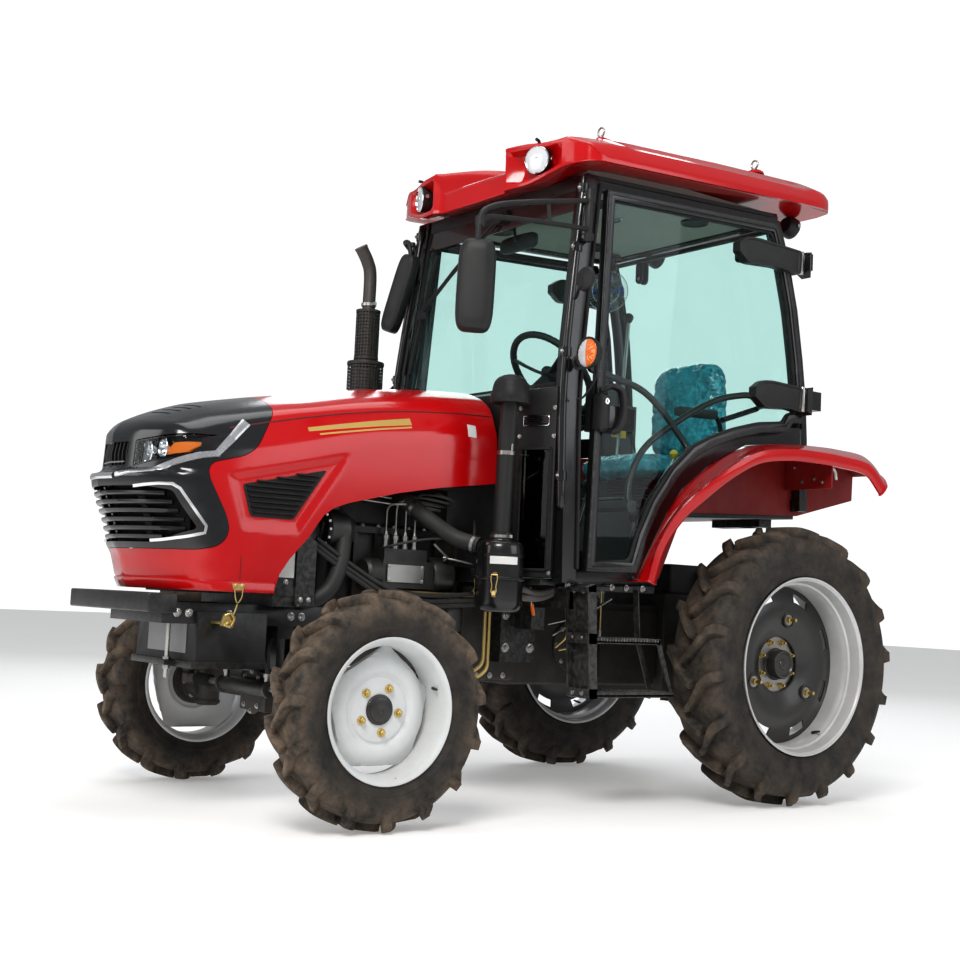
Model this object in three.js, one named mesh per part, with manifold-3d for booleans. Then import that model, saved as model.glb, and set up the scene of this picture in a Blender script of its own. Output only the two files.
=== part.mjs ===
// Compact four-wheel-drive farm tractor with an enclosed cab.
// Millimetres, +Z up, the tractor faces -Y and its left side is +X.
// Stations along the tractor are counted from the front axle (y = 0) and the whole
// assembly is shifted by -Y_SHIFT at the end so that it is centred on its origin.
import * as THREE from 'three';
import Module from 'manifold-3d';
import { mergeVertices } from 'three/addons/utils/BufferGeometryUtils.js';

const wasm = await Module();
wasm.setup();

// ---------------------------------------------------------------- driving dimensions
const WHEELBASE = 1820;
const Y_SHIFT = 970;
const F_TYRE_R = 367.5, F_TYRE_W = 172, F_RIM_R = 225.4, F_TRACK_HALF = 643;
const R_TYRE_R = 525, R_TYRE_W = 248, R_RIM_R = 334.5, R_TRACK_HALF = 650;
const KINGPIN_X = 515;
const HOOD_HALF = 318, HOOD_REAR = 664, HOOD_WALL = 5;
const HOOD_HINGE_Z = 1470;
const CAB_HALF_LOW = 570, CAB_HALF_TOP = 520, CAB_Z0 = 810, CAB_Z1 = 2290;
const DOOR_T = 28;
const DOOR_AXIS_X = 598, DOOR_AXIS_Y = 1935;
const GAP = 0.4;

// ---------------------------------------------------------------- helpers
const V = (x, y, z) => new THREE.Vector3(x, y, z);

function fixOrientation(g) {
  const p = g.attributes.position, ix = g.index.array;
  let vol = 0;
  for (let i = 0; i < ix.length; i += 3) {
    const a = V().fromBufferAttribute(p, ix[i]), b = V().fromBufferAttribute(p, ix[i + 1]), c = V().fromBufferAttribute(p, ix[i + 2]);
    vol += a.dot(b.cross(c));
  }
  if (vol < 0) for (let i = 0; i < ix.length; i += 3) { const t = ix[i]; ix[i] = ix[i + 1]; ix[i + 1] = t; }
  return g;
}

function weld(g) {
  const q = g.clone();
  q.deleteAttribute('normal');
  q.deleteAttribute('uv');
  if (!q.index) {
    const n = q.attributes.position.count;
    q.setIndex([...Array(n).keys()]);
  }
  return mergeVertices(q, 1e-3);
}

// three.js geometry to a manifold solid
function S(g) {
  const w = fixOrientation(weld(g));
  return new wasm.Manifold(new wasm.Mesh({
    numProp: 3,
    vertProperties: new Float32Array(w.attributes.position.array),
    triVerts: new Uint32Array(w.index.array),
  }));
}

function toGeometry(m) {
  const k = m.getMesh();
  const g = new THREE.BufferGeometry();
  g.setAttribute('position', new THREE.BufferAttribute(new Float32Array(k.vertProperties), 3));
  g.setIndex(new THREE.BufferAttribute(new Uint32Array(k.triVerts), 1));
  return g;
}

function join(list) {
  let m = list[0];
  for (let i = 1; i < list.length; i++) m = m.add(list[i]);
  return m;
}

function box(x0, x1, y0, y1, z0, z1) {
  const g = new THREE.BoxGeometry(x1 - x0, y1 - y0, z1 - z0);
  g.translate((x0 + x1) / 2, (y0 + y1) / 2, (z0 + z1) / 2);
  return S(g);
}

function shapeOf(pts) { return new THREE.Shape(pts.map(p => new THREE.Vector2(p[0], p[1]))); }

// polygon in (y, z) swept along x
function prismX(pts, x0, x1) {
  const g = new THREE.ExtrudeGeometry(shapeOf(pts), { depth: x1 - x0, bevelEnabled: false });
  g.applyMatrix4(new THREE.Matrix4().set(0, 0, 1, x0, 1, 0, 0, 0, 0, 1, 0, 0, 0, 0, 0, 1));
  return S(g);
}
// polygon in (x, z) swept along y
function prismY(pts, y0, y1) {
  const g = new THREE.ExtrudeGeometry(shapeOf(pts), { depth: y1 - y0, bevelEnabled: false });
  g.applyMatrix4(new THREE.Matrix4().set(1, 0, 0, 0, 0, 0, -1, y1, 0, 1, 0, 0, 0, 0, 0, 1));
  return S(g);
}
// polygon in (x, y) swept along z
function prismZ(pts, z0, z1) {
  const g = new THREE.ExtrudeGeometry(shapeOf(pts), { depth: z1 - z0, bevelEnabled: false });
  g.translate(0, 0, z0);
  return S(g);
}

// closed loft through rings of equal count, fan caps
function loft(rings) {
  const n = rings[0].length, pos = [], idx = [];
  for (const r of rings) for (const p of r) pos.push(p.x, p.y, p.z);
  for (let i = 0; i + 1 < rings.length; i++) {
    for (let j = 0; j < n; j++) {
      const a = i * n + j, b = i * n + (j + 1) % n, c = a + n, d = b + n;
      idx.push(a, b, d, a, d, c);
    }
  }
  for (const [k, flip] of [[0, true], [rings.length - 1, false]]) {
    const c = V(0, 0, 0);
    for (const p of rings[k]) c.add(p);
    c.multiplyScalar(1 / n);
    const ci = pos.length / 3;
    pos.push(c.x, c.y, c.z);
    for (let j = 0; j < n; j++) {
      const a = k * n + j, b = k * n + (j + 1) % n;
      if (flip) idx.push(b, a, ci); else idx.push(a, b, ci);
    }
  }
  const g = new THREE.BufferGeometry();
  g.setAttribute('position', new THREE.BufferAttribute(new Float32Array(pos), 3));
  g.setIndex(idx);
  return S(g);
}

// rod or tube of round section along a polyline, closed ends
function rod(pts, r, seg = 12) {
  const P = pts.map(p => V(...p));
  const rings = [];
  let ref = null;
  for (let i = 0; i < P.length; i++) {
    const t = V(0, 0, 0);
    if (i > 0) t.add(P[i].clone().sub(P[i - 1]).normalize());
    if (i + 1 < P.length) t.add(P[i + 1].clone().sub(P[i]).normalize());
    t.normalize();
    if (!ref) ref = Math.abs(t.z) < 0.9 ? V(0, 0, 1) : V(1, 0, 0);
    const u = ref.clone().sub(t.clone().multiplyScalar(ref.dot(t))).normalize();
    const v = t.clone().cross(u);
    ref = u;
    let k = 1;
    if (i > 0 && i + 1 < P.length) {
      const a = P[i].clone().sub(P[i - 1]).normalize();
      k = 1 / Math.max(0.5, a.dot(t));
    }
    const ring = [];
    for (let j = 0; j < seg; j++) {
      const th = 2 * Math.PI * j / seg;
      ring.push(P[i].clone().add(u.clone().multiplyScalar(r * Math.cos(th) * (seg > 4 ? 1 : 1))).add(v.clone().multiplyScalar(r * Math.sin(th))));
    }
    rings.push(ring);
  }
  return loft(rings);
}

// straight bar of rectangular section a (along hint) by b
function bar(p, q, hint, a, b) {
  const P = V(...p), Q = V(...q);
  const t = Q.clone().sub(P).normalize();
  const h = V(...hint);
  const u = h.sub(t.clone().multiplyScalar(h.dot(t))).normalize();
  const v = t.clone().cross(u);
  const ring = c => [[1, 1], [-1, 1], [-1, -1], [1, -1]].map(([i, j]) => c.clone().add(u.clone().multiplyScalar(i * a / 2)).add(v.clone().multiplyScalar(j * b / 2)));
  return loft([ring(P), ring(Q)]);
}

// revolved about the x axis through (y, z); profile is [x, radius]
function turnX(profile, y, z, seg = 48) {
  const g = new THREE.LatheGeometry(profile.map(p => new THREE.Vector2(p[1], p[0])), seg);
  // lathe axis is +Y; send it to +X
  g.applyMatrix4(new THREE.Matrix4().set(0, 1, 0, 0, 0, 0, 1, y, 1, 0, 0, z, 0, 0, 0, 1));
  return S(g);
}
// revolved about a vertical axis through (x, y); profile is [radius, z]
function turnZ(profile, x, y, seg = 32) {
  const g = new THREE.LatheGeometry(profile.map(p => new THREE.Vector2(p[0], p[1])), seg);
  g.rotateX(Math.PI / 2);
  g.translate(x, y, 0);
  return S(g);
}
// revolved about the y axis through (x, z); profile is [y, radius]
function turnY(profile, x, z, seg = 32) {
  const g = new THREE.LatheGeometry(profile.map(p => new THREE.Vector2(p[1], p[0])), seg);
  g.translate(x, 0, z);
  return S(g);
}
const cylX = (x0, x1, y, z, r, seg = 32) => turnX([[x0, 0], [x0, r], [x1, r], [x1, 0]], y, z, seg);
const cylZ = (x, y, z0, z1, r, seg = 32) => turnZ([[0, z0], [r, z0], [r, z1], [0, z1]], x, y, seg);

function mirrorX(m) {
  const k = m.getMesh();
  const v = new Float32Array(k.vertProperties);
  for (let i = 0; i < v.length; i += 3) v[i] = -v[i];
  return new wasm.Manifold(new wasm.Mesh({ numProp: 3, vertProperties: v, triVerts: new Uint32Array(k.triVerts).map((_, i, a) => a[i - i % 3 + [0, 2, 1][i % 3]]) }));
}

const lerp = (tab, y) => {
  if (y <= tab[0][0]) return tab[0][1];
  for (let i = 1; i < tab.length; i++) if (y <= tab[i][0]) {
    const [a, b] = [tab[i - 1], tab[i]];
    return a[1] + (b[1] - a[1]) * (y - a[0]) / (b[0] - a[0]);
  }
  return tab[tab.length - 1][1];
};

// ---------------------------------------------------------------- assembly list
const root = new THREE.Group();
root.name = 'farm_tractor';
const tractor = new THREE.Group(); // everything is laid out from the front axle in here
tractor.position.y = -Y_SHIFT;
root.add(tractor);
const MAT = {
  red: [0xb81414, 0.35, 0.1], black: [0x151515, 0.45, 0.2], gloss: [0x0b0b0c, 0.2, 0.2],
  iron: [0x2b2b2d, 0.65, 0.5], tyre: [0x1c1c1d, 0.9, 0.0], rim: [0xc4ccd4, 0.45, 0.3],
  glass: [0x8fb4ae, 0.08, 0.0], plastic: [0x1a1a1b, 0.6, 0.0], steel: [0x8b8d8f, 0.4, 0.8],
  lamp: [0xdfe6ea, 0.1, 0.0], amber: [0xe07a10, 0.25, 0.0], seat: [0x2b7f9c, 0.5, 0.0],
};
function put(name, solid, mat) {
  const g = toGeometry(solid);
  const [c, r, m] = MAT[mat];
  const mesh = new THREE.Mesh(g, new THREE.MeshStandardMaterial({ color: c, roughness: r, metalness: m }));
  mesh.name = name;
  tractor.add(mesh);
}

// ---------------------------------------------------------------- hood
// Heights along the hood: crown of the top, side crease, and lower edge.
const CROWN = [[-700, 1165], [-670, 1192], [-640, 1222], [-594, 1250], [-526, 1280], [-423, 1316], [-315, 1340], [-168, 1370], [-53, 1390], [105, 1424], [270, 1451], [441, 1472], [620, 1485], [700, 1488]];
const CREASE = [[-700, 1120], [-620, 1168], [-500, 1200], [-380, 1238], [-261, 1267], [-123, 1299], [29, 1330], [186, 1356], [350, 1375], [522, 1388], [701, 1394]];
const SHOULDER = [[-700, 1040], [-466, 1100], [-213, 1159], [-140, 1176], [8, 1218], [163, 1251], [400, 1275], [700, 1285]];
function hoodRing(y, off) {
  const t = lerp(CROWN, y) - off, c = lerp(CREASE, y) - off, s = lerp(SHOULDER, y) - off * 0.5;
  const w = HOOD_HALF - off;
  const half = [[0, t], [90, t - 6], [175, t - 28], [238, c + (t - c) * 0.36], [270 - off, c], [296 - off, (c + s) / 2], [w, s], [w, s - 90], [w - 4, 640]];
  const ring = half.map(p => V(p[0], y, p[1]));
  for (let i = half.length - 1; i > 0; i--) ring.push(V(-half[i][0], y, half[i][1]));
  return ring;
}
function hoodLoft(y0, y1, off, coarse = false) {
  const st = [y0];
  for (const y of coarse ? [-620, -500, -340, -90, 100, 400] : [-660, -620, -560, -500, -420, -340, -260, -90, 0, 100, 250, 400, 550]) if (y > y0 + 1 && y < y1 - 1) st.push(y);
  st.push(y1);
  return loft(st.map(y => hoodRing(y, off)));
}
// plan outline of the nose, half of it: [x, y]
const PLAN = [[0, -688], [60, -680], [120, -662], [185, -628], [240, -584], [278, -535], [300, -480], [312, -420], [318, -340]];
// how far the nose stands behind its lip at each height: [z, setback]
const SETBACK = [[400, 136], [701, 136], [753, 107], [812, 89], [839, 71], [936, 38], [967, 21], [1031, 0], [1054, -4], [1066, -1], [1078, 34], [1200, 42], [1320, 90], [1700, 240]];
const noseAt = (y, z) => y + lerp(SETBACK, z) * Math.min(1, Math.max(0, (-300 - y) / 385));
const noseY = (x, z) => noseAt(lerp(PLAN, Math.abs(x)), z);
function planSolid(off, rear, z0, z1, coarse = false) {
  const rim = PLAN.filter(([x], i) => (i === 0 || x - off > 2) && !(coarse && (i === 1 || i === 3 || i === 7)));
  const zs = [z0, ...SETBACK.map(p => p[0]).filter(z => z > z0 + 1 && z < z1 - 1 && !(coarse && (z === 753 || z === 839 || z === 967 || z === 1031))), z1];
  return loft(zs.map(z => {
    const half = rim.map(([x, y]) => [Math.max(0, x - off), Math.min(noseAt(y, z) + off, rear - 4)]);
    const ring = [];
    for (let i = half.length - 1; i > 0; i--) ring.push(V(-half[i][0], half[i][1], z));
    for (const p of half) ring.push(V(p[0], p[1], z));
    const wide = rear > -330 ? HOOD_HALF - off : half[half.length - 1][0] + 0.5;
    ring.push(V(wide, rear, z), V(-wide, rear, z));
    return ring;
  }));
}
// side outline: lower edge of the hood, from the rear to the front
const LOWER = [[664, 1132], [420, 1097], [256, 1066], [60, 1017], [3, 996], [-33, 970], [-58, 936], [-85, 895], [-120, 857], [-154, 817], [-187, 767], [-205, 706]];
const sideOuter = prismX([[-760, 706], [-760, 1600], [664, 1600], ...LOWER], -400, 400);
const outer = hoodLoft(-700, HOOD_REAR, 0).intersect(planSolid(0, HOOD_REAR, 600, 1600)).intersect(sideOuter);
const inner = hoodLoft(-695, 720, HOOD_WALL, true).intersect(planSolid(HOOD_WALL + 8, 720, 500, 1600, true));
const hoodAll = outer.subtract(inner);

// black mask region of the nose in side view
const MASK = [[-800, 828], [-470, 832], [-410, 846], [-380, 872], [-372, 905], [-384, 945], [-420, 1010], [-446, 1055], [-452, 1085], [-438, 1108], [-330, 1138], [-286, 1170], [-212, 1296], [-190, 1360], [-170, 1600], [-800, 1600]];
const maskSolid = prismX(MASK, -400, 400);
const maskKeepOut = prismX(MASK.map(([y, z]) => [y + GAP, z - GAP]), -400, 400);

// openings in the mask (front view polygons, x and z)
const lowerGrille = [[-262, 1012], [-196, 1022], [196, 1022], [262, 1012], [292, 895], [200, 850], [-200, 850], [-292, 895]];
const upperGrille = [[-96, 1168], [96, 1168], [88, 1090], [-88, 1090]];
const lampR = [[126, 1166], [284, 1192], [276, 1130], [120, 1088]];
const lampL = lampR.map(([x, z]) => [-x, z]).reverse();
let mask = hoodAll.intersect(maskSolid);
mask = mask.subtract(prismY(lowerGrille, -760, -450)).subtract(prismY(upperGrille, -760, -600));
mask = mask.subtract(prismY(lampR, -760, -400)).subtract(prismY(lampL, -760, -400));
put('nose_mask', mask, 'gloss');

let shell = hoodAll.subtract(maskKeepOut);
// side vents: a shallow recess on each side, with a louvred panel inside it
const VENT = [[-333, 1047], [-29, 1118], [-145, 946], [-300, 946]];
shell = shell.subtract(prismX(VENT, HOOD_HALF - 2.5, 400)).subtract(prismX(VENT, -400, -HOOD_HALF + 2.5));
put('hood_shell', shell, 'red');

// grille: curved bars behind the lower opening and the small upright grille, one piece
{
  const across = (z, h, d0, d1, xs) => loft(xs.map(x => {
    const y = noseY(x, z);
    return [V(x, y + d0, z), V(x, y + d1, z), V(x, y + d1, z + h), V(x, y + d0, z + h)];
  }));
  const upright = (x, w, d0, d1, zs) => loft(zs.map(zz => {
    const z = zz.length ? zz[0] : zz, y = noseY(x, z) + (zz.length ? zz[1] : 0);
    return [V(x - w / 2, y + d0, z), V(x + w / 2, y + d0, z), V(x + w / 2, y + d1, z), V(x - w / 2, y + d1, z)];
  }));
  const wide = [-256, -220, -150, -70, 0, 70, 150, 220, 256];
  const bars = [];
  for (let i = 0; i < 6; i++) bars.push(across(862 + i * 27, 13, 14, 28, i === 0 ? wide.slice(2, -2) : wide));
  bars.push(upright(0, 14, 22, 38, [858, 930, 1000, 1030, [1054, 42], [1094, 10], 1162]));
  for (const x of [-150, 150]) bars.push(upright(x, 12, 22, 38, [862, 930, 1000]));
  for (let i = -3; i <= 3; i++) if (i !== 0) bars.push(upright(i * 24, 10, 20, 36, [1092, 1162]));
  for (const z of [1096, 1150]) bars.push(across(z, 9, 20, 36, [-80, 0, 80]));
  put('grille', join(bars), 'plastic');
}
// headlamps: lens blocks that fill the lamp openings
{
  const lampBody = hoodLoft(-695, -380, 3).intersect(planSolid(4, -380, 1000, 1300));
  const lampIn = hoodLoft(-695, -360, 40, true).intersect(planSolid(46, -360, 1000, 1300, true));
  const shrink = pts => { const cx = pts.reduce((s, p) => s + p[0], 0) / 4, cz = pts.reduce((s, p) => s + p[1], 0) / 4; return pts.map(([x, z]) => [x + Math.sign(cx - x) * 1.2, z + Math.sign(cz - z) * 1.2]); };
  const L = lampBody.subtract(lampIn).intersect(prismY(shrink(lampR), -760, -402));
  put('headlamp_left', L, 'lamp');
  put('headlamp_right', mirrorX(L), 'lamp');
}

// ---------------------------------------------------------------- engine, frame and driveline
put('engine_block', join([
  box(-150, 150, 40, 640, 560, 960), box(-118, 118, 70, 600, 950, 1120), box(-130, 130, 70, 620, 470, 570),
]), 'iron');
put('front_frame', join([
  box(-200, -160, -520, 600, 600, 668), box(160, 200, -520, 600, 600, 668),
  box(-200, 200, -531, -490, 600, 668), box(-225, 225, -420, -175, 482, 640), box(-231, 231, -436, -170, 461, 482), box(-200, 200, -120, -60, 560, 640),
  box(-110, 110, -70, -40, 452, 640), box(-110, 110, 28, 40 - GAP, 452, 640), box(-200, 200, 28, 39, 600, 640),
]), 'black');
put('weight_bar', box(-313, 313, -630, -532, 635, 694), 'black');
put('radiator', join([box(-250, 250, -170, -95, 670, 1130), box(-225, 225, -95 - 1, -30, 690, 1110)]).subtract(cylX(-1, 1, 0, 0, 1)), 'black');
const axleHalf = turnX([[180, 0], [180, 110], [260, 100], [420, 78], [560, 78], [560, 112], [588, 112], [588, 0]], WHEELBASE, R_TYRE_R, 24);
put('transmission', join([axleHalf, mirrorX(axleHalf),
  box(-175, 175, 640.5, 900, 430, 765), box(-140, 140, 880, 1660, 410, 730),
  box(-185, 185, 1640, 1995, 370, 780), box(-150, 150, 1700, 1960, 770, 900),
]), 'iron');
put('front_axle', join([
  cylX(-470, 470, 0, 385, 46, 24), box(-110, 110, -27, 27, 320, 500).add(box(-90, 90, -90, 90, 310, 440)),
  bar([0, 88, 380], [0, 640, 416], [1, 0, 0], 46, 46),
]), 'iron');
put('steer_cylinder', cylX(-170, 170, -118, 392, 26, 24).add(box(-60, 60, -118, -90.4, 372, 412)).subtract(cylX(-180, 180, -118, 392, 11.6, 16)), 'black');
put('steer_rod', cylX(-385, 385, -118, 392, 11, 16), 'steel');

// ---------------------------------------------------------------- wheels
function frontWheel(s) {
  const c = F_TRACK_HALF, w = F_TYRE_W / 2, R = F_TYRE_R;
  const tyre = turnX([[c - 65.5, 214], [c - 65.5, 229], [c - 73, 242], [c - w, 292], [c - w - 2, 338], [c - 78, 354], [c - 42, R], [c + 42, R], [c + 78, 354], [c + w + 2, 338], [c + w, 292], [c + 73, 242], [c + 65.5, 229], [c + 65.5, 214], [c + 40, 206], [c - 40, 206], [c - 65.5, 214]], 0, R, 32);
  const rim = turnX([[c - 73, 205], [c - 73, F_RIM_R - 2], [c - 68, F_RIM_R - 2], [c - 66.5, 212], [c - 40, 205.4], [c + 40, 205.4], [c + 66.5, 212], [c + 68, F_RIM_R], [c + 73, F_RIM_R], [c + 73, 206], [c + 48, 196], [c - 20, 192], [c - 8, 150], [c + 2, 96], [c + 2, 45], [c - 6, 45], [c - 6, 92], [c - 17, 148], [c - 30, 190], [c - 60, 197], [c - 73, 205]], 0, R, 32);
  return [tyre, rim];
}
const [ft, fr] = frontWheel();
put('front_tyre_left', ft, 'tyre');
const frontHub = turnX([[637.5, 0], [637.5, 88], [642, 88], [643, 50], [672, 44], [680, 34], [680, 0]], 0, F_TYRE_R, 24);
put('front_rim_left', fr.add(frontHub), 'rim');
put('front_tyre_right', mirrorX(ft), 'tyre');
put('front_rim_right', mirrorX(fr.add(frontHub)), 'rim');
{
  const c = R_TRACK_HALF, w = R_TYRE_W / 2, R = R_TYRE_R;
  const tyre = turnX([[c - 109.5, 322], [c - 109.5, 339], [c - 117, 352], [c - w, 420], [c - w - 2, 484], [c - 112, 506], [c - 60, R], [c + 60, R], [c + 112, 506], [c + w + 2, 484], [c + w, 420], [c + 117, 352], [c + 109.5, 339], [c + 109.5, 322], [c + 75, 312], [c - 75, 312], [c - 109.5, 322]], WHEELBASE, R, 36);
  const rim = turnX([[c - 119, 318], [c - 119, R_RIM_R - 1], [c - 113, R_RIM_R - 1], [c - 111, 321], [c - 75, 311.4], [c + 75, 311.4], [c + 111, 321], [c + 113, R_RIM_R], [c + 119, R_RIM_R], [c + 119, 319], [c + 90, 305], [c + 20, 300], [c + 4, 285], [c - 4, 220], [c - 20, 165], [c - 22, 62], [c - 30, 62], [c - 30, 168], [c - 13, 222], [c - 6, 292], [c - 90, 300], [c - 119, 318]], WHEELBASE, R, 36);
  const hub = turnX([[591, 0], [591, 118], [621, 118], [621, 64], [650, 61], [664, 52], [664, 0]], WHEELBASE, R, 24);
  const wheel = rim.add(hub);
  put('rear_tyre_left', tyre, 'tyre');
  put('rear_rim_left', wheel, 'rim');
  put('rear_tyre_right', mirrorX(tyre), 'tyre');
  put('rear_rim_right', mirrorX(wheel), 'rim');
}
// steering knuckles with the final drives, and the front hubs
{
  const k = join([
    cylZ(KINGPIN_X, 0, 300, 470, 42, 24), cylX(KINGPIN_X, 600, 0, F_TYRE_R, 62, 24),
    cylX(592, 633, 0, F_TYRE_R, 70, 24), bar([KINGPIN_X, -20, 449], [440, -118, 449], [0, 0, 1], 20, 46), cylZ(440, -118, 418, 459, 24, 20),
  ]);
  put('knuckle_left', k, 'iron');
  put('knuckle_right', mirrorX(k), 'iron');
}

// ---------------------------------------------------------------- platform, cab frame and panels
put('platform', join([
  prismX([[735, 778], [1290, 802], [1400, 1062], [2035, 1098], [2035, 1124], [1384, 1088], [1274, 828], [735, 802]], -498, 498),
]), 'black');
// strip that closes the side of the cab between the door's lower edge and the fender
const SILL_TOP = [[1072, 862], [1118, 985], [1184, 1108], [1284, 1232], [1392, 1318], [1480, 1356], [1600, 1400], [1740, 1436], [2004, 1462]];
const SILL_BOTTOM = [[1112, 820], [1196, 950], [1268, 1066], [1346, 1164], [1501, 1274], [1688, 1361], [1850, 1382], [2004, 1389]];
const AY = [[800, 802], [1430, 800], [1620, 812], [1970, 850], [2275, 886]];
const BY = [[1100, 2028], [1420, 2028], [1580, 2021], [1740, 2002], [1940, 1970], [2137, 1919], [2321, 1852]];
const cabX = z => CAB_HALF_LOW + (CAB_HALF_TOP - CAB_HALF_LOW) * (z - CAB_Z0) / (CAB_Z1 - CAB_Z0);
function post(tab, zs, wx, wy, inset) {
  const rings = zs.map(z => {
    const x = cabX(z) - inset, y = lerp(tab, z);
    return [[1, 1], [-1, 1], [-1, -1], [1, -1]].map(([i, j]) => V(x + i * wx / 2, y + j * wy / 2, z));
  });
  return loft(rings);
}
{
  const left = [
    post(AY, [790, 1430, 1620, 1970, 2262], 56, 62, 26),
    post(BY, [1128, 1420, 1580, 1740, 1940, 2137, 2290], 50, 44, 30),
    bar([494, 900, 2240], [494, 1865, 2292], [0, 0, 1], 44, 48),
    bar([524, 2020, 1152], [0, 2020, 1152], [0, 0, 1], 44, 40),
    bar([504, 1862, 2290], [0, 1862, 2290], [0, 0, 1], 40, 44),
    bar([504, 882, 2238], [0, 882, 2238], [0, 0, 1], 50, 44),
    bar([534, 790, 812], [534, 1120, 830], [0, 0, 1], 40, 34),
    box(498, 548, 792, 812, 795, 830),
    box(500, 546, 1932, 1978, 2088, 2155), box(540, 612, 1962, 1978, 2088, 2155),
    box(500, 612, 2008, 2050, 1530, 1605), box(588, 612, 1962, 2050, 1530, 1605),
  ];
  const sill = SILL_TOP.concat(SILL_BOTTOM.slice().reverse());
  const L = join(left).add(lean(prismX(sill, -24, -4), 3));
  put('cab_frame', L.add(mirrorX(L)), 'black');
}
// doors: frame with its window cut, window in it, hinge covers and handle on the frame
const DOOR = [[858, 834], [1096, 840], [1140, 965], [1205, 1085], [1300, 1205], [1400, 1292], [1480, 1330], [1600, 1375], [1740, 1412], [1896, 1432], [1922, 1470], [1992, 1476], [1988, 1580], [1970, 1740], [1938, 1940], [1890, 2120], [1834, 2262], [930, 2212]];
function inset(poly, d) {
  const n = poly.length, out = [];
  for (let i = 0; i < n; i++) {
    const a = poly[(i + n - 1) % n], b = poly[i], c = poly[(i + 1) % n];
    const u = new THREE.Vector2(b[0] - a[0], b[1] - a[1]).normalize(), v = new THREE.Vector2(c[0] - b[0], c[1] - b[1]).normalize();
    const nu = [-u.y, u.x], nv = [-v.y, v.x];
    const m = [nu[0] + nv[0], nu[1] + nv[1]];
    const k = 1 / (1 + u.dot(v));
    out.push([b[0] + m[0] * d * k, b[1] + m[1] * d * k]);
  }
  return out;
}
// leans a solid drawn upright at x = 0 into the cab side plane
function lean(m, outerOffset) {
  const k = m.getMesh();
  const v = new Float32Array(k.vertProperties);
  for (let i = 0; i < v.length; i += 3) v[i] += cabX(v[i + 2]) + outerOffset;
  return new wasm.Manifold(new wasm.Mesh({ numProp: 3, vertProperties: v, triVerts: new Uint32Array(k.triVerts) }));
}
{
  const outerP = prismX(DOOR, 0, DOOR_T), cut = prismX(inset(DOOR, 34), -10, DOOR_T + 10);
  let frame = lean(outerP.subtract(cut), 3);
  const cover = (z0, z1, y0) => prismX([[y0, z0 + 14], [y0 + 60, z0], [DOOR_AXIS_Y - 10, z0 + 6], [DOOR_AXIS_Y - 10, z1], [y0 + 60, z1 + 4], [y0, z1 - 20]], 0, 26);
  const mv = (m, dx) => { const k = m.getMesh(); const v = new Float32Array(k.vertProperties); for (let i = 0; i < v.length; i += 3) v[i] += dx; return new wasm.Manifold(new wasm.Mesh({ numProp: 3, vertProperties: v, triVerts: new Uint32Array(k.triVerts) })); };
  frame = frame.add(mv(cover(2078, 2160, 1600), 550)).add(mv(cover(1522, 1606, 1690), 572)).add(box(562, 578, 1900, 1982, 1528, 1600));
  frame = frame.add(box(560, 606, 892, 916, 1372, 1420)).add(box(598, 616, 890, 1040, 1340, 1420));
  put('door_frame_left', frame, 'black');
  put('door_frame_right', mirrorX(frame), 'black');
  const pane = lean(prismX(inset(DOOR, 34.6), 8, 14), 3).subtract(box(550, 620, 860, 1060, 1330, 1430)).subtract(box(548, 640, 1596, 1995, 2060, 2180)).subtract(box(560, 640, 1686, 1995, 1510, 1620));
  put('door_glass_left', pane, 'glass');
  put('door_glass_right', mirrorX(pane), 'glass');
}
// windscreen between the front posts
{
  const ring = (z, dy) => { const x = cabX(z) - 56, y = lerp(AY, z) - 12 + dy; return [V(x, y, z), V(-x, y, z)]; };
  const zs = [1490, 1620, 1970, 2212];
  const rings = zs.map(z => { const [a, b] = ring(z, 0), [c, d] = ring(z, 6); return [a, b, d, c]; });
  put('windscreen', loft(rings), 'glass');
}
// rear window, fixed pane between the rear posts
{
  const zs = [1178, 1420, 1580, 1740, 1940, 2137, 2260];
  const rings = zs.map(z => { const x = cabX(z) - 63, y = lerp(BY, z) + 4; return [V(x, y, z), V(-x, y, z), V(-x, y + 6, z), V(x, y + 6, z)]; });
  put('rear_window', loft(rings), 'glass');
}
// firewall and cowl ahead of the cab with angled corner windows
{
  const front = prismY([[-386, 806], [386, 806], [386, 1450], [-386, 1450]], 692, 712);
  const top = prismX([[692, 1430], [692, 1462], [776, 1490], [776, 1462]], -386, 386);
  // slab along the corner from (386, 692) to (530, 752); s runs along it, n across it
  const dl = Math.hypot(144, 60), dx = 144 / dl, dy = 60 / dl;
  const at = (s, n, z) => V(386 + dx * s - dy * n, 692 + dy * s + dx * n, z);
  const slab = (s0, s1, n0, n1, z0, z1) => loft([z0, z1].map(z => [at(s0, n0, z), at(s1, n0, z), at(s1, n1, z), at(s0, n1, z)]));
  const corner = slab(-4, dl, 0, 17, 806, 1450);
  const topc = loft([[0, 1430], [1, 1462]].map(([k, z]) => [at(-8, 0, z), at(dl, 0, z + k * 12), V(526, 768, z + k * 18), V(380, 770, z + k * 22)]));
  const c = corner.subtract(slab(20, dl - 16, -20, 40, 832, 1256)).add(topc);
  put('cowl', front.add(top).add(c).add(mirrorX(c)), 'black');
  const pane = slab(20.5, dl - 16.5, 5, 11, 832.5, 1255.5);
  put('corner_window_left', pane, 'glass');
  put('corner_window_right', mirrorX(pane), 'glass');
}
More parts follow.
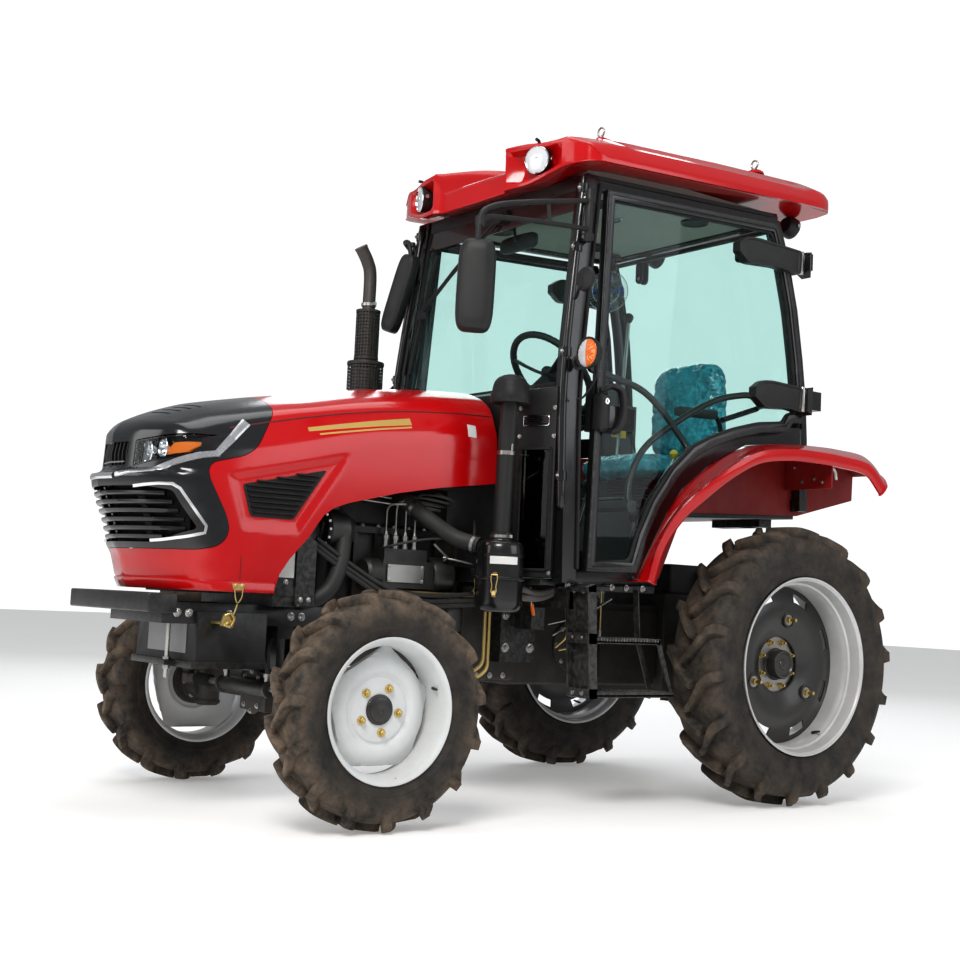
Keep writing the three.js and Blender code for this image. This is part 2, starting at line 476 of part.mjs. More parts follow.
// roof
{
  const TOP = [[690, 2372], [800, 2415], [950, 2462], [1150, 2494], [1500, 2528], [1900, 2548], [2060, 2535], [2150, 2480]];
  const EDGE = [[690, 2360], [800, 2398], [1024, 2424], [1500, 2452], [2060, 2478], [2150, 2440]];
  const BOT = [[690, 2288], [850, 2300], [1930, 2352], [2150, 2362]];
  const ring = y => {
    const t = lerp(TOP, y), e = lerp(EDGE, y), b = lerp(BOT, y);
    const h = [[0, t], [180, t - 3], [340, t - 14], [500, e], [570, e - 34], [602, b + 22], [596, b], [0, b]];
    const r = h.slice(0, -1).map(p => V(p[0], y, p[1]));
    r.push(V(0, y, b));
    for (let i = h.length - 2; i > 0; i--) r.push(V(-h[i][0], y, h[i][1]));
    return r;
  };
  const body = loft([690, 740, 800, 870, 950, 1050, 1150, 1300, 1500, 1700, 1900, 2000, 2060, 2110, 2150].map(ring));
  const plan = [[0, 730], [203, 730], [229, 702], [300, 722], [415, 800], [520, 832], [602, 880], [604, 1500], [596, 2060], [560, 2130], [480, 2150]];
  const poly = [...plan.slice().reverse().map(([x, y]) => [-x, y]).slice(0, -1), ...plan];
  const liner = prismX([[916, 2228], [1826, 2276], [1826, 2360], [916, 2320]], -462, 462);
  put('roof', body.intersect(prismZ(poly, 2200, 2700)).add(liner), 'red');
}

// ---------------------------------------------------------------- fenders
{
  const I = [[1125, 812], [1204, 945], [1275, 1060], [1352, 1157], [1505, 1268], [1690, 1355], [1850, 1376], [1992, 1384], [2126, 1386], [2290, 1374], [2390, 1308]];
  const O = [[625, 1128, 812], [640, 1160, 945], [684, 1210, 1062], [736, 1290, 1160], [768, 1395, 1245], [775, 1530, 1308], [775, 1700, 1334], [775, 1850, 1338], [775, 1990, 1334], [775, 2160, 1316], [775, 2262, 1240]];
  const n = I.length, rings = [];
  for (let i = 0; i < n; i++) {
    const a = Math.max(0, i - 1), b = Math.min(n - 1, i + 1);
    const ty = I[b][0] - I[a][0], tz = I[b][1] - I[a][1], L = Math.hypot(ty, tz);
    const ny = tz / L, nz = -ty / L; // towards the wheel
    const oty = O[b][1] - O[a][1], otz = O[b][2] - O[a][2], OL = Math.hypot(oty, otz);
    const oy = otz / OL, oz = -oty / OL;
    const [ox, py, pz] = O[i];
    rings.push([
      V(505, I[i][0], I[i][1]), V(580, I[i][0], I[i][1]), V(ox - 10, py - oy * 3, pz - oz * 3), V(ox, py + oy * 6, pz + oz * 6),
      V(ox, py + oy * 44, pz + oz * 44), V(ox - 9, py + oy * 44, pz + oz * 44),
      V(ox - 12, py + oy * 12, pz + oz * 12), V(580, I[i][0] + ny * 9, I[i][1] + nz * 9), V(505, I[i][0] + ny * 9, I[i][1] + nz * 9),
    ]);
  }
  const band = loft(rings);
  const wall = prismX([[1136, 814], [1290, 826], [1406, 1080], [2040, 1112], [2380, 1200], [2384, 1308], [2290, 1370], [2126, 1382], [1992, 1380], [1850, 1372], [1690, 1351], [1505, 1264], [1352, 1153], [1275, 1056], [1204, 941]], 499, 509);
  const f = band.add(wall).subtract(post(BY.map(([z, y]) => [z, y]), [1100, 1420, 1560], 53, 47, 30)).subtract(box(490, 512, 1998, 2042, 1120, 1180));
  put('fender_left', f, 'red');
  put('fender_right', mirrorX(f), 'red');
}
// ---------------------------------------------------------------- steps
{
  const st = join([
    prismX([[832, 778], [858, 400], [866, 396], [894, 398], [872, 790]], 520, 640),
    box(520, 636, 870, 1190, 590, 606), box(524, 640, 880, 1260, 404, 420), prismX([[1170, 604], [1188, 604], [1262, 406], [1244, 406]], 520, 640),
    box(300, 530, 846, 866, 700, 776),
  ]).subtract(box(530, 632, 820, 900, 430, 580)).subtract(box(530, 632, 800, 900, 620, 760));
  put('step_left', st, 'black');
  put('step_right', mirrorX(st), 'black');
}
// ---------------------------------------------------------------- seat and steering column
put('seat_base', join([box(-150, 150, 1540, 1840, 1114, 1150), box(-110, 110, 1570, 1810, 1145, 1235), box(-60, 60, 1800, 1908, 1200, 1235), box(-60, 60, 1872, 1908, 1230, 1343.5)]), 'plastic');
{
  const rr = (x, y0, y1, z0, z1, r) => {
    const ring = (y, k) => { const pts = []; for (const [cx, cz, a0] of [[x - r, z1 - r, 0], [-(x - r), z1 - r, 90], [-(x - r), z0 + r, 180], [x - r, z0 + r, 270]]) for (let a = 0; a <= 90; a += 30) { const t = (a0 + a) * Math.PI / 180; pts.push(V((cx + r * Math.cos(t)) * k, y, (cz + r * Math.sin(t) - (z0 + z1) / 2) * k + (z0 + z1) / 2)); } return pts; };
    return loft([ring(y0, 0.93), ring(y0 + 25, 1), ring(y1 - 25, 1), ring(y1, 0.93)]);
  };
  put('seat_cushion', rr(235, 1462, 1868, 1236, 1336, 36), 'seat');
  const b = rr(222, 1872, 1968, 1344, 1775, 60);
  put('seat_back', b, 'seat');
}
put('dashboard', join([box(-260, 260, 712.5, 800, 1180, 1428), bar([0, 790, 1120], [0, 985, 1380], [1, 0, 0], 150, 130), box(-75, 75, 712.5, 830, 808, 1180)]), 'plastic');
const COLD = V(0, 0.743, 0.669); // column direction, up towards the driver
const COL0 = V(0, 1155, 1620).sub(COLD.clone().multiplyScalar(156));
{
  const c0 = COL0.clone().sub(COLD.clone().multiplyScalar(170)), c1 = COL0.clone().add(COLD.clone().multiplyScalar(120));
  put('steering_column', rod([c0.toArray(), c1.toArray()], 24, 16).subtract(bar([0, 789, 1119], [0, 985.6, 1381], [1, 0, 0], 152, 132)).subtract(box(-260, 260, 700, 800.5, 1180, 1440)), 'black');
  const hubC = c1.clone().add(COLD.clone().multiplyScalar(22));
  const R = 190, torusPts = [];
  const e1 = V(1, 0, 0), e2 = COLD.clone().cross(e1);
  const g = new THREE.TorusGeometry(R, 14, 8, 32);
  const m = new THREE.Matrix4().makeBasis(e1, e2, COLD).setPosition(hubC.clone().add(COLD.clone().multiplyScalar(14)));
  g.applyMatrix4(m);
  let sw = S(g);
  const at = (a, r, h) => hubC.clone().add(e1.clone().multiplyScalar(r * Math.cos(a))).add(e2.clone().multiplyScalar(r * Math.sin(a))).add(COLD.clone().multiplyScalar(h)).toArray();
  for (const a of [Math.PI / 2, Math.PI * 7 / 6, Math.PI * 11 / 6]) sw = sw.add(rod([at(a, 0, 4), at(a, R, 14)], 9, 8));
  sw = sw.add(rod([hubC.clone().sub(COLD.clone().multiplyScalar(14)).toArray(), hubC.clone().add(COLD.clone().multiplyScalar(20)).toArray()], 34, 20));
  put('steering_wheel', sw, 'black');
}

// ---------------------------------------------------------------- air cleaner, exhaust, mirrors, lamps
put('air_cleaner', join([
  turnZ([[0, 678], [70, 678], [83, 700], [83, 905], [74, 928], [0, 928]], 440, 600, 32), box(151, 370, 582, 618, 780, 830), box(345, 368, 570, 630, 740, 870),
]), 'black');
put('intake_stack', join([
  rod([[440, 600, 930], [440, 606, 1200], [440, 614, 1418]], 31, 18), turnZ([[0, 1412], [68, 1412], [70, 1430], [64, 1470], [40, 1500], [0, 1506]], 440, 614, 28),
]), 'black');
put('exhaust_stack', join([
  rod([[-155, 380, 1000], [-260, 400, 1000], [-395, 460, 1060], [-420, 550, 1180], [-420, 550, 1545]], 26, 16),
  turnZ([[0, 1510], [72, 1510], [72, 1626], [0, 1626]], -420, 550, 28), turnZ([[0, 1620], [47, 1650], [47, 1835], [0, 1835]], -420, 550, 24),
  rod([[-420, 550, 1830], [-420, 550, 1975], [-420, 535, 2030], [-420, 500, 2085]], 26, 16),
]), 'black');
{
  const pad = (c, d, h, w, t) => { const D = V(...d).normalize(), H = V(...h).normalize(), N = D.clone().cross(H).normalize(); const C = V(...c); const ring = (s, k) => [[1, .8], [.8, 1], [-.8, 1], [-1, .8], [-1, -.8], [-.8, -1], [.8, -1], [1, -.8]].map(([i, j]) => C.clone().add(D.clone().multiplyScalar(i * w / 2 * k)).add(H.clone().multiplyScalar(j * t / 2 * k)).add(N.clone().multiplyScalar(s))); return loft([ring(-28, 0.9), ring(-12, 1), ring(22, 1), ring(28, 0.96)]); };
  const ml = join([
    rod([[562, 836, 2150], [640, 560, 2075], [735, 260, 1975], [748, 222, 1900], [750, 215, 1800]], 9, 8), rod([[562, 836, 2045], [640, 560, 2005], [738, 245, 1930], [748, 222, 1900]], 9, 8),
    rod([[562, 836, 2000], [562, 836, 2190]], 13, 10), box(532.6, 566, 830, 854, 2008, 2032), box(528.6, 566, 832, 858, 2148, 2172),
    pad([750, 215, 1712], [0.55, 0.83, 0], [0.03, 0, 1], 125, 300),
  ]);
  put('mirror_left', ml, 'plastic');
  const mr = join([
    rod([[-562, 836, 2150], [-562, 800, 2182], [-520, 792, 2172], [-497, 790, 2105]], 9, 8), rod([[-562, 836, 2045], [-548, 800, 2046], [-516, 768, 2030]], 9, 8),
    rod([[-562, 836, 2000], [-562, 836, 2190]], 13, 10), box(-566, -532.6, 830, 854, 2008, 2032), box(-566, -528.6, 832, 858, 2148, 2172),
    pad([-535, 745, 1955], [0.93, 0.36, 0], [0.25, 0.30, 1], 112, 340),
  ]);
  put('mirror_right', mr, 'plastic');
  const lamp = join([
    turnY([[738, 0], [738, 40], [748, 54], [772, 54], [790, 30], [790, 0]], 690, 1575, 24), rod([[690, 785, 1575], [640, 800, 1560], [562, 800, 1560]], 9, 8),
  ]);
  put('turn_lamp_left', lamp.subtract(post(AY, [790, 1430, 1620, 1970, 2262], 56.8, 62.8, 26)), 'amber');
  put('turn_lamp_right', mirrorX(lamp.subtract(post(AY, [790, 1430, 1620, 1970, 2262], 56.8, 62.8, 26))), 'amber');
}

// ---------------------------------------------------------------- rear hitch
put('drawbar', join([box(-40, 40, 1900, 2330, 330, 362).subtract(cylZ(0, 2290, 300, 400, 14, 20)), box(-90, 90, 1900, 1994, 330, 369.5), box(-60, 60, 2060, 2100, 330, 369)]), 'iron');
put('top_link', join([box(-60, 60, 1995.5, 2040, 820, 860), rod([[0, 2036, 840], [0, 2300, 900]], 14, 12), rod([[0, 2060, 845], [0, 2240, 886]], 22, 12), turnX([[-20, 0], [-20, 26], [20, 26], [20, 0]], 2310, 902, 20)]), 'black');
{
  const l = join([
    cylX(196, 226, 1965, 415, 34, 20), bar([211, 1965, 415], [300, 2560, 470], [0, 0, 1], 56, 18), cylX(284, 316, 2600, 472, 38, 24), bar([296, 2540, 469], [300, 2600, 472], [0, 0, 1], 50, 24),
  ]);
  put('lower_link_left', l, 'iron');
  put('lower_link_right', mirrorX(l), 'iron');
}

export default root;
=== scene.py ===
import math
import random

import bmesh
import bpy
import numpy as np
from mathutils import Matrix, Vector


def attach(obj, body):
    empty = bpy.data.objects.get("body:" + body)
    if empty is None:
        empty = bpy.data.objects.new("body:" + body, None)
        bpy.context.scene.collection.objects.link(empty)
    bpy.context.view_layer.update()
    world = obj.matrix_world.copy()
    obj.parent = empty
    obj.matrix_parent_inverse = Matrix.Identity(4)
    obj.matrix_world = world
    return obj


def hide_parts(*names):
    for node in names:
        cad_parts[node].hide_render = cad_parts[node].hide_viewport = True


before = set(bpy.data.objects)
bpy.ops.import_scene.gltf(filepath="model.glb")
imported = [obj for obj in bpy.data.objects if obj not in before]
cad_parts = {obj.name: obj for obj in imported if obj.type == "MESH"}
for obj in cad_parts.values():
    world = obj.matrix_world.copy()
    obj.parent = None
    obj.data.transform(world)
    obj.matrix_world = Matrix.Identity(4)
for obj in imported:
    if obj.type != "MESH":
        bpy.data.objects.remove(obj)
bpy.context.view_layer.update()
YS = 0.970  # the row frame starts this far behind the front axle; all numbers below count from the axle
random.seed(7)

# ------------------------------------------------------------------ camera, light, floor
cam_data = bpy.data.cameras.new("camera")
cam = bpy.data.objects.new("camera", cam_data)
bpy.context.scene.collection.objects.link(cam)
cam_data.lens = 54.41
cam_data.sensor_width = 36.0
cam_data.clip_start, cam_data.clip_end = 0.1, 100.0
R_ = Vector((0.60040048, 0.79836208, 0.04623045))
U_ = Vector((0.03867302, -0.08672861, 0.99548106))
D_ = Vector((-0.79876383, 0.59589943, 0.08294698))
m = Matrix.Identity(4)
for i, col in enumerate((R_, U_, -D_)):
    for j in range(3):
        m[j][i] = col[j]
m.translation = Vector((4.41143, -2.46481 - YS, 0.71399))
cam.matrix_world = m
bpy.context.scene.camera = cam


def area(name, loc, target, size, power, colour=(1, 1, 1), size_y=None):
    d = bpy.data.lights.new(name, "AREA")
    d.energy, d.color = power, colour
    d.size = size
    if size_y:
        d.shape = "RECTANGLE"
        d.size_y = size_y
    o = bpy.data.objects.new(name, d)
    bpy.context.scene.collection.objects.link(o)
    o.location = loc
    o.rotation_mode = "QUATERNION"
    o.rotation_quaternion = (Vector(target) - Vector(loc)).to_track_quat("-Z", "Y")
    return o


area("key", (4.5, -5.0, 6.2), (0.1, -0.2, 1.0), 3.0, 430, (1.0, 0.985, 0.96))
area("fill", (6.5, 3.5, 3.6), (0.2, 0.2, 0.9), 4.0, 95, (0.93, 0.96, 1.0))
area("front", (-1.5, -7.5, 3.0), (0, -0.8, 1.0), 3.5, 90, (1.0, 1.0, 1.0))
area("back", (-5.5, 4.0, 4.5), (0, 0, 1.0), 4.0, 120, (0.95, 0.97, 1.0))
area("top", (0.0, 0.3, 7.0), (0, 0.2, 0), 4.0, 90, (1, 1, 1))
world = bpy.data.worlds.new("world")
bpy.context.scene.world = world
world.use_nodes = True
nt = world.node_tree
bg = nt.nodes["Background"]
tc = nt.nodes.new("ShaderNodeTexCoord")
sp = nt.nodes.new("ShaderNodeSeparateXYZ")
cr = nt.nodes.new("ShaderNodeValToRGB")
cr.color_ramp.elements[0].position, cr.color_ramp.elements[0].color = 0.40, (0.78, 0.785, 0.79, 1)
cr.color_ramp.elements[1].position, cr.color_ramp.elements[1].color = 0.75, (0.95, 0.97, 1.0, 1)
mr = nt.nodes.new("ShaderNodeMapRange")
mr.inputs["From Min"].default_value = -1
mr.inputs["From Max"].default_value = 1
nt.links.new(tc.outputs["Generated"], sp.inputs[0])
nt.links.new(sp.outputs["Z"], mr.inputs["Value"])
nt.links.new(mr.outputs[0], cr.inputs[0])
nt.links.new(cr.outputs[0], bg.inputs["Color"])
bg.inputs["Strength"].default_value = 0.36
seen = nt.nodes.new("ShaderNodeBackground")
seen.inputs["Color"].default_value = (0.93, 0.935, 0.94, 1)
seen.inputs["Strength"].default_value = 0.95
lp = nt.nodes.new("ShaderNodeLightPath")
mx = nt.nodes.new("ShaderNodeMixShader")
nt.links.new(lp.outputs["Is Camera Ray"], mx.inputs[0])
nt.links.new(bg.outputs[0], mx.inputs[1])
nt.links.new(seen.outputs[0], mx.inputs[2])
nt.links.new(mx.outputs[0], nt.nodes["World Output"].inputs["Surface"])
bpy.context.scene.view_settings.view_transform = "Standard"
bpy.context.scene.view_settings.look = "Medium High Contrast"


# ------------------------------------------------------------------ materials
class Mat:
    """Builds one node material step by step; coordinates are the object's own."""

    def __init__(self, name):
        self.m = bpy.data.materials.new(name)
        self.m.use_nodes = True
        self.nt = self.m.node_tree
        self.b = self.nt.nodes["Principled BSDF"]
        self.out = self.nt.nodes["Material Output"]
        self.tc = self.nt.nodes.new("ShaderNodeTexCoord")
        self.obj = self.tc.outputs["Object"]

    def node(self, kind, **kw):
        n = self.nt.nodes.new("ShaderNode" + kind)
        for k, v in kw.items():
            if hasattr(n, k):
                setattr(n, k, v)
            else:
                n.inputs[k.replace("_", " ")].default_value = v
        return n

    def link(self, a, b):
        self.nt.links.new(a, b)
        return b

    def noise(self, scale, detail=4, rough=0.55, vec=None, dist=0.0):
        n = self.nt.nodes.new("ShaderNodeTexNoise")
        n.inputs["Scale"].default_value = scale
        n.inputs["Detail"].default_value = detail
        n.inputs["Roughness"].default_value = rough
        n.inputs["Distortion"].default_value = dist
        self.link(vec or self.obj, n.inputs["Vector"])
        return n.outputs["Fac"]

    def ramp(self, fac, *stops, mode="LINEAR"):
        n = self.nt.nodes.new("ShaderNodeValToRGB")
        n.color_ramp.interpolation = mode
        el = n.color_ramp.elements
        while len(el) > len(stops):
            el.remove(el[-1])
        while len(el) < len(stops):
            el.new(0.5)
        for e, (p, c) in zip(el, stops):
            e.position = p
            e.color = (c, c, c, 1) if isinstance(c, (int, float)) else (*c, 1)
        self.link(fac, n.inputs[0])
        return n.outputs[0]

    def mix(self, fac, a, b, mode="MIX"):
        n = self.nt.nodes.new("ShaderNodeMix")
        n.data_type = "RGBA"
        n.blend_type = mode
        for v, i in ((fac, 0), (a, 6), (b, 7)):
            if isinstance(v, (int, float)) and i == 0:
                n.inputs[0].default_value = v
            elif isinstance(v, (tuple, list)):
                n.inputs[i].default_value = (*v, 1)
            elif isinstance(v, (int, float)):
                n.inputs[i].default_value = (v, v, v, 1)
            else:
                self.link(v, n.inputs[i])
        return n.outputs[2]

    def math(self, op, a, b=0.0, c=None, clamp=False):
        n = self.nt.nodes.new("ShaderNodeMath")
        n.operation = op
        n.use_clamp = clamp
        for v, i in ((a, 0), (b, 1), (c, 2)):
            if v is None:
                continue
            if isinstance(v, (int, float)):
                n.inputs[i].default_value = v
            else:
                self.link(v, n.inputs[i])
        return n.outputs[0]

    def rangeof(self, v, a, b, c=0.0, d=1.0):
        n = self.nt.nodes.new("ShaderNodeMapRange")
        n.inputs["From Min"].default_value = a
        n.inputs["From Max"].default_value = b
        n.inputs["To Min"].default_value = c
        n.inputs["To Max"].default_value = d
        self.link(v, n.inputs["Value"])
        return n.outputs[0]

    def xyz(self, vec=None):
        n = self.nt.nodes.new("ShaderNodeSeparateXYZ")
        self.link(vec or self.obj, n.inputs[0])
        return n.outputs

    def up(self):
        """how far the surface faces up, 0 to 1"""
        g = self.nt.nodes.new("ShaderNodeNewGeometry")
        return self.xyz(g.outputs["Normal"])[2]

    def worn(self, lo=0.52, hi=0.62):
        """edges, from the mesh's own convexity, broken up by noise"""
        g = self.nt.nodes.new("ShaderNodeNewGeometry")
        p = self.rangeof(g.outputs["Pointiness"], lo, hi)
        n = self.ramp(self.noise(60, 3), (0.42, 0.0), (0.62, 1.0))
        return self.math("MULTIPLY", p, n, clamp=True)

    def bump(self, height, strength=0.2, dist=0.002, normal=None):
        n = self.nt.nodes.new("ShaderNodeBump")
        n.inputs["Strength"].default_value = strength
        n.inputs["Distance"].default_value = dist
        self.link(height, n.inputs["Height"])
        if normal is not None:
            self.link(normal, n.inputs["Normal"])
        self.link(n.outputs[0], self.b.inputs["Normal"])
        return n.outputs[0]

    def to(self, name, v):
        s = self.b.inputs[name]
        if isinstance(v, (int, float)):
            s.default_value = v
        elif isinstance(v, (tuple, list)):
            s.default_value = (*v, 1) if len(s.default_value) == 4 else v
        else:
            self.link(v, s)
        return self


MATS = {}


def coated(name, base, dark, dust, rough=(0.3, 0.45), dust_top=0.35, metal=0.0, coat=0.0, bump=0.05, bump_scale=260, worn=None, low=None, spec=0.5, scratch=0.0):
    """Paint or plastic: colour drift, dust on what faces up and in blotches, mud low down, worn edges."""
    q = Mat(name)
    c = q.mix(q.ramp(q.noise(2.3, 5), (0.35, 0.0), (0.68, 1.0)), dark, base)
    c = q.mix(q.math("MULTIPLY", q.ramp(q.noise(38, 4), (0.45, 0.0), (0.75, 1.0)), 0.25), c, dark)
    blot = q.ramp(q.noise(5.5, 7, 0.62), (0.40, 0.0), (0.72, 1.0))
    topf = q.rangeof(q.up(), 0.25, 0.95, 0.0, dust_top)
    d = q.math("ADD", q.math("MULTIPLY", blot, topf), q.math("MULTIPLY", q.ramp(q.noise(11, 8, 0.7), (0.56, 0.0), (0.85, dust_top)), 0.6), clamp=True)
    if low:
        z = q.rangeof(q.xyz()[2], low[0], low[1], low[2], 0.0)
        d = q.math("ADD", d, q.math("MULTIPLY", z, q.ramp(q.noise(7, 8, 0.7), (0.3, 0.2), (0.7, 1.0))), clamp=True)
    c = q.mix(d, c, dust)
    if worn:
        c = q.mix(q.math("MULTIPLY", q.worn(), worn[1]), c, worn[0])
    if scratch:
        v = q.node("Mapping")
        v.inputs["Scale"].default_value = (3, 40, 3)
        v.inputs["Rotation"].default_value = (0.3, 0.5, 0.9)
        q.link(q.obj, v.inputs[0])
        s = q.ramp(q.noise(9, 2, 0.4, v.outputs[0]), (0.70, 0.0), (0.74, scratch))
        c = q.mix(s, c, dust)
    q.to("Base Color", c)
    r = q.rangeof(q.noise(17, 6, 0.6), 0.3, 0.7, rough[0], rough[1])
    r = q.math("ADD", r, q.math("MULTIPLY", d, 0.45), clamp=True)
    q.to("Roughness", r)
    q.to("Metallic", metal)
    q.b.inputs["Specular IOR Level"].default_value = spec
    if coat:
        q.b.inputs["Coat Weight"].default_value = coat
        q.b.inputs["Coat Roughness"].default_value = 0.12
    if bump:
        q.bump(q.noise(bump_scale, 5, 0.6), bump, 0.002)
    MATS[name] = q.m
    return q


DUST = (0.36, 0.33, 0.29)
MUD = (0.30, 0.24, 0.18)
coated("red_paint", (0.47, 0.0035, 0.006), (0.41, 0.003, 0.005), (0.40, 0.045, 0.042), (0.12, 0.20), 0.05, coat=0.45, bump=0.02, bump_scale=180, low=(0.45, 0.95, 0.06), spec=0.35)
# red paint at half brightness for the fender's underside and inner arch: painted shade, with its own dust
coated("red_underside_shade", (0.24, 0.007, 0.006), (0.17, 0.006, 0.005), (0.28, 0.20, 0.17), (0.5, 0.7), 0.3, bump=0.08)
coated("grey_nose", (0.010, 0.0105, 0.012), (0.008, 0.0085, 0.0095), (0.08, 0.075, 0.07), (0.14, 0.24), 0.06, coat=0.4, bump=0.02, low=(0.6, 1.0, 0.06))
coated("black_gloss", (0.006, 0.006, 0.0065), (0.010, 0.010, 0.0105), (0.10, 0.095, 0.09), (0.16, 0.28), 0.12, coat=0.3, bump=0.03)
coated("black_paint", (0.009, 0.009, 0.0095), (0.015, 0.0145, 0.0145), (0.13, 0.12, 0.105), (0.28, 0.42), 0.18, bump=0.06, low=(0.30, 0.70, 0.10), worn=((0.10, 0.095, 0.09), 0.4))
coated("black_plastic", (0.013, 0.013, 0.0135), (0.019, 0.019, 0.019), (0.12, 0.115, 0.105), (0.40, 0.54), 0.18, bump=0.22, bump_scale=620, spec=0.4)
coated("cast_iron", (0.012, 0.012, 0.012), (0.020, 0.019, 0.017), (0.14, 0.12, 0.10), (0.40, 0.58), 0.28, bump=0.35, bump_scale=150, low=(0.3, 0.95, 0.40), spec=0.4)
coated("rubber_seal", (0.016, 0.016, 0.016), (0.026, 0.026, 0.026), (0.16, 0.15, 0.14), (0.6, 0.75), 0.3, bump=0.10, bump_scale=420, spec=0.3)
coated("rim_front", (0.66, 0.685, 0.70), (0.52, 0.53, 0.53), (0.42, 0.38, 0.32), (0.38, 0.55), 0.3, bump=0.10, bump_scale=200, low=(0.0, 0.8, 0.30), metal=0.0)
coated("rim_rear", (0.62, 0.63, 0.635), (0.48, 0.48, 0.475), (0.40, 0.36, 0.31), (0.32, 0.45), 0.3, bump=0.08, bump_scale=200, low=(0.0, 1.1, 0.25), metal=0.25)
coated("disc_black", (0.010, 0.010, 0.0105), (0.018, 0.0175, 0.017), (0.13, 0.115, 0.10), (0.25, 0.38), 0.15, bump=0.12, low=(0.0, 1.2, 0.22), coat=0.15)
coated("silver_trim", (0.62, 0.63, 0.64), (0.5, 0.51, 0.52), (0.4, 0.38, 0.35), (0.2, 0.32), 0.2, metal=0.9, bump=0.03, bump_scale=500)
coated("steel", (0.50, 0.50, 0.49), (0.34, 0.33, 0.31), (0.30, 0.25, 0.20), (0.25, 0.42), 0.3, metal=1.0, bump=0.10, bump_scale=300)
coated("brass_zinc", (0.66, 0.52, 0.22), (0.50, 0.38, 0.16), (0.33, 0.28, 0.20), (0.28, 0.45), 0.3, metal=0.95, bump=0.08, bump_scale=350)
coated("hot_steel", (0.115, 0.105, 0.10), (0.07, 0.065, 0.062), (0.26, 0.17, 0.11), (0.45, 0.62), 0.4, metal=0.7, bump=0.25, bump_scale=160)
coated("hose_rubber", (0.020, 0.020, 0.020), (0.032, 0.031, 0.030), (0.18, 0.165, 0.15), (0.55, 0.68), 0.35, bump=0.12, bump_scale=240)
coated("liner_grey", (0.34, 0.33, 0.29), (0.29, 0.28, 0.245), (0.22, 0.21, 0.19), (0.7, 0.85), 0.2, bump=0.3, bump_scale=480)
coated("dash_plastic", (0.040, 0.041, 0.043), (0.055, 0.055, 0.056), (0.2, 0.19, 0.18), (0.55, 0.7), 0.35, bump=0.25, bump_scale=560)
coated("vinyl_black", (0.022, 0.022, 0.023), (0.032, 0.032, 0.032), (0.15, 0.14, 0.13), (0.42, 0.55), 0.25, bump=0.3, bump_scale=420)
coated("label_white", (0.72, 0.72, 0.70), (0.62, 0.62, 0.60), (0.45, 0.42, 0.38), (0.4, 0.5), 0.2, bump=0.02)
coated("label_yellow", (0.75, 0.52, 0.05), (0.66, 0.45, 0.05), (0.45, 0.38, 0.25), (0.4, 0.5), 0.2, bump=0.02)
coated("fan_blue", (0.03, 0.12, 0.42), (0.025, 0.09, 0.32), (0.2, 0.22, 0.28), (0.3, 0.42), 0.25, bump=0.05, coat=0.2)
coated("amber", (0.80, 0.20, 0.015), (0.66, 0.14, 0.01), (0.5, 0.3, 0.15), (0.12, 0.2), 0.15, bump=0.0, coat=0.8)
coated("alloy", (0.075, 0.075, 0.073), (0.05, 0.05, 0.048), (0.16, 0.14, 0.12), (0.38, 0.55), 0.3, metal=0.75, bump=0.25, bump_scale=220)
coated("label_dark", (0.05, 0.05, 0.052), (0.04, 0.04, 0.04), (0.16, 0.15, 0.14), (0.3, 0.4), 0.2, bump=0.03)
coated("guard_black", (0.030, 0.029, 0.028), (0.05, 0.046, 0.042), (0.20, 0.16, 0.12), (0.4, 0.55), 0.3, metal=0.5, bump=0.15)
# near-black: soot, and painted shade where it stands for the exhaust's open bore
coated("soot_and_bore_shade", (0.006, 0.006, 0.006), (0.012, 0.011, 0.010), (0.03, 0.03, 0.03), (0.8, 0.9), 0.1, bump=0.3)
coated("hose_grey", (0.16, 0.155, 0.145), (0.11, 0.105, 0.10), (0.24, 0.22, 0.19), (0.5, 0.62), 0.3, bump=0.1, bump_scale=240)
coated("tread_steel", (0.035, 0.034, 0.033), (0.09, 0.085, 0.08), (0.26, 0.24, 0.21), (0.35, 0.5), 0.6, metal=0.4, bump=0.2, worn=((0.4, 0.39, 0.37), 0.5))
coated("plate_blank", (0.34, 0.34, 0.34), (0.28, 0.28, 0.28), (0.25, 0.23, 0.2), (0.3, 0.45), 0.3, metal=0.6, bump=0.05)
coated("red_lens", (0.50, 0.010, 0.008), (0.42, 0.008, 0.006), (0.4, 0.2, 0.18), (0.10, 0.18), 0.12, bump=0.0, coat=0.8)
coated("clear_lens", (0.62, 0.64, 0.66), (0.5, 0.52, 0.54), (0.45, 0.44, 0.42), (0.08, 0.16), 0.1, bump=0.0, coat=1.0)
coated("chrome", (0.82, 0.82, 0.83), (0.72, 0.72, 0.73), (0.5, 0.48, 0.45), (0.07, 0.16), 0.15, metal=1.0, bump=0.01)
coated("mirror_face", (0.86, 0.88, 0.9), (0.8, 0.82, 0.84), (0.5, 0.5, 0.5), (0.03, 0.07), 0.05, metal=1.0, bump=0.0)
coated("dark_band", (0.030, 0.018, 0.018), (0.024, 0.015, 0.015), (0.12, 0.10, 0.09), (0.12, 0.22), 0.1, bump=0.0, coat=0.4)
coated("beige_lip", (0.42, 0.37, 0.27), (0.34, 0.30, 0.22), (0.38, 0.35, 0.3), (0.3, 0.45), 0.25, metal=0.4, bump=0.03)


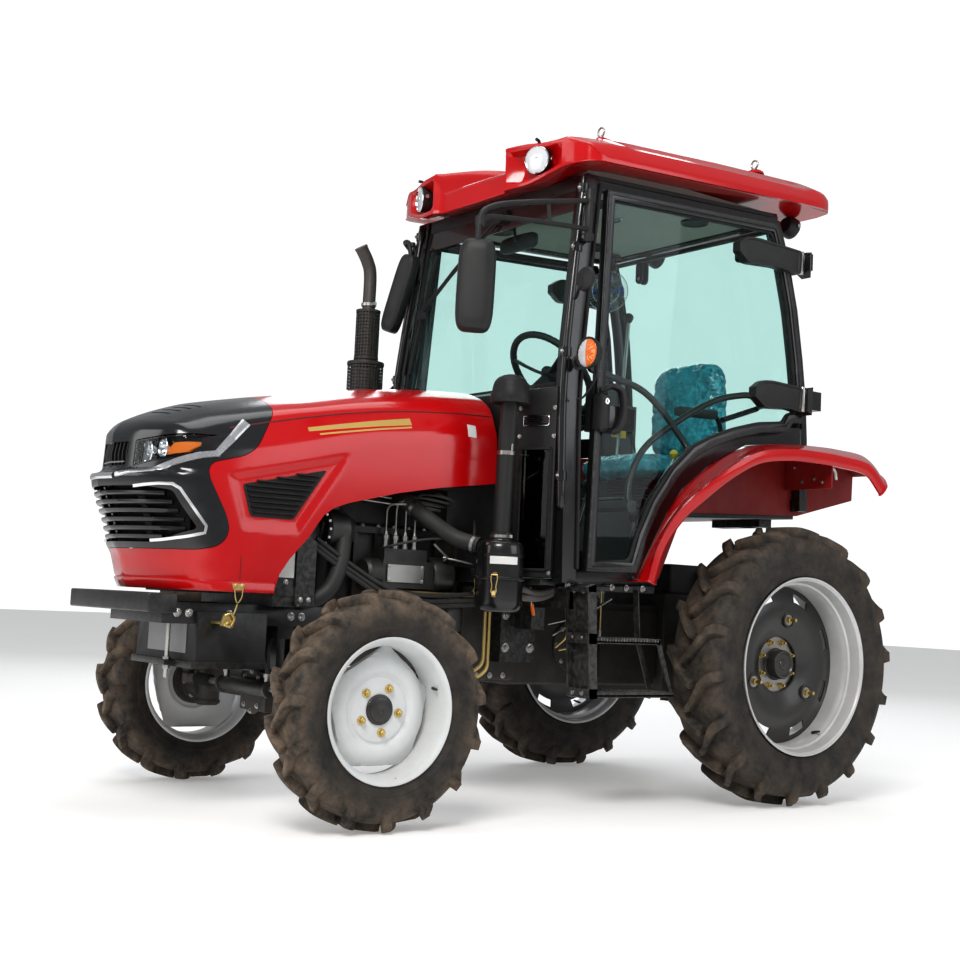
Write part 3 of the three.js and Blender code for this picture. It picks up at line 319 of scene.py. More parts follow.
def tyre_mat(name, y, z, r_in, r_out, mud):
    """Rubber with dust that gathers towards the tread; y, z is the wheel's own axle."""
    q = Mat(name)
    p = q.xyz()
    dy, dz = q.math("SUBTRACT", p[1], y - YS), q.math("SUBTRACT", p[2], z)
    rr = q.math("SQRT", q.math("ADD", q.math("MULTIPLY", dy, dy), q.math("MULTIPLY", dz, dz)))
    edge = q.rangeof(rr, r_in, r_out)
    c = q.mix(q.ramp(q.noise(9, 6), (0.35, 0.0), (0.7, 1.0)), (0.014, 0.0135, 0.013), (0.024, 0.023, 0.022))
    blot = q.ramp(q.noise(13, 8, 0.7), (0.36, 0.0), (0.66, 1.0))
    d = q.math("MULTIPLY", q.math("ADD", q.math("MULTIPLY", edge, mud), 0.16), blot, clamp=True)
    c = q.mix(d, c, (0.225, 0.165, 0.115))
    q.to("Base Color", c)
    q.to("Roughness", q.rangeof(q.noise(24, 5), 0.3, 0.7, 0.62, 0.82))
    q.b.inputs["Specular IOR Level"].default_value = 0.35
    rings = q.math("SINE", q.math("MULTIPLY", rr, 700.0))
    h = q.math("ADD", q.noise(210, 6, 0.65), q.math("MULTIPLY", rings, 0.05))
    q.bump(h, 0.4, 0.002)
    MATS[name] = q.m


tyre_mat("tyre_front", 0.0, 0.3675, 0.27, 0.385, 0.75)
tyre_mat("tyre_rear", 1.82, 0.525, 0.42, 0.545, 0.38)


def glass_mat(name, tint, rough=0.02, haze=0.05):
    """Thin pane: clear with a slight tint, a mirror at its surface, and a film of dust."""
    q = Mat(name)
    t = q.nt.nodes.new("ShaderNodeBsdfTransparent")
    t.inputs["Color"].default_value = (*tint, 1)
    g = q.nt.nodes.new("ShaderNodeBsdfGlossy")
    g.inputs["Color"].default_value = (1, 1, 1, 1)
    g.inputs["Roughness"].default_value = rough
    f = q.nt.nodes.new("ShaderNodeFresnel")
    f.inputs["IOR"].default_value = 1.45
    mx = q.nt.nodes.new("ShaderNodeMixShader")
    bk = q.nt.nodes.new("ShaderNodeNewGeometry")
    q.link(q.math("MULTIPLY", f.outputs[0], q.math("MULTIPLY", q.math("SUBTRACT", 1.0, bk.outputs["Backfacing"]), 0.4)), mx.inputs[0])
    q.link(t.outputs[0], mx.inputs[1])
    q.link(g.outputs[0], mx.inputs[2])
    d = q.b
    d.inputs["Base Color"].default_value = (0.42, 0.42, 0.40, 1)
    d.inputs["Roughness"].default_value = 0.7
    m2 = q.nt.nodes.new("ShaderNodeMixShader")
    fac = q.ramp(q.noise(3, 4, 0.5), (0.5, 0.0), (0.9, haze))
    q.link(fac, m2.inputs[0])
    q.link(mx.outputs[0], m2.inputs[1])
    q.link(d.outputs[0], m2.inputs[2])
    q.link(m2.outputs[0], q.out.inputs["Surface"])
    MATS[name] = q.m


glass_mat("cab_glass", (0.835, 0.93, 0.915), haze=0.02)
glass_mat("dark_glass", (0.12, 0.13, 0.13), 0.03, 0.06)
glass_mat("lamp_cover", (0.92, 0.94, 0.95), 0.02, 0.06)


# ------------------------------------------------------------------ mesh building
def vec(p):
    return Vector(p)


def lerp(tab, v):
    if v <= tab[0][0]:
        return tab[0][1]
    for (a, b), (c, d) in zip(tab, tab[1:]):
        if v <= c:
            return b + (d - b) * (v - a) / (c - a)
    return tab[-1][1]


def smooth_path(pts, n=8, closed=False):
    """Catmull-Rom through the points."""
    P = [Vector(p) for p in pts]
    out = []
    k = len(P)
    rng = range(k) if closed else range(k - 1)
    for i in rng:
        p0 = P[(i - 1) % k] if closed or i > 0 else P[0] * 2 - P[1]
        p1, p2 = P[i], P[(i + 1) % k]
        p3 = P[(i + 2) % k] if closed or i + 2 < k else P[-1] * 2 - P[-2]
        for j in range(n):
            t = j / n
            out.append(0.5 * ((2 * p1) + (p2 - p0) * t + (2 * p0 - 5 * p1 + 4 * p2 - p3) * t * t + (3 * p1 - p0 - 3 * p2 + p3) * t ** 3))
    if not closed:
        out.append(P[-1])
    return out


def fillet(pts, r, n=5):
    """Round the corners of a polyline of points."""
    P = [Vector(p) for p in pts]
    out = [P[0]]
    for a, b, c in zip(P, P[1:], P[2:]):
        u, w = (a - b), (c - b)
        d = min(r, u.length * 0.45, w.length * 0.45)
        s, e = b + u.normalized() * d, b + w.normalized() * d
        for j in range(n + 1):
            t = j / n
            out.append(s * (1 - t) ** 2 + b * 2 * t * (1 - t) + e * t * t)
    out.append(P[-1])
    return out


class Geo:
    """Collects closed shells in metres, then makes one object."""

    def __init__(self):
        self.v, self.f, self.mi = [], [], []

    def add(self, verts, faces, mat=0):
        o = len(self.v)
        self.v += [tuple(p) for p in verts]
        self.f += [tuple(i + o for i in f) for f in faces]
        self.mi += [mat] * len(faces)
        return self

    def merge(self, other, fn=None, mat=None):
        o = len(self.v)
        self.v += [tuple(fn(Vector(p))) if fn else p for p in other.v]
        self.f += [tuple(i + o for i in f) for f in other.f]
        self.mi += [m if mat is None else mat for m in other.mi]
        return self

    def mirrored(self):
        g = Geo()
        g.v = [(-x, y, z) for x, y, z in self.v]
        g.f = [tuple(reversed(f)) for f in self.f]
        g.mi = list(self.mi)
        return g

    def box(self, x0, x1, y0, y1, z0, z1, mat=0):
        x0, x1 = min(x0, x1), max(x0, x1)
        y0, y1 = min(y0, y1), max(y0, y1)
        v = [(x, y, z) for z in (z0, z1) for x, y in ((x0, y0), (x1, y0), (x1, y1), (x0, y1))]
        return self.add(v, [(3, 2, 1, 0), (4, 5, 6, 7), (0, 1, 5, 4), (1, 2, 6, 5), (2, 3, 7, 6), (3, 0, 4, 7)], mat)

    def rings(self, rings, mat=0, closed=False, caps=True):
        """Skin over rings of equal count, one shell."""
        n = len(rings[0])
        v = [p for r in rings for p in r]
        f = []
        k = len(rings)
        for i in range(k if closed else k - 1):
            a, b = i * n, ((i + 1) % k) * n
            for j in range(n):
                j2 = (j + 1) % n
                f.append((a + j, a + j2, b + j2, b + j))
        if caps and not closed:
            f.append(tuple(reversed(range(n))))
            f.append(tuple(range((k - 1) * n, k * n)))
        return self.add(v, f, mat)

    def prism(self, poly, axis, a, b, mat=0):
        """poly in the two other axes, in order (y,z) for x, (x,z) for y, (x,y) for z"""
        def P(u, w, t):
            return (t, u, w) if axis == "x" else (u, t, w) if axis == "y" else (u, w, t)
        return self.rings([[P(u, w, a) for u, w in poly], [P(u, w, b) for u, w in poly]], mat)

    def lathe(self, prof, axis, c, seg=48, mat=0, arc=None):
        """prof: (along, radius) closed loop or open between two axis points; c: the two other coordinates"""
        rings = []
        touch = prof[0][1] < 1e-9 and prof[-1][1] < 1e-9
        body = prof[1:-1] if touch else prof
        for k in range(seg):
            t = 2 * math.pi * k / seg
            row = []
            for a, r in body:
                p, q = r * math.cos(t), r * math.sin(t)
                row.append((a, c[0] + p, c[1] + q) if axis == "x" else (c[0] + q, a, c[1] + p) if axis == "y" else (c[0] + p, c[1] + q, a))
            rings.append(row)
        n = len(body)
        v = [p for r in rings for p in r]
        f = []
        for k in range(seg):
            a, b = k * n, ((k + 1) % seg) * n
            for j in range(n if not touch else n - 1):
                j2 = (j + 1) % n
                f.append((a + j, b + j, b + j2, a + j2))
        if touch:
            e0, e1 = len(v), len(v) + 1
            for (a, _), row in ((prof[0], 0), (prof[-1], n - 1)):
                v.append((a, c[0], c[1]) if axis == "x" else (c[0], a, c[1]) if axis == "y" else (c[0], c[1], a))
            for k in range(seg):
                a, b = k * n, ((k + 1) % seg) * n
                f.append((a, e0, b))
                f.append((b + n - 1, e1, a + n - 1))
        return self.add(v, f, mat)

    def tube(self, pts, r, seg=12, mat=0, flat=None, closed=False):
        """Round (or flat, with (w, h)) bar along points, r a number or a list."""
        P = [Vector(p) for p in pts]
        k = len(P)
        T = []
        for i in range(k):
            if closed:
                t = P[(i + 1) % k] - P[i - 1]
            else:
                t = P[min(i + 1, k - 1)] - P[max(i - 1, 0)]
            T.append(t.normalized())
        h = Vector((0, 0, 1)) if abs(T[0].z) < 0.9 else Vector((0, 1, 0))
        u = (h - T[0] * h.dot(T[0])).normalized()
        rings = []
        for i in range(k):
            u = (u - T[i] * u.dot(T[i])).normalized()
            w = T[i].cross(u)
            ri = r[i] if isinstance(r, (list, tuple)) else r
            ring = []
            for j in range(seg):
                a = 2 * math.pi * j / seg
                if flat:
                    ca, sa = math.cos(a), math.sin(a)
                    ex = 0.35
                    x = math.copysign(abs(ca) ** ex, ca) * flat[0] / 2
                    y = math.copysign(abs(sa) ** ex, sa) * flat[1] / 2
                    ring.append(P[i] + u * y + w * x)
                else:
                    ring.append(P[i] + u * (ri * math.cos(a)) + w * (ri * math.sin(a)))
            rings.append(ring)
        return self.rings(rings, mat, closed=closed)

    def bolt(self, p, n, r, h, mat=0, washer=True):
        """Hexagon head on a washer, p on the face, n outwards."""
        n = Vector(n).normalized()
        a = n.orthogonal().normalized()
        b = n.cross(a)
        p = Vector(p)

        def ring(rad, t, k, ph=0.0):
            return [p + n * t + a * (rad * math.cos(2 * math.pi * i / k + ph)) + b * (rad * math.sin(2 * math.pi * i / k + ph)) for i in range(k)]
        if washer:
            self.rings([ring(r * 1.35, -0.001, 16), ring(r * 1.35, h * 0.22, 16), ring(r * 1.25, h * 0.28, 16)], mat)
        t0 = h * 0.2 if washer else -0.001
        self.rings([ring(r, t0, 6), ring(r, h * 0.88, 6), ring(r * 0.86, h, 6)], mat)
        self.rings([ring(r * 0.5, h * 0.9, 12), ring(r * 0.5, h * 1.25, 12), ring(r * 0.4, h * 1.35, 12)], mat)
        return self

    def disc(self, p, n, r, h, seg=24, mat=0, chamf=0.0):
        n = Vector(n).normalized()
        a = n.orthogonal().normalized()
        b = n.cross(a)
        p = Vector(p)

        def ring(rad, t):
            return [p + n * t + a * (rad * math.cos(2 * math.pi * i / seg)) + b * (rad * math.sin(2 * math.pi * i / seg)) for i in range(seg)]
        rs = [ring(r, 0), ring(r, h - chamf)] + ([ring(r - chamf, h)] if chamf else [])
        if not chamf:
            rs = [ring(r, 0), ring(r, h)]
        return self.rings(rs, mat)

    def make(self, name, mats, body, replaces=(), slot=None, angle=32, bevel=0.0, bseg=2, blimit=40, weld=True, subsurf=0, doc=None):
        me = bpy.data.meshes.new(name)
        me.from_pydata([(x, y - YS, z) for x, y, z in self.v], [], self.f)
        for k in ([mats] if isinstance(mats, str) else mats):
            me.materials.append(MATS[k])
        me.polygons.foreach_set("material_index", np.array(self.mi, np.int32))
        bm = bmesh.new()
        bm.from_mesh(me)
        if weld:
            bmesh.ops.remove_doubles(bm, verts=bm.verts, dist=1e-6)
        bmesh.ops.recalc_face_normals(bm, faces=bm.faces)
        if bevel:
            edges = [e for e in bm.edges if len(e.link_faces) == 2 and e.calc_face_angle(0) > math.radians(blimit)]
            bmesh.ops.bevel(bm, geom=edges, offset=bevel, offset_type="OFFSET", segments=bseg, profile=0.5, affect="EDGES", clamp_overlap=True)
        for f in bm.faces:
            f.smooth = True
        for e in bm.edges:
            e.smooth = not (len(e.link_faces) == 2 and e.calc_face_angle(0) > math.radians(angle))
        bm.to_mesh(me)
        bm.free()
        o = bpy.data.objects.new(name, me)
        bpy.context.scene.collection.objects.link(o)
        if subsurf:
            md = o.modifiers.new("sub", "SUBSURF")
            md.levels = md.render_levels = subsurf
        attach(o, body)
        if replaces:
            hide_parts(*([replaces] if isinstance(replaces, str) else replaces))
        return o


def both(build, name, mats, bodies, replaces=(), **kw):
    """Left piece and its mirror image; '{}' in names becomes left or right."""
    g = build if isinstance(build, Geo) else build()
    out = []
    for side, geo, body in (("left", g, bodies[0]), ("right", g.mirrored(), bodies[1])):
        rep = [r.format(side) for r in ([replaces] if isinstance(replaces, str) else replaces)]
        out.append(geo.make(name.format(side), mats, body, replaces=rep, **kw))
    return out


def edged(node, name, mat, body, bevel=0.002, bseg=2, angle=32, blimit=30, extra=None):
    """A machined copy of a CAD node: coplanar triangles merged and the edges broken."""
    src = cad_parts[node]
    me = src.data.copy()
    me.materials.clear()
    me.materials.append(MATS[mat])
    bm = bmesh.new()
    bm.from_mesh(me)
    bmesh.ops.remove_doubles(bm, verts=bm.verts, dist=1e-5)
    bmesh.ops.dissolve_limit(bm, angle_limit=math.radians(1.0), verts=bm.verts, edges=bm.edges)
    bmesh.ops.recalc_face_normals(bm, faces=bm.faces)
    if bevel:
        edges = [e for e in bm.edges if len(e.link_faces) == 2 and e.calc_face_angle(0) > math.radians(blimit)]
        bmesh.ops.bevel(bm, geom=edges, offset=bevel, offset_type="OFFSET", segments=bseg, profile=0.5, affect="EDGES", clamp_overlap=True)
    for f in bm.faces:
        f.smooth = True
        f.material_index = 0
    for e in bm.edges:
        e.smooth = not (len(e.link_faces) == 2 and e.calc_face_angle(0) > math.radians(angle))
    bm.to_mesh(me)
    bm.free()
    o = bpy.data.objects.new(name, me)
    bpy.context.scene.collection.objects.link(o)
    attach(o, body)
    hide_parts(node)
    return o


def paint(node, mat, angle=32):
    """A CAD node that stays, with a finished material."""
    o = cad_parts[node]
    o.data.materials.clear()
    o.data.materials.append(MATS[mat])


# ------------------------------------------------------------------ wheels
def tyre_geo(cx, cy, cz, base, stations, n, seg, ridges=()):
    """Carcass from a profile (offset from the middle, radius) plus n lugs a side, in a V that points forward at the top."""
    g = Geo()
    prof = [(cx + a, r) for a, r in base]
    g.lathe(prof, "x", (cy, cz), seg)
    R = stations[0][1]
    for side in (1, -1):
        for k in range(n):
            ph0 = 2 * math.pi * (k + (0.25 if side > 0 else 0.75)) / n
            rings = []
            for xt, rt, xb, rb, s, wt, wb in stations:
                ring = []
                for (x, r, w) in ((xb, rb, -wb), (xt, rt, -wt), (xt, rt, wt), (xb, rb, wb)):
                    a = ph0 + (s + w) / R
                    ring.append((cx + side * x, cy + r * math.cos(a), cz + r * math.sin(a)))
                rings.append(ring)
            g.rings(rings)
    return g


F_BASE_OUT = [(0, .3405), (.030, .3402), (.052, .338), (.068, .332), (.079, .322), (.0845, .308), (.0865, .297), (.0862, .2955), (.0868, .294), (.0862, .286), (.083, .270), (.0775, .256), (.0785, .2535), (.0765, .250), (.072, .241), (.068, .232), (.0668, .225), (.0664, .2135)]
F_BASE = F_BASE_OUT + [(.045, .2075), (-.045, .2075)] + [(-a, r) for a, r in reversed(F_BASE_OUT[1:])]
F_ST = [(-.014, .3672, -.016, .338, .083, .008, .014), (-.004, .3675, -.006, .338, .078, .0105, .019), (.014, .3675, .012, .338, .061, .0115, .019), (.030, .3675, .029, .338, .042, .0125, .020),
        (.043, .3670, .043, .337, .024, .0135, .021), (.055, .3640, .054, .335, .011, .0145, .022), (.067, .3600, .064, .330, .004, .0150, .023), (.078, .3545, .072, .322, .000, .0150, .023),
        (.0855, .3450, .078, .314, -.001, .0145, .023), (.0880, .3330, .081, .308, -.002, .0140, .022), (.0883, .3120, .082, .300, -.003, .0135, .021)]
front_tyre = tyre_geo(.643, 0, .3675, F_BASE, F_ST, 15, 96)
both(front_tyre, "tyre_front_{}", "tyre_front", ("front_wheel_left", "front_wheel_right"), "front_tyre_{}", slot="tyre_rubber", bevel=.0012, bseg=2, blimit=38)
R_BASE_OUT = [(0, .4915), (.050, .491), (.084, .488), (.102, .480), (.114, .467), (.1205, .452), (.1235, .437), (.1232, .4345), (.1242, .432), (.124, .418), (.1215, .398), (.1165, .378), (.1180, .375), (.1150, .370), (.113, .358), (.1105, .348), (.1105, .338)]
R_BASE = R_BASE_OUT + [(.080, .314), (-.080, .314)] + [(-a, r) for a, r in reversed(R_BASE_OUT[1:])]
R_ST = [(-.020, .5247, -.024, .488, .128, .010, .018), (-.006, .525, -.010, .488, .120, .0135, .024), (.018, .525, .015, .488, .096, .0145, .024), (.040, .525, .038, .488, .068, .0155, .025),
        (.060, .525, .059, .487, .040, .0165, .026), (.078, .5195, .076, .485, .019, .0175, .027), (.095, .5130, .092, .480, .007, .0180, .028), (.112, .5060, .104, .470, .001, .0180, .028),
        (.1220, .4930, .112, .458, -.001, .0175, .028), (.1262, .4780, .116, .448, -.002, .0170, .027), (.1268, .4520, .118, .436, -.003, .0165, .026)]
rear_tyre = tyre_geo(.650, 1.82, .525, R_BASE, R_ST, 18, 112)
both(rear_tyre, "tyre_rear_{}", "tyre_rear", ("rear_wheel_left", "rear_wheel_right"), "rear_tyre_{}", slot="tyre_rubber", bevel=.0016, bseg=2, blimit=38)


def polar_disc(g, cx, cy, cz, prof, rout, seg=96, mat=0, thick=.004):
    """Pressed disc: prof is (x, radius share 0..1 from r_in to r_out), with an outer radius by angle."""
    rings = []
    r_in = prof[0][1]
    for k in range(seg):
        a = 2 * math.pi * k / seg
        ro = rout(a)
        row = []
        for x, r in prof:
            rr = min(r, ro)
            row.append((cx + x, cy + rr * math.cos(a), cz + rr * math.sin(a)))
        for x, r in reversed(prof):
            rr = min(r, ro)
            row.append((cx + x - thick, cy + rr * math.cos(a), cz + rr * math.sin(a)))
        rings.append(row)
    g.rings(rings, mat, closed=True)


def front_rim():
    g = Geo()
    c, cy, cz = .643, 0.0, .3675
    barrel = [(-.0725, .2245), (-.0745, .221), (-.0735, .2165), (-.069, .2125), (-.066, .2100), (-.046, .2045), (-.040, .1975), (.030, .1960), (.040, .2005), (.062, .2065), (.0675, .2110), (.0715, .2150), (.0735, .2185), (.0745, .2225), (.0730, .2250),
              (.0700, .2252), (.0690, .2235), (.0690, .2140), (.0650, .2120), (.045, .2058), (-.045, .2058), (-.0650, .2120), (-.0690, .2140), (-.0695, .2240)]
    g.lathe([(c + a, r) for a, r in barrel], "x", (cy, cz), 96, 0)
    cuts = [math.radians(a) for a in (120, 195, 270, 345, 48)]
    depth = [.158, .158, .172, .176, .174]

    def rout(a):
        r = .1965
        for c0, d in zip(cuts, depth):
            co = math.cos(a - c0)
            if co > 0.3:
                r = min(r, d / co)
        return r
    prof = [(.0015, .046), (.002, .050), (.002, .094), (.0005, .099), (-.0035, .104), (-.0035, .109), (.0015, .116), (.0040, .124), (.0035, .136), (.0005, .150), (-.0055, .163), (-.0130, .175), (-.0215, .186), (-.024, .1965)]
    polar_disc(g, c, cy, cz, prof, rout, 128, 0, .0045)
    # hub face, cap and bolts
    g.lathe([(.615, 0), (.615, .086), (.6385, .086), (.6400, .082), (.6400, 0)], "x", (cy, cz), 48, 1)
    g.lathe([(.639, 0), (.639, .0475), (.650, .0470), (.652, .0450), (.653, .040), (.656, .038), (.6575, .034), (.658, .010), (.6565, .006), (.656, 0)], "x", (cy, cz), 48, 2)
    for k in range(5):
        a = math.radians(63 + 72 * k)
        p = (c + .002, cy + .071 * math.cos(a), cz + .071 * math.sin(a))
        g.lathe([(c + .0015, 0), (c + .0015, .0145), (c + .0045, .0140), (c + .006, .0115), (c + .006, 0)], "x", (p[1], p[2]), 20, 3)
        g.bolt((c + .005, p[1], p[2]), (1, 0, 0), .0098, .013, 3, washer=False)
    # valve stem
    a = math.radians(20)
    vy, vz = cy + .1965 * math.cos(a), cz + .1965 * math.sin(a)
    g.tube([(c + .020, vy, vz), (c + .033, vy - .004 * math.cos(a), vz - .004 * math.sin(a)), (c + .052, vy - .007 * math.cos(a), vz - .007 * math.sin(a))], [.0055, .0045, .0038], 10, 2)
    for k in range(3):
        b = math.radians(100 + 90 * k)
        g.disc((c + .058, cy + .206 * math.cos(b), cz + .206 * math.sin(b)), (-math.tan(.2) * 0 + .35, -math.cos(b), -math.sin(b)), .0025, .001, 8, 2)
    return g


both(front_rim, "rim_front_{}", ["rim_front", "cast_iron", "disc_black", "brass_zinc"], ("front_wheel_left", "front_wheel_right"), "front_rim_{}", slot="rim_white", angle=28)


def rear_rim():
    g = Geo()
    c, cy, cz = .650, 1.82, .525
    barrel = [(-.1185, .3335), (-.1200, .330), (-.1190, .3245), (-.112, .3195), (-.100, .3165), (-.086, .3150), (-.080, .3020), (-.060, .2990), (.030, .2990), (.052, .3010), (.058, .3045), (.066, .3055), (.072, .3140), (.078, .3165), (.098, .3175), (.1060, .3200), (.1120, .3235), (.1170, .3265), (.1195, .3300), (.1190, .3340),
              (.1150, .3345), (.1130, .3320), (.1130, .3245), (.1110, .3210), (.078, .3125), (-.078, .3125), (-.1110, .3210), (-.1130, .3245), (-.1145, .3335)]
    g.lathe([(c + a, r) for a, r in barrel], "x", (cy, cz), 120, 0)
    # pressed disc with edge slots: built as a grid over angle with the slots left out, closed by its own walls
    prof = [(-.0230, .106), (-.0205, .109), (-.0185, .114), (-.0120, .128), (-.0030, .150), (.0040, .178), (.0060, .205), (.0045, .230), (.0000, .246), (-.0060, .262), (-.0110, .278), (-.0140, .298)]
    seg = 160
    th = .006
    slot_at = [math.radians(112 + 45 * k) for k in range(8)]

    def in_slot(a, i):
        r = (prof[i][1] + prof[i + 1][1]) / 2
        if not .250 < r < .272:
            return False
        return any(abs((a - s + math.pi) % (2 * math.pi) - math.pi) * r < .040 for s in slot_at)
    idx = {}
    verts, faces = [], []

    def vert(k, i, back):
        key = (k % seg, i, back)
        if key not in idx:
            a = 2 * math.pi * key[0] / seg
            x, r = prof[i]
            idx[key] = len(verts)
            verts.append((c + x - (th if back else 0), cy + r * math.cos(a), cz + r * math.sin(a)))
        return idx[key]
    cell = {}
    for k in range(seg):
        a = 2 * math.pi * (k + .5) / seg
        for i in range(len(prof) - 1):
            cell[k, i] = not in_slot(a, i)
    n = len(prof) - 1
    for (k, i), solid in cell.items():
        if not solid:
            continue
        f = (vert(k, i, 0), vert(k, i + 1, 0), vert(k + 1, i + 1, 0), vert(k + 1, i, 0))
        b = (vert(k, i, 1), vert(k + 1, i, 1), vert(k + 1, i + 1, 1), vert(k, i + 1, 1))
        faces += [f, b]
        for dk, di, e in ((-1, 0, ((k, i), (k, i + 1))), (1, 0, ((k + 1, i + 1), (k + 1, i))), (0, -1, ((k + 1, i), (k, i))), (0, 1, ((k, i + 1), (k + 1, i + 1)))):
            nb = ((k + dk) % seg, i + di)
            if not (0 <= i + di < n) or not cell[nb]:
                (k0, i0), (k1, i1) = e
                faces.append((vert(k0, i0, 0), vert(k0, i0, 1), vert(k1, i1, 1), vert(k1, i1, 0)))
    g.add(verts, faces, 1)
    # raised bosses with studs
    for k, a in enumerate((82, 202, 322)):
        a = math.radians(a)
        y, z = cy + .172 * math.cos(a), cz + .172 * math.sin(a)
        g.lathe([(c - .002, .0), (c - .002, .030), (c + .0075, .030), (c + .0085, .028), (c + .0045, .024), (c + .0040, 0)], "x", (y, z), 32, 1)
        g.lathe([(c + .0035, 0), (c + .0035, .0205), (c + .0055, .0205), (c + .0055, 0)], "x", (y, z), 28, 3)
        g.bolt((c + .0055, y, z), (1, 0, 0), .0125, .013, 4, washer=False)
        g.tube([(c + .014, y, z), (c + .043, y, z)], .0068, 14, 4)
    # flange, hub and its bolts
    g.lathe([(.585, 0), (.585, .118), (.612, .118), (.6145, .1155), (.6145, .064), (.6145, 0)], "x", (cy, cz), 64, 3)
    g.lathe([(.612, 0), (.612, .062), (.617, .0615), (.620, .058), (.655, .055), (.660, .052), (.661, .046), (.656, .042), (.656, .020), (.659, .018), (.660, .008), (.657, .005), (.656, 0)], "x", (cy, cz), 48, 1)
    for k in range(8):
        a = math.radians(22.5 + 45 * k)
        y, z = cy + .088 * math.cos(a), cz + .088 * math.sin(a)
        g.bolt((.6145, y, z), (1, 0, 0), .0095, .012, 4)
        g.tube([(.625, y, z), (.637, y, z)], .005, 12, 4)
    a = math.radians(300)
    vy, vz = cy + .297 * math.cos(a), cz + .297 * math.sin(a)
    g.tube([(c + .030, vy, vz), (c + .048, vy - .006 * math.cos(a), vz - .006 * math.sin(a)), (c + .070, vy - .010 * math.cos(a), vz - .010 * math.sin(a))], [.006, .005, .004], 10, 2)
    return g


both(rear_rim, "rim_rear_{}", ["rim_rear", "disc_black", "rubber_seal", "steel", "brass_zinc"], ("rear_wheel_left", "rear_wheel_right"), "rear_rim_{}", slot="rim_silver", angle=28)


# ------------------------------------------------------------------ hood and nose: one smooth form, then cut into its mouldings
CROWN = [(-.700, 1.165), (-.670, 1.192), (-.640, 1.222), (-.594, 1.250), (-.526, 1.280), (-.423, 1.316), (-.315, 1.340), (-.168, 1.370), (-.053, 1.390), (.105, 1.424), (.270, 1.451), (.441, 1.472), (.620, 1.485), (.720, 1.488)]
CREASE = [(-.700, 1.120), (-.620, 1.168), (-.500, 1.200), (-.380, 1.238), (-.261, 1.267), (-.123, 1.299), (.029, 1.330), (.186, 1.356), (.350, 1.375), (.522, 1.388), (.720, 1.394)]
SHOULDER = [(-.700, 1.040), (-.466, 1.100), (-.213, 1.159), (-.140, 1.176), (.008, 1.218), (.163, 1.251), (.400, 1.275), (.720, 1.285)]
SETBACK = [(.400, .136), (.701, .136), (.753, .107), (.812, .089), (.839, .071), (.936, .038), (.967, .021), (1.031, .000), (1.054, -.004), (1.064, -.001), (1.078, .034), (1.200, .042), (1.320, .090), (1.700, .240)]
PLAN = [(0, -.688), (.060, -.680), (.120, -.662), (.185, -.628), (.240, -.584), (.278, -.535), (.300, -.480), (.312, -.420), (.318, -.340), (.3181, .9)]
LOWER = [(.664, 1.132), (.420, 1.097), (.256, 1.066), (.060, 1.017), (.003, .996), (-.033, .970), (-.058, .936), (-.085, .895), (-.120, .857), (-.154, .817), (-.187, .767), (-.205, .706)]
ZC = 1.0
VENT = [(-.333, 1.047), (-.029, 1.118), (-.145, .946), (-.300, .946)]


def table(tab, v, soften=0.0):
    xs, ys = np.array([a for a, _ in tab]), np.array([b for _, b in tab])
    if not soften:
        return np.interp(v, xs, ys)
    return (np.interp(v - soften, xs, ys) + 2 * np.interp(v, xs, ys) + np.interp(v + soften, xs, ys)) / 4


def smax(a, b, k):
    h = np.maximum(k - np.abs(a - b), 0) / k
    return np.maximum(a, b) + h * h * k * 0.25


def section(y):
    t, c, s = table(CROWN, y, .03), table(CREASE, y, .03), table(SHOULDER, y, .03)
    return [(0 * t, t), (0 * t + .090, t - .006), (0 * t + .175, t - .028), (0 * t + .238, c + (t - c) * .36), (0 * t + .270, c), (0 * t + .296, (c + s) / 2), (0 * t + .318, s), (0 * t + .318, s - .09), (0 * t + .314, 0 * t + .55)]


def form(p):
    """Signed height over the hood's skin, negative inside."""
    x, y, z = np.abs(p[..., 0]), p[..., 1], p[..., 2]
    pts = section(y)
    a = None
    for i, ((x0, z0), (x1, z1)) in enumerate(zip(pts, pts[1:])):
        dx, dz = x1 - x0, z1 - z0
        L = np.sqrt(dx * dx + dz * dz)
        nx, nz = -dz / L, dx / L
        d = (x - x0) * nx + (z - z0) * nz
        a = d if a is None else smax(a, d, .010 if i in (4, 6) else .016)
    s = table(SETBACK, z)
    yp = np.where(y > -.3, y, (y + .3 * s / .385) / (1 - s / .385))
    yp = np.where(yp < -.685, y - s, yp)
    b = None
    for (x0, y0), (x1, y1) in zip(PLAN, PLAN[1:]):
        dx, dy = x1 - x0, y1 - y0
        L = math.hypot(dx, dy)
        d = (x - x0) * dy / L - (yp - y0) * dx / L
        b = d if b is None else smax(b, d, .012)
    # pressed recess round each side vent
    vy, vz = (-.2, 1.02)
    d = None
    for (y0, z0), (y1, z1) in zip(VENT, VENT[1:] + VENT[:1]):
        dy, dz = y1 - y0, z1 - z0
        L = math.hypot(dy, dz)
        e = (y - y0) * -dz / L + (z - z0) * dy / L
        d = e if d is None else np.maximum(d, e)
    k = np.clip((.040 - d) / .022, 0, 1)
    a = a + .0085 * k * k * (3 - 2 * k) * np.clip((x - .25) / .03, 0, 1)
    return smax(smax(a, b, .022), .60 - z, .004)


def hit(o, d, level=0.0, far=1.2, n=26):
    """Where rays leave the form grown by -level: o, d arrays."""
    o, d = np.asarray(o, float), np.asarray(d, float)
    lo, hi = np.zeros(d.shape[:-1]), np.full(d.shape[:-1], far)
    for _ in range(n):
        mid = (lo + hi) / 2
        inside = form(o + d * mid[..., None]) < level
        lo, hi = np.where(inside, mid, lo), np.where(inside, hi, mid)
    return o + d * ((lo + hi) / 2)[..., None]


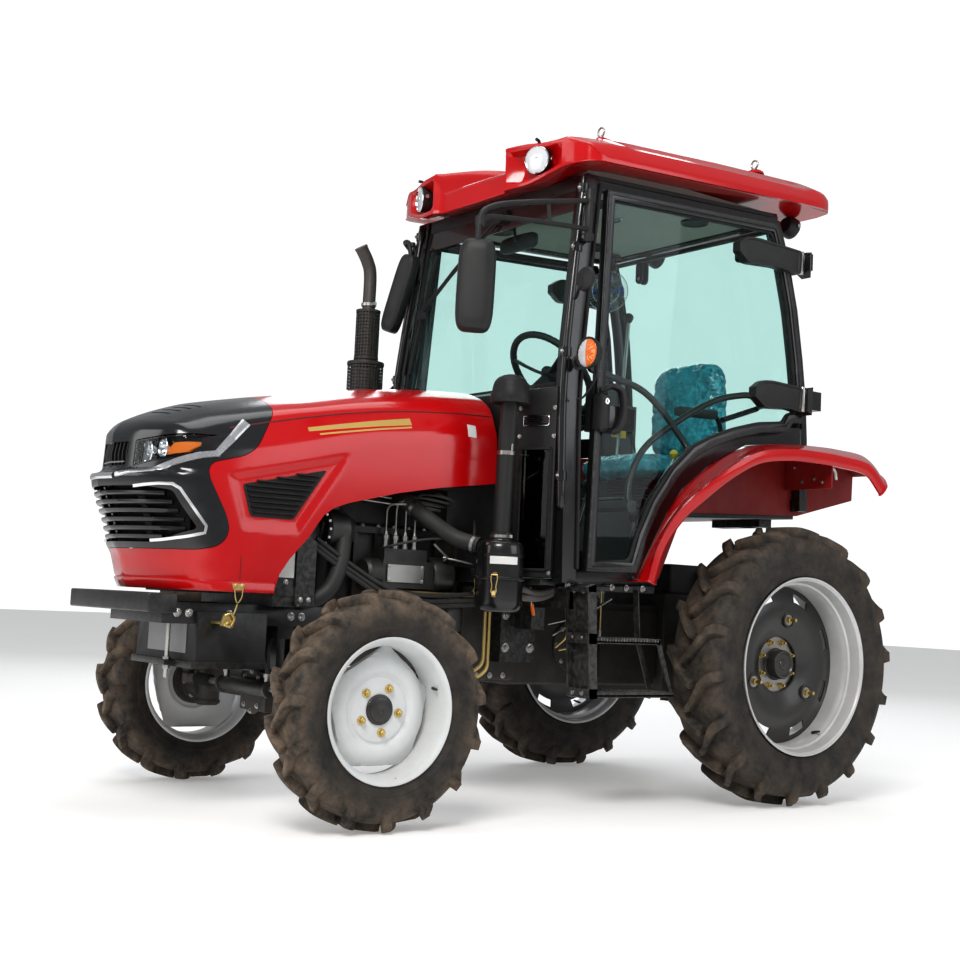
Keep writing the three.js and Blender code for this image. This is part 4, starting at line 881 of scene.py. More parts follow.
def on_front(x, z, level=0.0):
    return Vector(hit((x, -.30, z), (0, -1, 0), level))


def on_side(y, z, side=1, level=0.0):
    return Vector(hit((0, y, z), (side, 0, 0), level))


def on_top(x, y, level=0.0):
    return Vector(hit((x, y, 1.0), (0, 0, 1), level))


def normal_at(p, e=.002):
    p = np.asarray(p, float)
    g = np.array([form(p + np.eye(3)[i] * e) - form(p - np.eye(3)[i] * e) for i in range(3)])
    return Vector(g).normalized()


def hood_form(level, cols, rows_nose, ys):
    rows = []
    stations = [("y", y) for y in ys] + [("b", math.radians(b)) for b in np.linspace(0, 90, rows_nose + 1)[1:-1]]
    for kind, v in stations:
        y = v if kind == "y" else -.30
        pts = [(0.0, .55), (.16, .55), (.314, .60)] + [(float(a), float(b)) for a, b in reversed(section(np.array(y)))][1:]
        ang = [math.atan2(b - ZC, a) for a, b in pts]
        half = []
        for (a0, a1), k in zip(zip(ang, ang[1:]), cols):
            half += [a0 + (a1 - a0) * j / k for j in range(k)]
        half.append(ang[-1])
        full = half + [math.pi - a for a in reversed(half[1:-1])]
        al = np.array(full)
        if kind == "y":
            o = np.stack([0 * al, 0 * al + y, 0 * al + ZC], -1)
            d = np.stack([np.cos(al), 0 * al, np.sin(al)], -1)
        else:
            o = np.stack([0 * al, 0 * al - .30, 0 * al + ZC], -1)
            d = np.stack([np.cos(al) * math.cos(v), 0 * al - math.sin(v), np.sin(al) * math.cos(v)], -1)
        rows.append([tuple(p) for p in hit(o, d, level)])
    pole = tuple(hit(np.array([0, -.30, ZC]), np.array([0, -1.0, 0]), level))
    return rows, pole


def form_shell(wall, fine=True):
    g = Geo()
    ys = list(np.linspace(.72, .10, 30)) + list(np.linspace(.09, -.30, 44))
    for level, cols, rn, yy in ((0.0, (3, 4, 26, 9, 7, 4, 5, 6, 8, 8), 46, ys), (-wall, (2, 3, 6, 5, 3, 2, 3, 3, 4, 4), 22, ys[::2] + [ys[-1]] if ys[-1] not in ys[::2] else ys[::2])):
        rows, pole = hood_form(level, cols, rn, yy)
        n = len(rows[0])
        v = [p for r in rows for p in r] + [pole]
        f = []
        for i in range(len(rows) - 1):
            for j in range(n):
                j2 = (j + 1) % n
                f.append((i * n + j, i * n + j2, (i + 1) * n + j2, (i + 1) * n + j))
        last = (len(rows) - 1) * n
        for j in range(n):
            f.append((last + j, last + (j + 1) % n, len(v) - 1))
        f.append(tuple(reversed(range(n))))
        vol = 0.0
        for q in f:
            for i1, i2 in zip(q[1:], q[2:]):
                p0, p1, p2 = Vector(v[q[0]]), Vector(v[i1]), Vector(v[i2])
                vol += p0.dot(p1.cross(p2))
        if (vol < 0) == (level == 0):
            f = [tuple(reversed(q)) for q in f]
        g.add(v, f)
    return g


def raw_object(g, name="tmp"):
    me = bpy.data.meshes.new(name)
    me.from_pydata([(x, y - YS, z) for x, y, z in g.v], [], g.f)
    for k in range(max(g.mi) + 1 if g.mi else 1):
        me.materials.append(None)
    me.polygons.foreach_set("material_index", np.array(g.mi, np.int32))
    o = bpy.data.objects.new(name, me)
    bpy.context.scene.collection.objects.link(o)
    return o


def boolean(o, cutter, op="DIFFERENCE", keep_cutter=False):
    md = o.modifiers.new("b", "BOOLEAN")
    md.operation = op
    md.solver = "FAST"
    md.object = cutter
    bpy.context.view_layer.update()
    dg = bpy.context.evaluated_depsgraph_get()
    me = bpy.data.meshes.new_from_object(o.evaluated_get(dg), depsgraph=dg)
    if not len(me.polygons):
        raise RuntimeError("empty cut")
    o.modifiers.clear()
    old = o.data
    o.data = me
    bpy.data.meshes.remove(old)
    if not keep_cutter:
        cm = cutter.data
        bpy.data.objects.remove(cutter)
        bpy.data.meshes.remove(cm)
    return o


def finish_mesh(o, name, mats, body, replaces=(), angle=32, bevel=0.0, blimit=50, bseg=2):
    me = o.data
    me.materials.clear()
    for k in mats:
        me.materials.append(MATS[k])
    bm = bmesh.new()
    bm.from_mesh(me)
    bmesh.ops.remove_doubles(bm, verts=bm.verts, dist=2e-5)
    bmesh.ops.dissolve_degenerate(bm, edges=bm.edges, dist=1e-5)
    if bevel:
        edges = [e for e in bm.edges if len(e.link_faces) == 2 and e.calc_face_angle(0) > math.radians(blimit)]
        bmesh.ops.bevel(bm, geom=edges, offset=bevel, offset_type="OFFSET", segments=bseg, profile=0.5, affect="EDGES", clamp_overlap=True)
    for f in bm.faces:
        f.smooth = True
    for e in bm.edges:
        e.smooth = not (len(e.link_faces) == 2 and e.calc_face_angle(0) > math.radians(angle))
    bm.to_mesh(me)
    bm.free()
    o.name = name
    me.name = name
    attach(o, body)
    if replaces:
        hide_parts(*([replaces] if isinstance(replaces, str) else replaces))
    return o


def prism_obj(poly, axis, a, b):
    g = Geo()
    g.prism(poly, axis, a, b)
    o = raw_object(g, "cutter")
    bm = bmesh.new()
    bm.from_mesh(o.data)
    bmesh.ops.recalc_face_normals(bm, faces=bm.faces)
    bm.to_mesh(o.data)
    bm.free()
    return o


def copy_object(o):
    c = o.copy()
    c.data = o.data.copy()
    bpy.context.scene.collection.objects.link(c)
    return c


def round_poly(poly, r, n=5):
    """Corner-rounded closed outline in two numbers."""
    P = [Vector((a, b)) for a, b in poly]
    out = []
    k = len(P)
    for i in range(k):
        a, b, c = P[i - 1], P[i], P[(i + 1) % k]
        rr = r[i] if isinstance(r, (list, tuple)) else r
        u, w = (a - b), (c - b)
        d = min(rr, u.length * 0.45, w.length * 0.45)
        if d < 1e-5:
            out.append((b.x, b.y))
            continue
        s, e = b + u.normalized() * d, b + w.normalized() * d
        for j in range(n + 1):
            t = j / n
            q = s * (1 - t) ** 2 + b * 2 * t * (1 - t) + e * t * t
            out.append((q.x, q.y))
    return out


shell = raw_object(form_shell(.0045), "hood_form")
boolean(shell, prism_obj([(-.80, .706), (.664, .706 + .0001), (.664, 1.60), (-.80, 1.60)], "x", -.5, .5), "INTERSECT")
under = [(.80, .60), (.80, 1.132 + .02)] + [(y, z) for y, z in LOWER] + [(-.205, .60)]
boolean(shell, prism_obj(under, "x", -.5, .5), "DIFFERENCE")
# the black nose moulding in side view, with rounded corners
MASK = [(-.80, .828), (-.470, .832), (-.410, .846), (-.380, .872), (-.372, .905), (-.384, .945), (-.420, 1.010), (-.446, 1.055), (-.452, 1.085), (-.438, 1.108), (-.330, 1.138), (-.286, 1.170), (-.212, 1.296), (-.190, 1.360), (-.170, 1.60), (-.80, 1.60)]
mask_line = round_poly(MASK, [0, .03, .03, .02, .02, .03, .03, .02, .02, .02, .04, .03, .03, .02, 0, 0], 4)
mask_gap = round_poly([(y + (.0016 if y > -.7 else 0), z - .0016) for y, z in MASK], [0, .03, .03, .02, .02, .03, .03, .02, .02, .02, .04, .03, .03, .02, 0, 0], 4)
nose = copy_object(shell)
boolean(nose, prism_obj(mask_line, "x", -.5, .5), "INTERSECT")
boolean(shell, prism_obj(mask_gap, "x", -.5, .5), "DIFFERENCE")
lower_open = round_poly([(-.262, 1.012), (-.196, 1.022), (.196, 1.022), (.262, 1.012), (.292, .895), (.200, .850), (-.200, .850), (-.292, .895)], .012)
boolean(nose, prism_obj(lower_open, "y", -.78, -.45), "DIFFERENCE")
boolean(nose, prism_obj(round_poly([(-.096, 1.164), (.096, 1.164), (.088, 1.090), (-.088, 1.090)], .008), "y", -.78, -.58), "DIFFERENCE")
LAMP = [(.122, 1.168), (.288, 1.196), (.296, 1.184), (.282, 1.124), (.122, 1.084)]
for sgn in (1, -1):
    boolean(nose, prism_obj(round_poly([(sgn * x, z) for x, z in LAMP], .008), "y", -.78, -.40), "DIFFERENCE")
# slits in the top of the nose
for sgn in (1, -1):
    for k in range(4):
        y0 = -.545 + .034 * k
        boolean(nose, prism_obj([(sgn * (.045 + .004 * k), y0), (sgn * (.135 + .004 * k), y0 + .022), (sgn * (.135 + .004 * k), y0 + .032), (sgn * (.045 + .004 * k), y0 + .010)], "z", 1.2, 1.45), "DIFFERENCE")
finish_mesh(nose, "nose_moulding", ["grey_nose"], "hood", "nose_mask", angle=24)
# side vents through the shell
for sgn in (1, -1):
    boolean(shell, prism_obj(round_poly(VENT, .012), "x", sgn * .28, sgn * .36), "DIFFERENCE")
finish_mesh(shell, "hood_panel", ["red_paint"], "hood", "hood_shell", angle=24)


# ------------------------------------------------------------------ trim on the nose, all laid on the form
def aim(p, level=0.0):
    """The skin point seen from the middle of the hood towards p."""
    y0 = max(p[1], -.30)
    return Vector(hit((0, y0, ZC), (p[0], p[1] - y0, p[2] - ZC), level, far=6.0, n=32))


def belt(g, sect, ths, y_end=None, mat=0):
    """Closed section (z, lift) swept round the nose at level heights: ths in degrees, 0 straight ahead."""
    o, d = [], []
    if y_end is not None:
        for y in (y_end, y_end - (y_end + .30) * .5, -.299):
            o.append((0, y))
            d.append((-1, 0))
    for t in ths:
        a = math.radians(t)
        o.append((0, -.30))
        d.append((math.sin(a), -math.cos(a)))
    if y_end is not None:
        for y in (-.299, y_end - (y_end + .30) * .5, y_end):
            o.append((0, y))
            d.append((1, 0))
    Z, L = np.array([z for z, _ in sect]), np.array([l for _, l in sect])
    O = np.array([[(ox, oy, z) for z in Z] for ox, oy in o])
    D = np.array([[(dx, dy, 0.0) for z in Z] for dx, dy in d])
    P = hit(O, D, np.broadcast_to(L, O.shape[:2]), n=20)
    return g.rings([[tuple(p) for p in row] for row in P], mat)


def aims(P, level=0.0):
    P = np.asarray(P, float)
    y0 = np.maximum(P[..., 1], -.30)
    o = np.stack([0 * y0, y0, 0 * y0 + ZC], -1)
    return hit(o, P - o, level, far=6.0, n=24)


def normals(P, e=.002):
    E = np.eye(3) * e
    g = np.stack([form(P + E[i]) - form(P - E[i]) for i in range(3)], -1)
    return g / np.linalg.norm(g, axis=-1, keepdims=True)


def ribbon(g, pts, width, lift=.003, sink=.002, mat=0, taper=None, closed=False):
    """Raised strip along points on the form."""
    P = aims(pts)
    k = len(P)
    T = np.array([P[min(i + 1, k - 1)] - P[max(i - 1, 0)] for i in range(k)])
    T /= np.linalg.norm(T, axis=1, keepdims=True)
    Nn = normals(P)
    B = np.cross(Nn, T)
    B /= np.linalg.norm(B, axis=1, keepdims=True)
    w = np.array([(width if taper is None else width * taper(i / (k - 1))) / 2 for i in range(k)])
    cols = []
    for s, l in ((-1, -sink), (-1, lift * .5), (-.82, lift), (-.3, lift), (.3, lift), (.82, lift), (1, lift * .5), (1, -sink)):
        cols.append(aims(P + B * (w * s)[:, None]) + Nn * l)
    A = np.stack(cols, 1)
    return g.rings([[tuple(p) for p in row] for row in A], mat)


def dense(pts, n=6):
    return [tuple(p) for p in smooth_path(pts, n)]


def straight(pts, step=.012):
    out = []
    for a, b in zip(pts, pts[1:]):
        a, b = Vector(a), Vector(b)
        k = max(1, int((b - a).length / step))
        out += [tuple(a.lerp(b, j / k)) for j in range(k)]
    out.append(tuple(pts[-1]))
    return out


# strip round the bottom of the nose, the seam in its side and the brass catch
g = Geo()
belt(g, [(.7065, -.004), (.7065, .0075), (.709, .0100), (.734, .0100), (.739, .0075), (.7415, -.004)], np.linspace(-90, 90, 61), y_end=-.207)
g.make("bumper_strip", "red_paint", "hood", angle=40)
g = Geo()
for sgn in (1, -1):
    ribbon(g, straight([(sgn * .300, -.325, .742), (sgn * .300, -.325, .829)], .01), .0022, .0004, .002, 0)
g.make("bumper_seam", "rubber_seal", "hood")

# grille: six curved bars, uprights behind them, and the small upright grille above
g = Geo()
for i in range(6):
    z = .868 + .0268 * i
    lim = (40, 53, 52, 49, 46, 42)[i]
    ths = np.linspace(-lim, lim, 41)
    belt(g, [(z - .0085, -.024), (z - .0100, -.012), (z - .0085, -.0055), (z - .002, -.0012), (z + .005, -.003), (z + .0075, -.010), (z + .0045, -.024)], ths)
for x in (-.15, 0, .15):
    row = []
    for z in (.858, .90, .94, .98, 1.02):
        p = on_front(x, z, -.020)
        row.append([(p.x - .006, p.y, z), (p.x + .006, p.y, z), (p.x + .006, p.y + .018, z), (p.x - .006, p.y + .018, z)])
    g.rings(row)
for i in range(-4, 5):
    x = i * .0205
    p0, p1 = on_front(x, 1.094, -.006), on_front(x, 1.162, -.006)
    g.tube([(x, p0.y + .006, 1.0915), (x, (p0.y + p1.y) / 2 + .002, 1.128), (x, p1.y + .006, 1.1635)], .006, 8, flat=(.0095, .012))
for z in (1.0935, 1.161):
    row = []
    for x in np.linspace(-.086, .086, 9):
        p = on_front(x, z, -.012)
        row.append([(x, p.y, z - .004), (x, p.y + .012, z - .004), (x, p.y + .012, z + .004), (x, p.y, z + .004)])
    g.rings(row)
for x in (0,):
    g.tube([(x, on_front(0, 1.02, -.035).y, 1.015), (x, on_front(0, 1.04, -.07).y + .03, 1.05), (x, on_front(0, 1.10, -.02).y + .006, 1.096)], .006, 8)
belt(g, [(.842, -.052), (.842, -.048), (1.030, -.048), (1.030, -.052)], np.linspace(-54, 54, 31), mat=1)
g.make("nose_bars", ["black_gloss", "rubber_seal"], "hood", "grille", slot="black_plastic", angle=40)

# bright trim: lip across the front, the long L strips, the strips round the lower grille, the line under the upper grille
g = Geo()
lip = [(1.0440, -.004), (1.0440, .003), (1.0500, .0055), (1.0570, .0058), (1.0625, .0035), (1.0640, -.001), (1.0640, -.006)]
belt(g, lip, np.linspace(-13, 13, 15), mat=0)
for sgn in (1, -1):
    path = straight([(sgn * .088, -.638, 1.0535), (sgn * .205, -.595, 1.073), (sgn * .318, -.425, 1.143)], .012)
    ribbon(g, path, .021, .0042, .003, 1)
    path = straight([(sgn * .316, -.435, 1.138), (sgn * .305, -.372, 1.205), (sgn * .297, -.318, 1.272)], .012)
    ribbon(g, path, .030, .0042, .003, 1, taper=lambda t: .72 + .4 * t)
    low = [(sgn * .165, -.640, 1.0215), (sgn * .235, -.585, 1.031), (sgn * .268, -.557, 1.031), (sgn * .280, -.535, 1.018), (sgn * .303, -.450, .905), (sgn * .300, -.452, .884), (sgn * .262, -.530, .862), (sgn * .190, -.595, .8445)]
    ribbon(g, straight(low, .010), .0115, .005, .002, 0)
row = []
for x in np.linspace(-.080, .080, 9):
    p = on_front(x, 1.101, -.001)
    row.append([(x, p.y, 1.0985), (x, p.y + .006, 1.0985), (x, p.y + .006, 1.1030), (x, p.y, 1.1030)])
g.rings(row, 0)
g.make("nose_trim", ["chrome", "silver_trim"], "hood", angle=40)

# headlamps: cup, two bright bowls, amber insert, dark outer window and a clear cover
def lamp_parts(inside):
    quad = [(.1240, 1.0870), (.2810, 1.1275), (.2905, 1.1915), (.1240, 1.1660)]

    def bil(s, t):
        (a, b), (c, d), (e, f), (h, i) = quad
        return ((a * (1 - s) + c * s) * (1 - t) + (h * (1 - s) + e * s) * t, (b * (1 - s) + d * s) * (1 - t) + (i * (1 - s) + f * s) * t)
    return bil


bil = lamp_parts(0)


def lamp_loop(k, inset, level, back=0.0):
    out = []
    for i in range(4 * k):
        side, f = divmod(i, k)
        f /= k
        s, t = ((f, 0), (1, f), (1 - f, 1), (0, 1 - f))[side]
        s, t = inset + s * (1 - 2 * inset), inset * 1.6 + t * (1 - 3.2 * inset)
        x, z = bil(s, t)
        p = on_front(x, z, level)
        out.append((p.x, p.y + back, p.z))
    return out


def lamp_left():
    g = Geo()
    k = 10
    g.rings([lamp_loop(k, .0, -.003, .050), lamp_loop(k, .0, -.003), lamp_loop(k, .018, -.003), lamp_loop(k, .03, -.003, .046)], 0)
    for (s, t, r) in ((.20, .50, .031), (.50, .52, .027)):
        x, z = bil(s, t)
        y = on_front(x, z).y + .016
        prof = [(y, r), (y + .008, r * .93), (y + .018, r * .72), (y + .026, r * .42), (y + .028, .006), (y + .030, .006), (y + .029, r * .45), (y + .020, r * .78), (y + .009, r * .99), (y, r + .003)]
        g.lathe(prof, "y", (x, z), 36, 1)
        g.lathe([(y + .004, 0), (y + .006, .006), (y + .012, .008), (y + .027, .008), (y + .029, 0)], "y", (x, z), 20, 2)
        g.lathe([(y - .001, r + .001), (y - .003, r + .003), (y - .001, r + .006), (y + .002, r + .003)], "y", (x, z), 36, 1)
    # ribbed fill between the bowls
    for j in range(7):
        s = .06 + .012 * j
        rows = []
        for t in np.linspace(.12, .9, 6):
            x, z = bil(s, t)
            y = on_front(x, z).y + .022 + .003 * (j % 2)
            rows.append([(x - .0012, y, z), (x + .0012, y, z), (x + .0012, y + .006, z), (x - .0012, y + .006, z)])
        g.rings(rows, 1)
    # amber insert, lower outer corner
    def patch(s0, s1, t0, t1, lv, th, mat, skew=0.0, n=6, back=0.0):
        top, bot = [], []
        for i in range(n + 1):
            for j in range(n + 1):
                s, t = s0 + (s1 - s0) * i / n + skew * (j / n), t0 + (t1 - t0) * j / n
                x, z = bil(s, t)
                p = on_front(x, z, lv)
                top.append((p.x, p.y + back, p.z))
                bot.append((p.x, p.y + th + back, p.z))
        N = n + 1
        f = []
        for i in range(n):
            for j in range(n):
                a, b, c, d = i * N + j, (i + 1) * N + j, (i + 1) * N + j + 1, i * N + j + 1
                f += [(a, b, c, d), (a + N * N, d + N * N, c + N * N, b + N * N)]
        edge = [(i, 0) for i in range(n)] + [(n, j) for j in range(n)] + [(i, n) for i in range(n, 0, -1)] + [(0, j) for j in range(n, 0, -1)]
        for (i, j), (i2, j2) in zip(edge, edge[1:] + edge[:1]):
            a, b = i * N + j, i2 * N + j2
            f.append((b, a, a + N * N, b + N * N))
        g.add(top + bot, f, mat)
    patch(.60, .90, .14, .66, -.007, .010, 3, skew=.10)
    return g, patch


lg, _ = lamp_left()
both(lg, "lamp_unit_{}", ["black_gloss", "chrome", "clear_lens", "amber"], ("hood", "hood"), "headlamp_{}", slot="lamp_glass", angle=35)
cg = Geo()
n = 14
top, bot = [], []
for i in range(n + 1):
    for j in range(n + 1):
        x, z = bil(i / n, j / n)
        p, q2 = on_front(x, z, -.0005), on_front(x, z, -.0030)
        top.append(tuple(p))
        bot.append(tuple(q2))
N = n + 1
f = []
for i in range(n):
    for j in range(n):
        a, b, c, d = i * N + j, (i + 1) * N + j, (i + 1) * N + j + 1, i * N + j + 1
        f += [(a, b, c, d), (a + N * N, d + N * N, c + N * N, b + N * N)]
edge = [(i, 0) for i in range(n)] + [(n, j) for j in range(n)] + [(i, n) for i in range(n, 0, -1)] + [(0, j) for j in range(n, 0, -1)]
for (i, j), (i2, j2) in zip(edge, edge[1:] + edge[:1]):
    a, b = i * N + j, i2 * N + j2
    f.append((b, a, a + N * N, b + N * N))
cg.add(top + bot, f)
both(cg, "lamp_cover_{}", "lamp_cover", ("hood", "hood"), slot="lamp_glass")
# smoked window behind each headlamp, running back to the bright strip
g = Geo()
for sgn in (1, -1):
    quad2 = [(.3050, -.488, 1.136), (.3140, -.395, 1.178), (.3020, -.360, 1.222), (.2950, -.480, 1.190)]
    rows = []
    for s in np.linspace(0, 1, 9):
        a = Vector(quad2[0]).lerp(Vector(quad2[1]), s)
        b = Vector(quad2[3]).lerp(Vector(quad2[2]), s)
        row = []
        pts = [a.lerp(b, t) for t in (0, .25, .5, .75, 1)]
        skin = [aim(p) for p in pts]
        nn = [normal_at(p) for p in skin]
        up_ = [p + n_ * (.0022 if 0 < i < 4 else .0006) for i, (p, n_) in enumerate(zip(skin, nn))]
        dn_ = [p - n_ * .002 for p, n_ in zip(skin, nn)]
        rows.append([(sgn * p.x, p.y, p.z) for p in up_ + dn_[::-1]])
    g.rings(rows)
g.make("lamp_window", "black_gloss", "hood", angle=40)

# louvred side vents, set back in their openings
g = Geo()
for sgn in (1, -1):
    rim = round_poly(VENT, .012)
    # dished frame round the opening
    cy, cz = sum(p[0] for p in rim) / len(rim), sum(p[1] for p in rim) / len(rim)
    rings = []
    for sc, dx in ((1.0, .0015), (1.0, -.010), (.97, -.010), (.97, .0015)):
        rings.append([(sgn * (on_side(cy + (y - cy) * sc, cz + (z - cz) * sc).x + dx), cy + (y - cy) * sc, cz + (z - cz) * sc) for y, z in rim])
    g.rings(rings, 0, closed=True)
    back = [(sgn * (.318 - .012), cy + (y - cy) * .985, cz + (z - cz) * .985) for y, z in rim]
    back2 = [(sgn * (.318 - .014), y, z) for _, y, z in back]
    g.rings([back, back2], 1)
    for k in range(9):
        z = .957 + .0165 * k
        ylo = -.300 - (z - .946) * .33 + .008
        yhi = -.145 + (z - .946) * .674 - .012
        if z > 1.047:
            ylo = -.333 + (z - 1.047) * 4.28 + .012
        if yhi - ylo < .03:
            continue
        rows = []
        for y in np.linspace(ylo, yhi, 8):
            rows.append([(sgn * .3075, y, z), (sgn * .3150, y, z + .004), (sgn * .3158, y, z + .0065), (sgn * .3075, y, z + .0095)])
        g.rings(rows, 0)
g.make("side_vents", ["black_plastic", "rubber_seal"], "hood", angle=40)

# front catch of the hood and its keeper
g = Geo()
p = on_side(-.335, .722, 1, .010)
g.prism(round_poly([(-.352, .712), (-.318, .712), (-.312, .732), (-.358, .732)], .005), "x", p.x - .001, p.x + .004, 0)
for dy in (-.012, .012):
    g.bolt((p.x + .004, -.335 + dy, .726), (1, 0, 0), .0055, .005, 0)
g.tube(fillet([(p.x + .006, -.349, .716), (p.x + .008, -.347, .690), (p.x + .004, -.336, .668), (p.x + .008, -.323, .690), (p.x + .006, -.321, .716)], .01), .0022, 8, 0)
g.tube([(p.x + .004, -.336, .668), (p.x + .001, -.340, .650), (p.x - .004, -.346, .630)], .0026, 8, 0)
g.make("hood_catch", "brass_zinc", "hood")
g = Geo()
x0 = .300
g.prism(round_poly([(-.382, .600), (-.340, .592), (-.330, .628), (-.352, .640), (-.372, .636)], .006), "x", x0 - .004, x0 + .008, 0)
g.tube(fillet([(x0 + .012, -.372, .632), (x0 + .016, -.352, .640), (x0 + .014, -.338, .622), (x0 + .014, -.350, .596), (x0 + .010, -.372, .604)], .006), .0045, 8, 0)
g.bolt((x0 + .008, -.360, .606), (1, 0, 0), .006, .006, 0)
g.box(.20, x0, -.375, -.340, .604, .612, 0)
g.make("catch_keeper", "brass_zinc", "chassis", bevel=.0008)

# plain decals on the hood side: a gold double stripe and a blank white label
g = Geo()
for sgn in (1, -1):
    ribbon(g, straight([(sgn * .31, -.10, 1.262), (sgn * .31, .30, 1.335)], .02), .026, .0004, .0008, 0, taper=lambda t: .55 + .45 * t)
    ribbon(g, straight([(sgn * .31, -.06, 1.242), (sgn * .31, .30, 1.305)], .02), .006, .0004, .0008, 0)
    ribbon(g, straight([(sgn * .31, .555, 1.290), (sgn * .31, .558, 1.352)], .008), .036, .0005, .0008, 1)
MATS["decal_gold"] = coated("decal_gold", (0.60, 0.42, 0.14), (0.50, 0.34, 0.10), (0.5, 0.2, 0.12), (0.3, 0.4), 0.15, metal=0.3, bump=0.02).m
g.make("hood_decals", ["decal_gold", "label_white"], "hood", angle=40)

# dark red strip along the crease of each side, under the top panel: painted shade of the crease
g = Geo()
for sgn in (1, -1):
    ys_ = np.linspace(-.375, .655, 44)
    ribbon(g, [(sgn * .279, float(y), float(table(CREASE, y)) - .012) for y in ys_], .0052, .0007, .0010, 0)
# near-black red of the strip: painted crease shade
MATS["seam_red"] = coated("seam_red", (0.09, 0.004, 0.004), (0.07, 0.003, 0.003), (0.14, 0.06, 0.05), (0.45, 0.6), 0.1, bump=0.02).m
g.make("hood_crease_shade", "seam_red", "hood", angle=40)


# ------------------------------------------------------------------ roof
def clamp(v, a=0.0, b=1.0):
    return max(a, min(b, v))


def sm(v):
    v = clamp(v)
    return v * v * (3 - 2 * v)


R_TOP = [(.690, 2.384), (.800, 2.418), (.950, 2.462), (1.150, 2.494), (1.500, 2.528), (1.900, 2.546), (2.060, 2.534), (2.150, 2.480)]
R_EDGE = [(.690, 2.360), (.800, 2.394), (1.024, 2.424), (1.500, 2.452), (2.060, 2.478), (2.150, 2.440)]
R_BOT = [(.690, 2.272), (.850, 2.290), (1.930, 2.352), (2.150, 2.362)]
R_FRONT = [(0, .733), (.200, .731), (.229, .703), (.300, .712), (.415, .744), (.520, .776), (.580, .806), (.600, .840), (.604, .870)]
R_REAR = [(0, 2.148), (.480, 2.148), (.555, 2.130), (.592, 2.080), (.604, 2.020)]


def softlerp(tab, v, d=.05):
    return (lerp(tab, v - d) + 2 * lerp(tab, v) + lerp(tab, v + d)) / 4


def roof_bottom(x, y):
    return softlerp(R_BOT, y) - .050 * (1 - sm((x - .30) / .24)) * sm((1.02 - y) / .22)


def roof_top(x, y):
    t, e, b = softlerp(R_TOP, y), softlerp(R_EDGE, y), roof_bottom(x, y)
    if x <= .34:
        z = t - .014 * (x / .34) ** 2
    elif x <= .50:
        s = (x - .34) / .16
        z = (t - .014) * (1 - s) + e * s - .006 * math.sin(math.pi * s)
    elif x <= .575:
        z = e - .040 * (x - .50) / .075
    else:
        z = e - .040 - (e - .040 - b - .020) * ((x - .575) / .029) ** 1.3
    ch = sm((1.30 - y) / .50)
    z -= .088 * ch * (1 - sm((x - .196) / .034))
    # step in the side band, from a little behind the front corner
    if x > .50:
        z -= .010 * sm((x - .50) / .02) * sm((y - .98) / .05) * (1 - sm((x - .585) / .02)) * (1 - sm((y - 1.96) / .05))
    return z


def roof():
    g = Geo()
    xs = [0, .05, .10, .15, .185, .198, .206, .214, .222, .229, .236, .25, .275, .30, .33, .36, .39, .415, .44, .46, .48, .495, .505, .52, .535, .55, .565, .575, .584, .592, .598, .602, .604]
    xs = [-x for x in reversed(xs[1:])] + xs
    ty = [0, .004, .012, .03, .06, .10, .14, .18, .22, .27, .32, .38, .44, .50, .57, .64, .71, .78, .84, .89, .93, .96, .98, .992, 1]
    rings = []
    for sx in xs:
        x = abs(sx)
        yf, yr = lerp(R_FRONT, x), lerp(R_REAR, x)
        row = []
        # underside, rear to front
        for t in (1, .9, .75, .6, .45, .3, .18, .10, .05, .02, .006):
            y = yf + (yr - yf) * t
            up = .012 * (1 if .03 < t < .95 else 0) * (1 - sm((x - .55) / .04))
            row.append((sx, y, roof_bottom(x, y) + up))
        # front face, bottom to top, scooped behind the lamps
        zb, zt = roof_bottom(x, yf), roof_top(x, yf)
        scoop = .050 * sm((x - .236) / .03) * (1 - sm((x - .40) / .09))
        for f_, k in ((0.0, 0), (.06, 0), (.12, .10), (.20, .75), (.35, 1.0), (.5, 1.05), (.65, 1.0), (.80, .75), (.88, .10), (.94, 0)):
            row.append((sx, yf + scoop * k + (.003 if 0 < f_ < .9 and not scoop else 0), zb + (zt - zb) * f_))
        for t in ty:
            y = yf + (yr - yf) * t
            z = roof_top(x, y)
            if t == 0:
                z -= .004
            if t > .985:
                z -= .012 * (t - .985) / .015
            row.append((sx, y, z))
        # rear face
        zb, zt = roof_bottom(x, yr), roof_top(x, yr) - .012
        for f_ in (.75, .5, .25):
            row.append((sx, yr + .002, zb + (zt - zb) * f_))
        rings.append(row)
    g.rings(rings)
    return g


g = roof()
# ceiling liner, shallow dish with round vents, and oval reading lamps
rows = []
for x in np.linspace(-.455, .455, 15):
    e = 1 - (abs(x) / .455) ** 4
    rows.append([(x, y, lerp([(.916, 2.228), (1.826, 2.276)], y) + .018 * e * math.sin(math.pi * (y - .916) / .91) + 0 * x) for y in np.linspace(.916, 1.826, 15)] + [(x, y, 2.335) for y in (1.826, 1.4, .916)])
g.rings(rows, 1)


def liner_z(x, y):
    return lerp([(.916, 2.228), (1.826, 2.276)], y) + .018 * (1 - (abs(x) / .455) ** 4) * math.sin(math.pi * (y - .916) / .91)


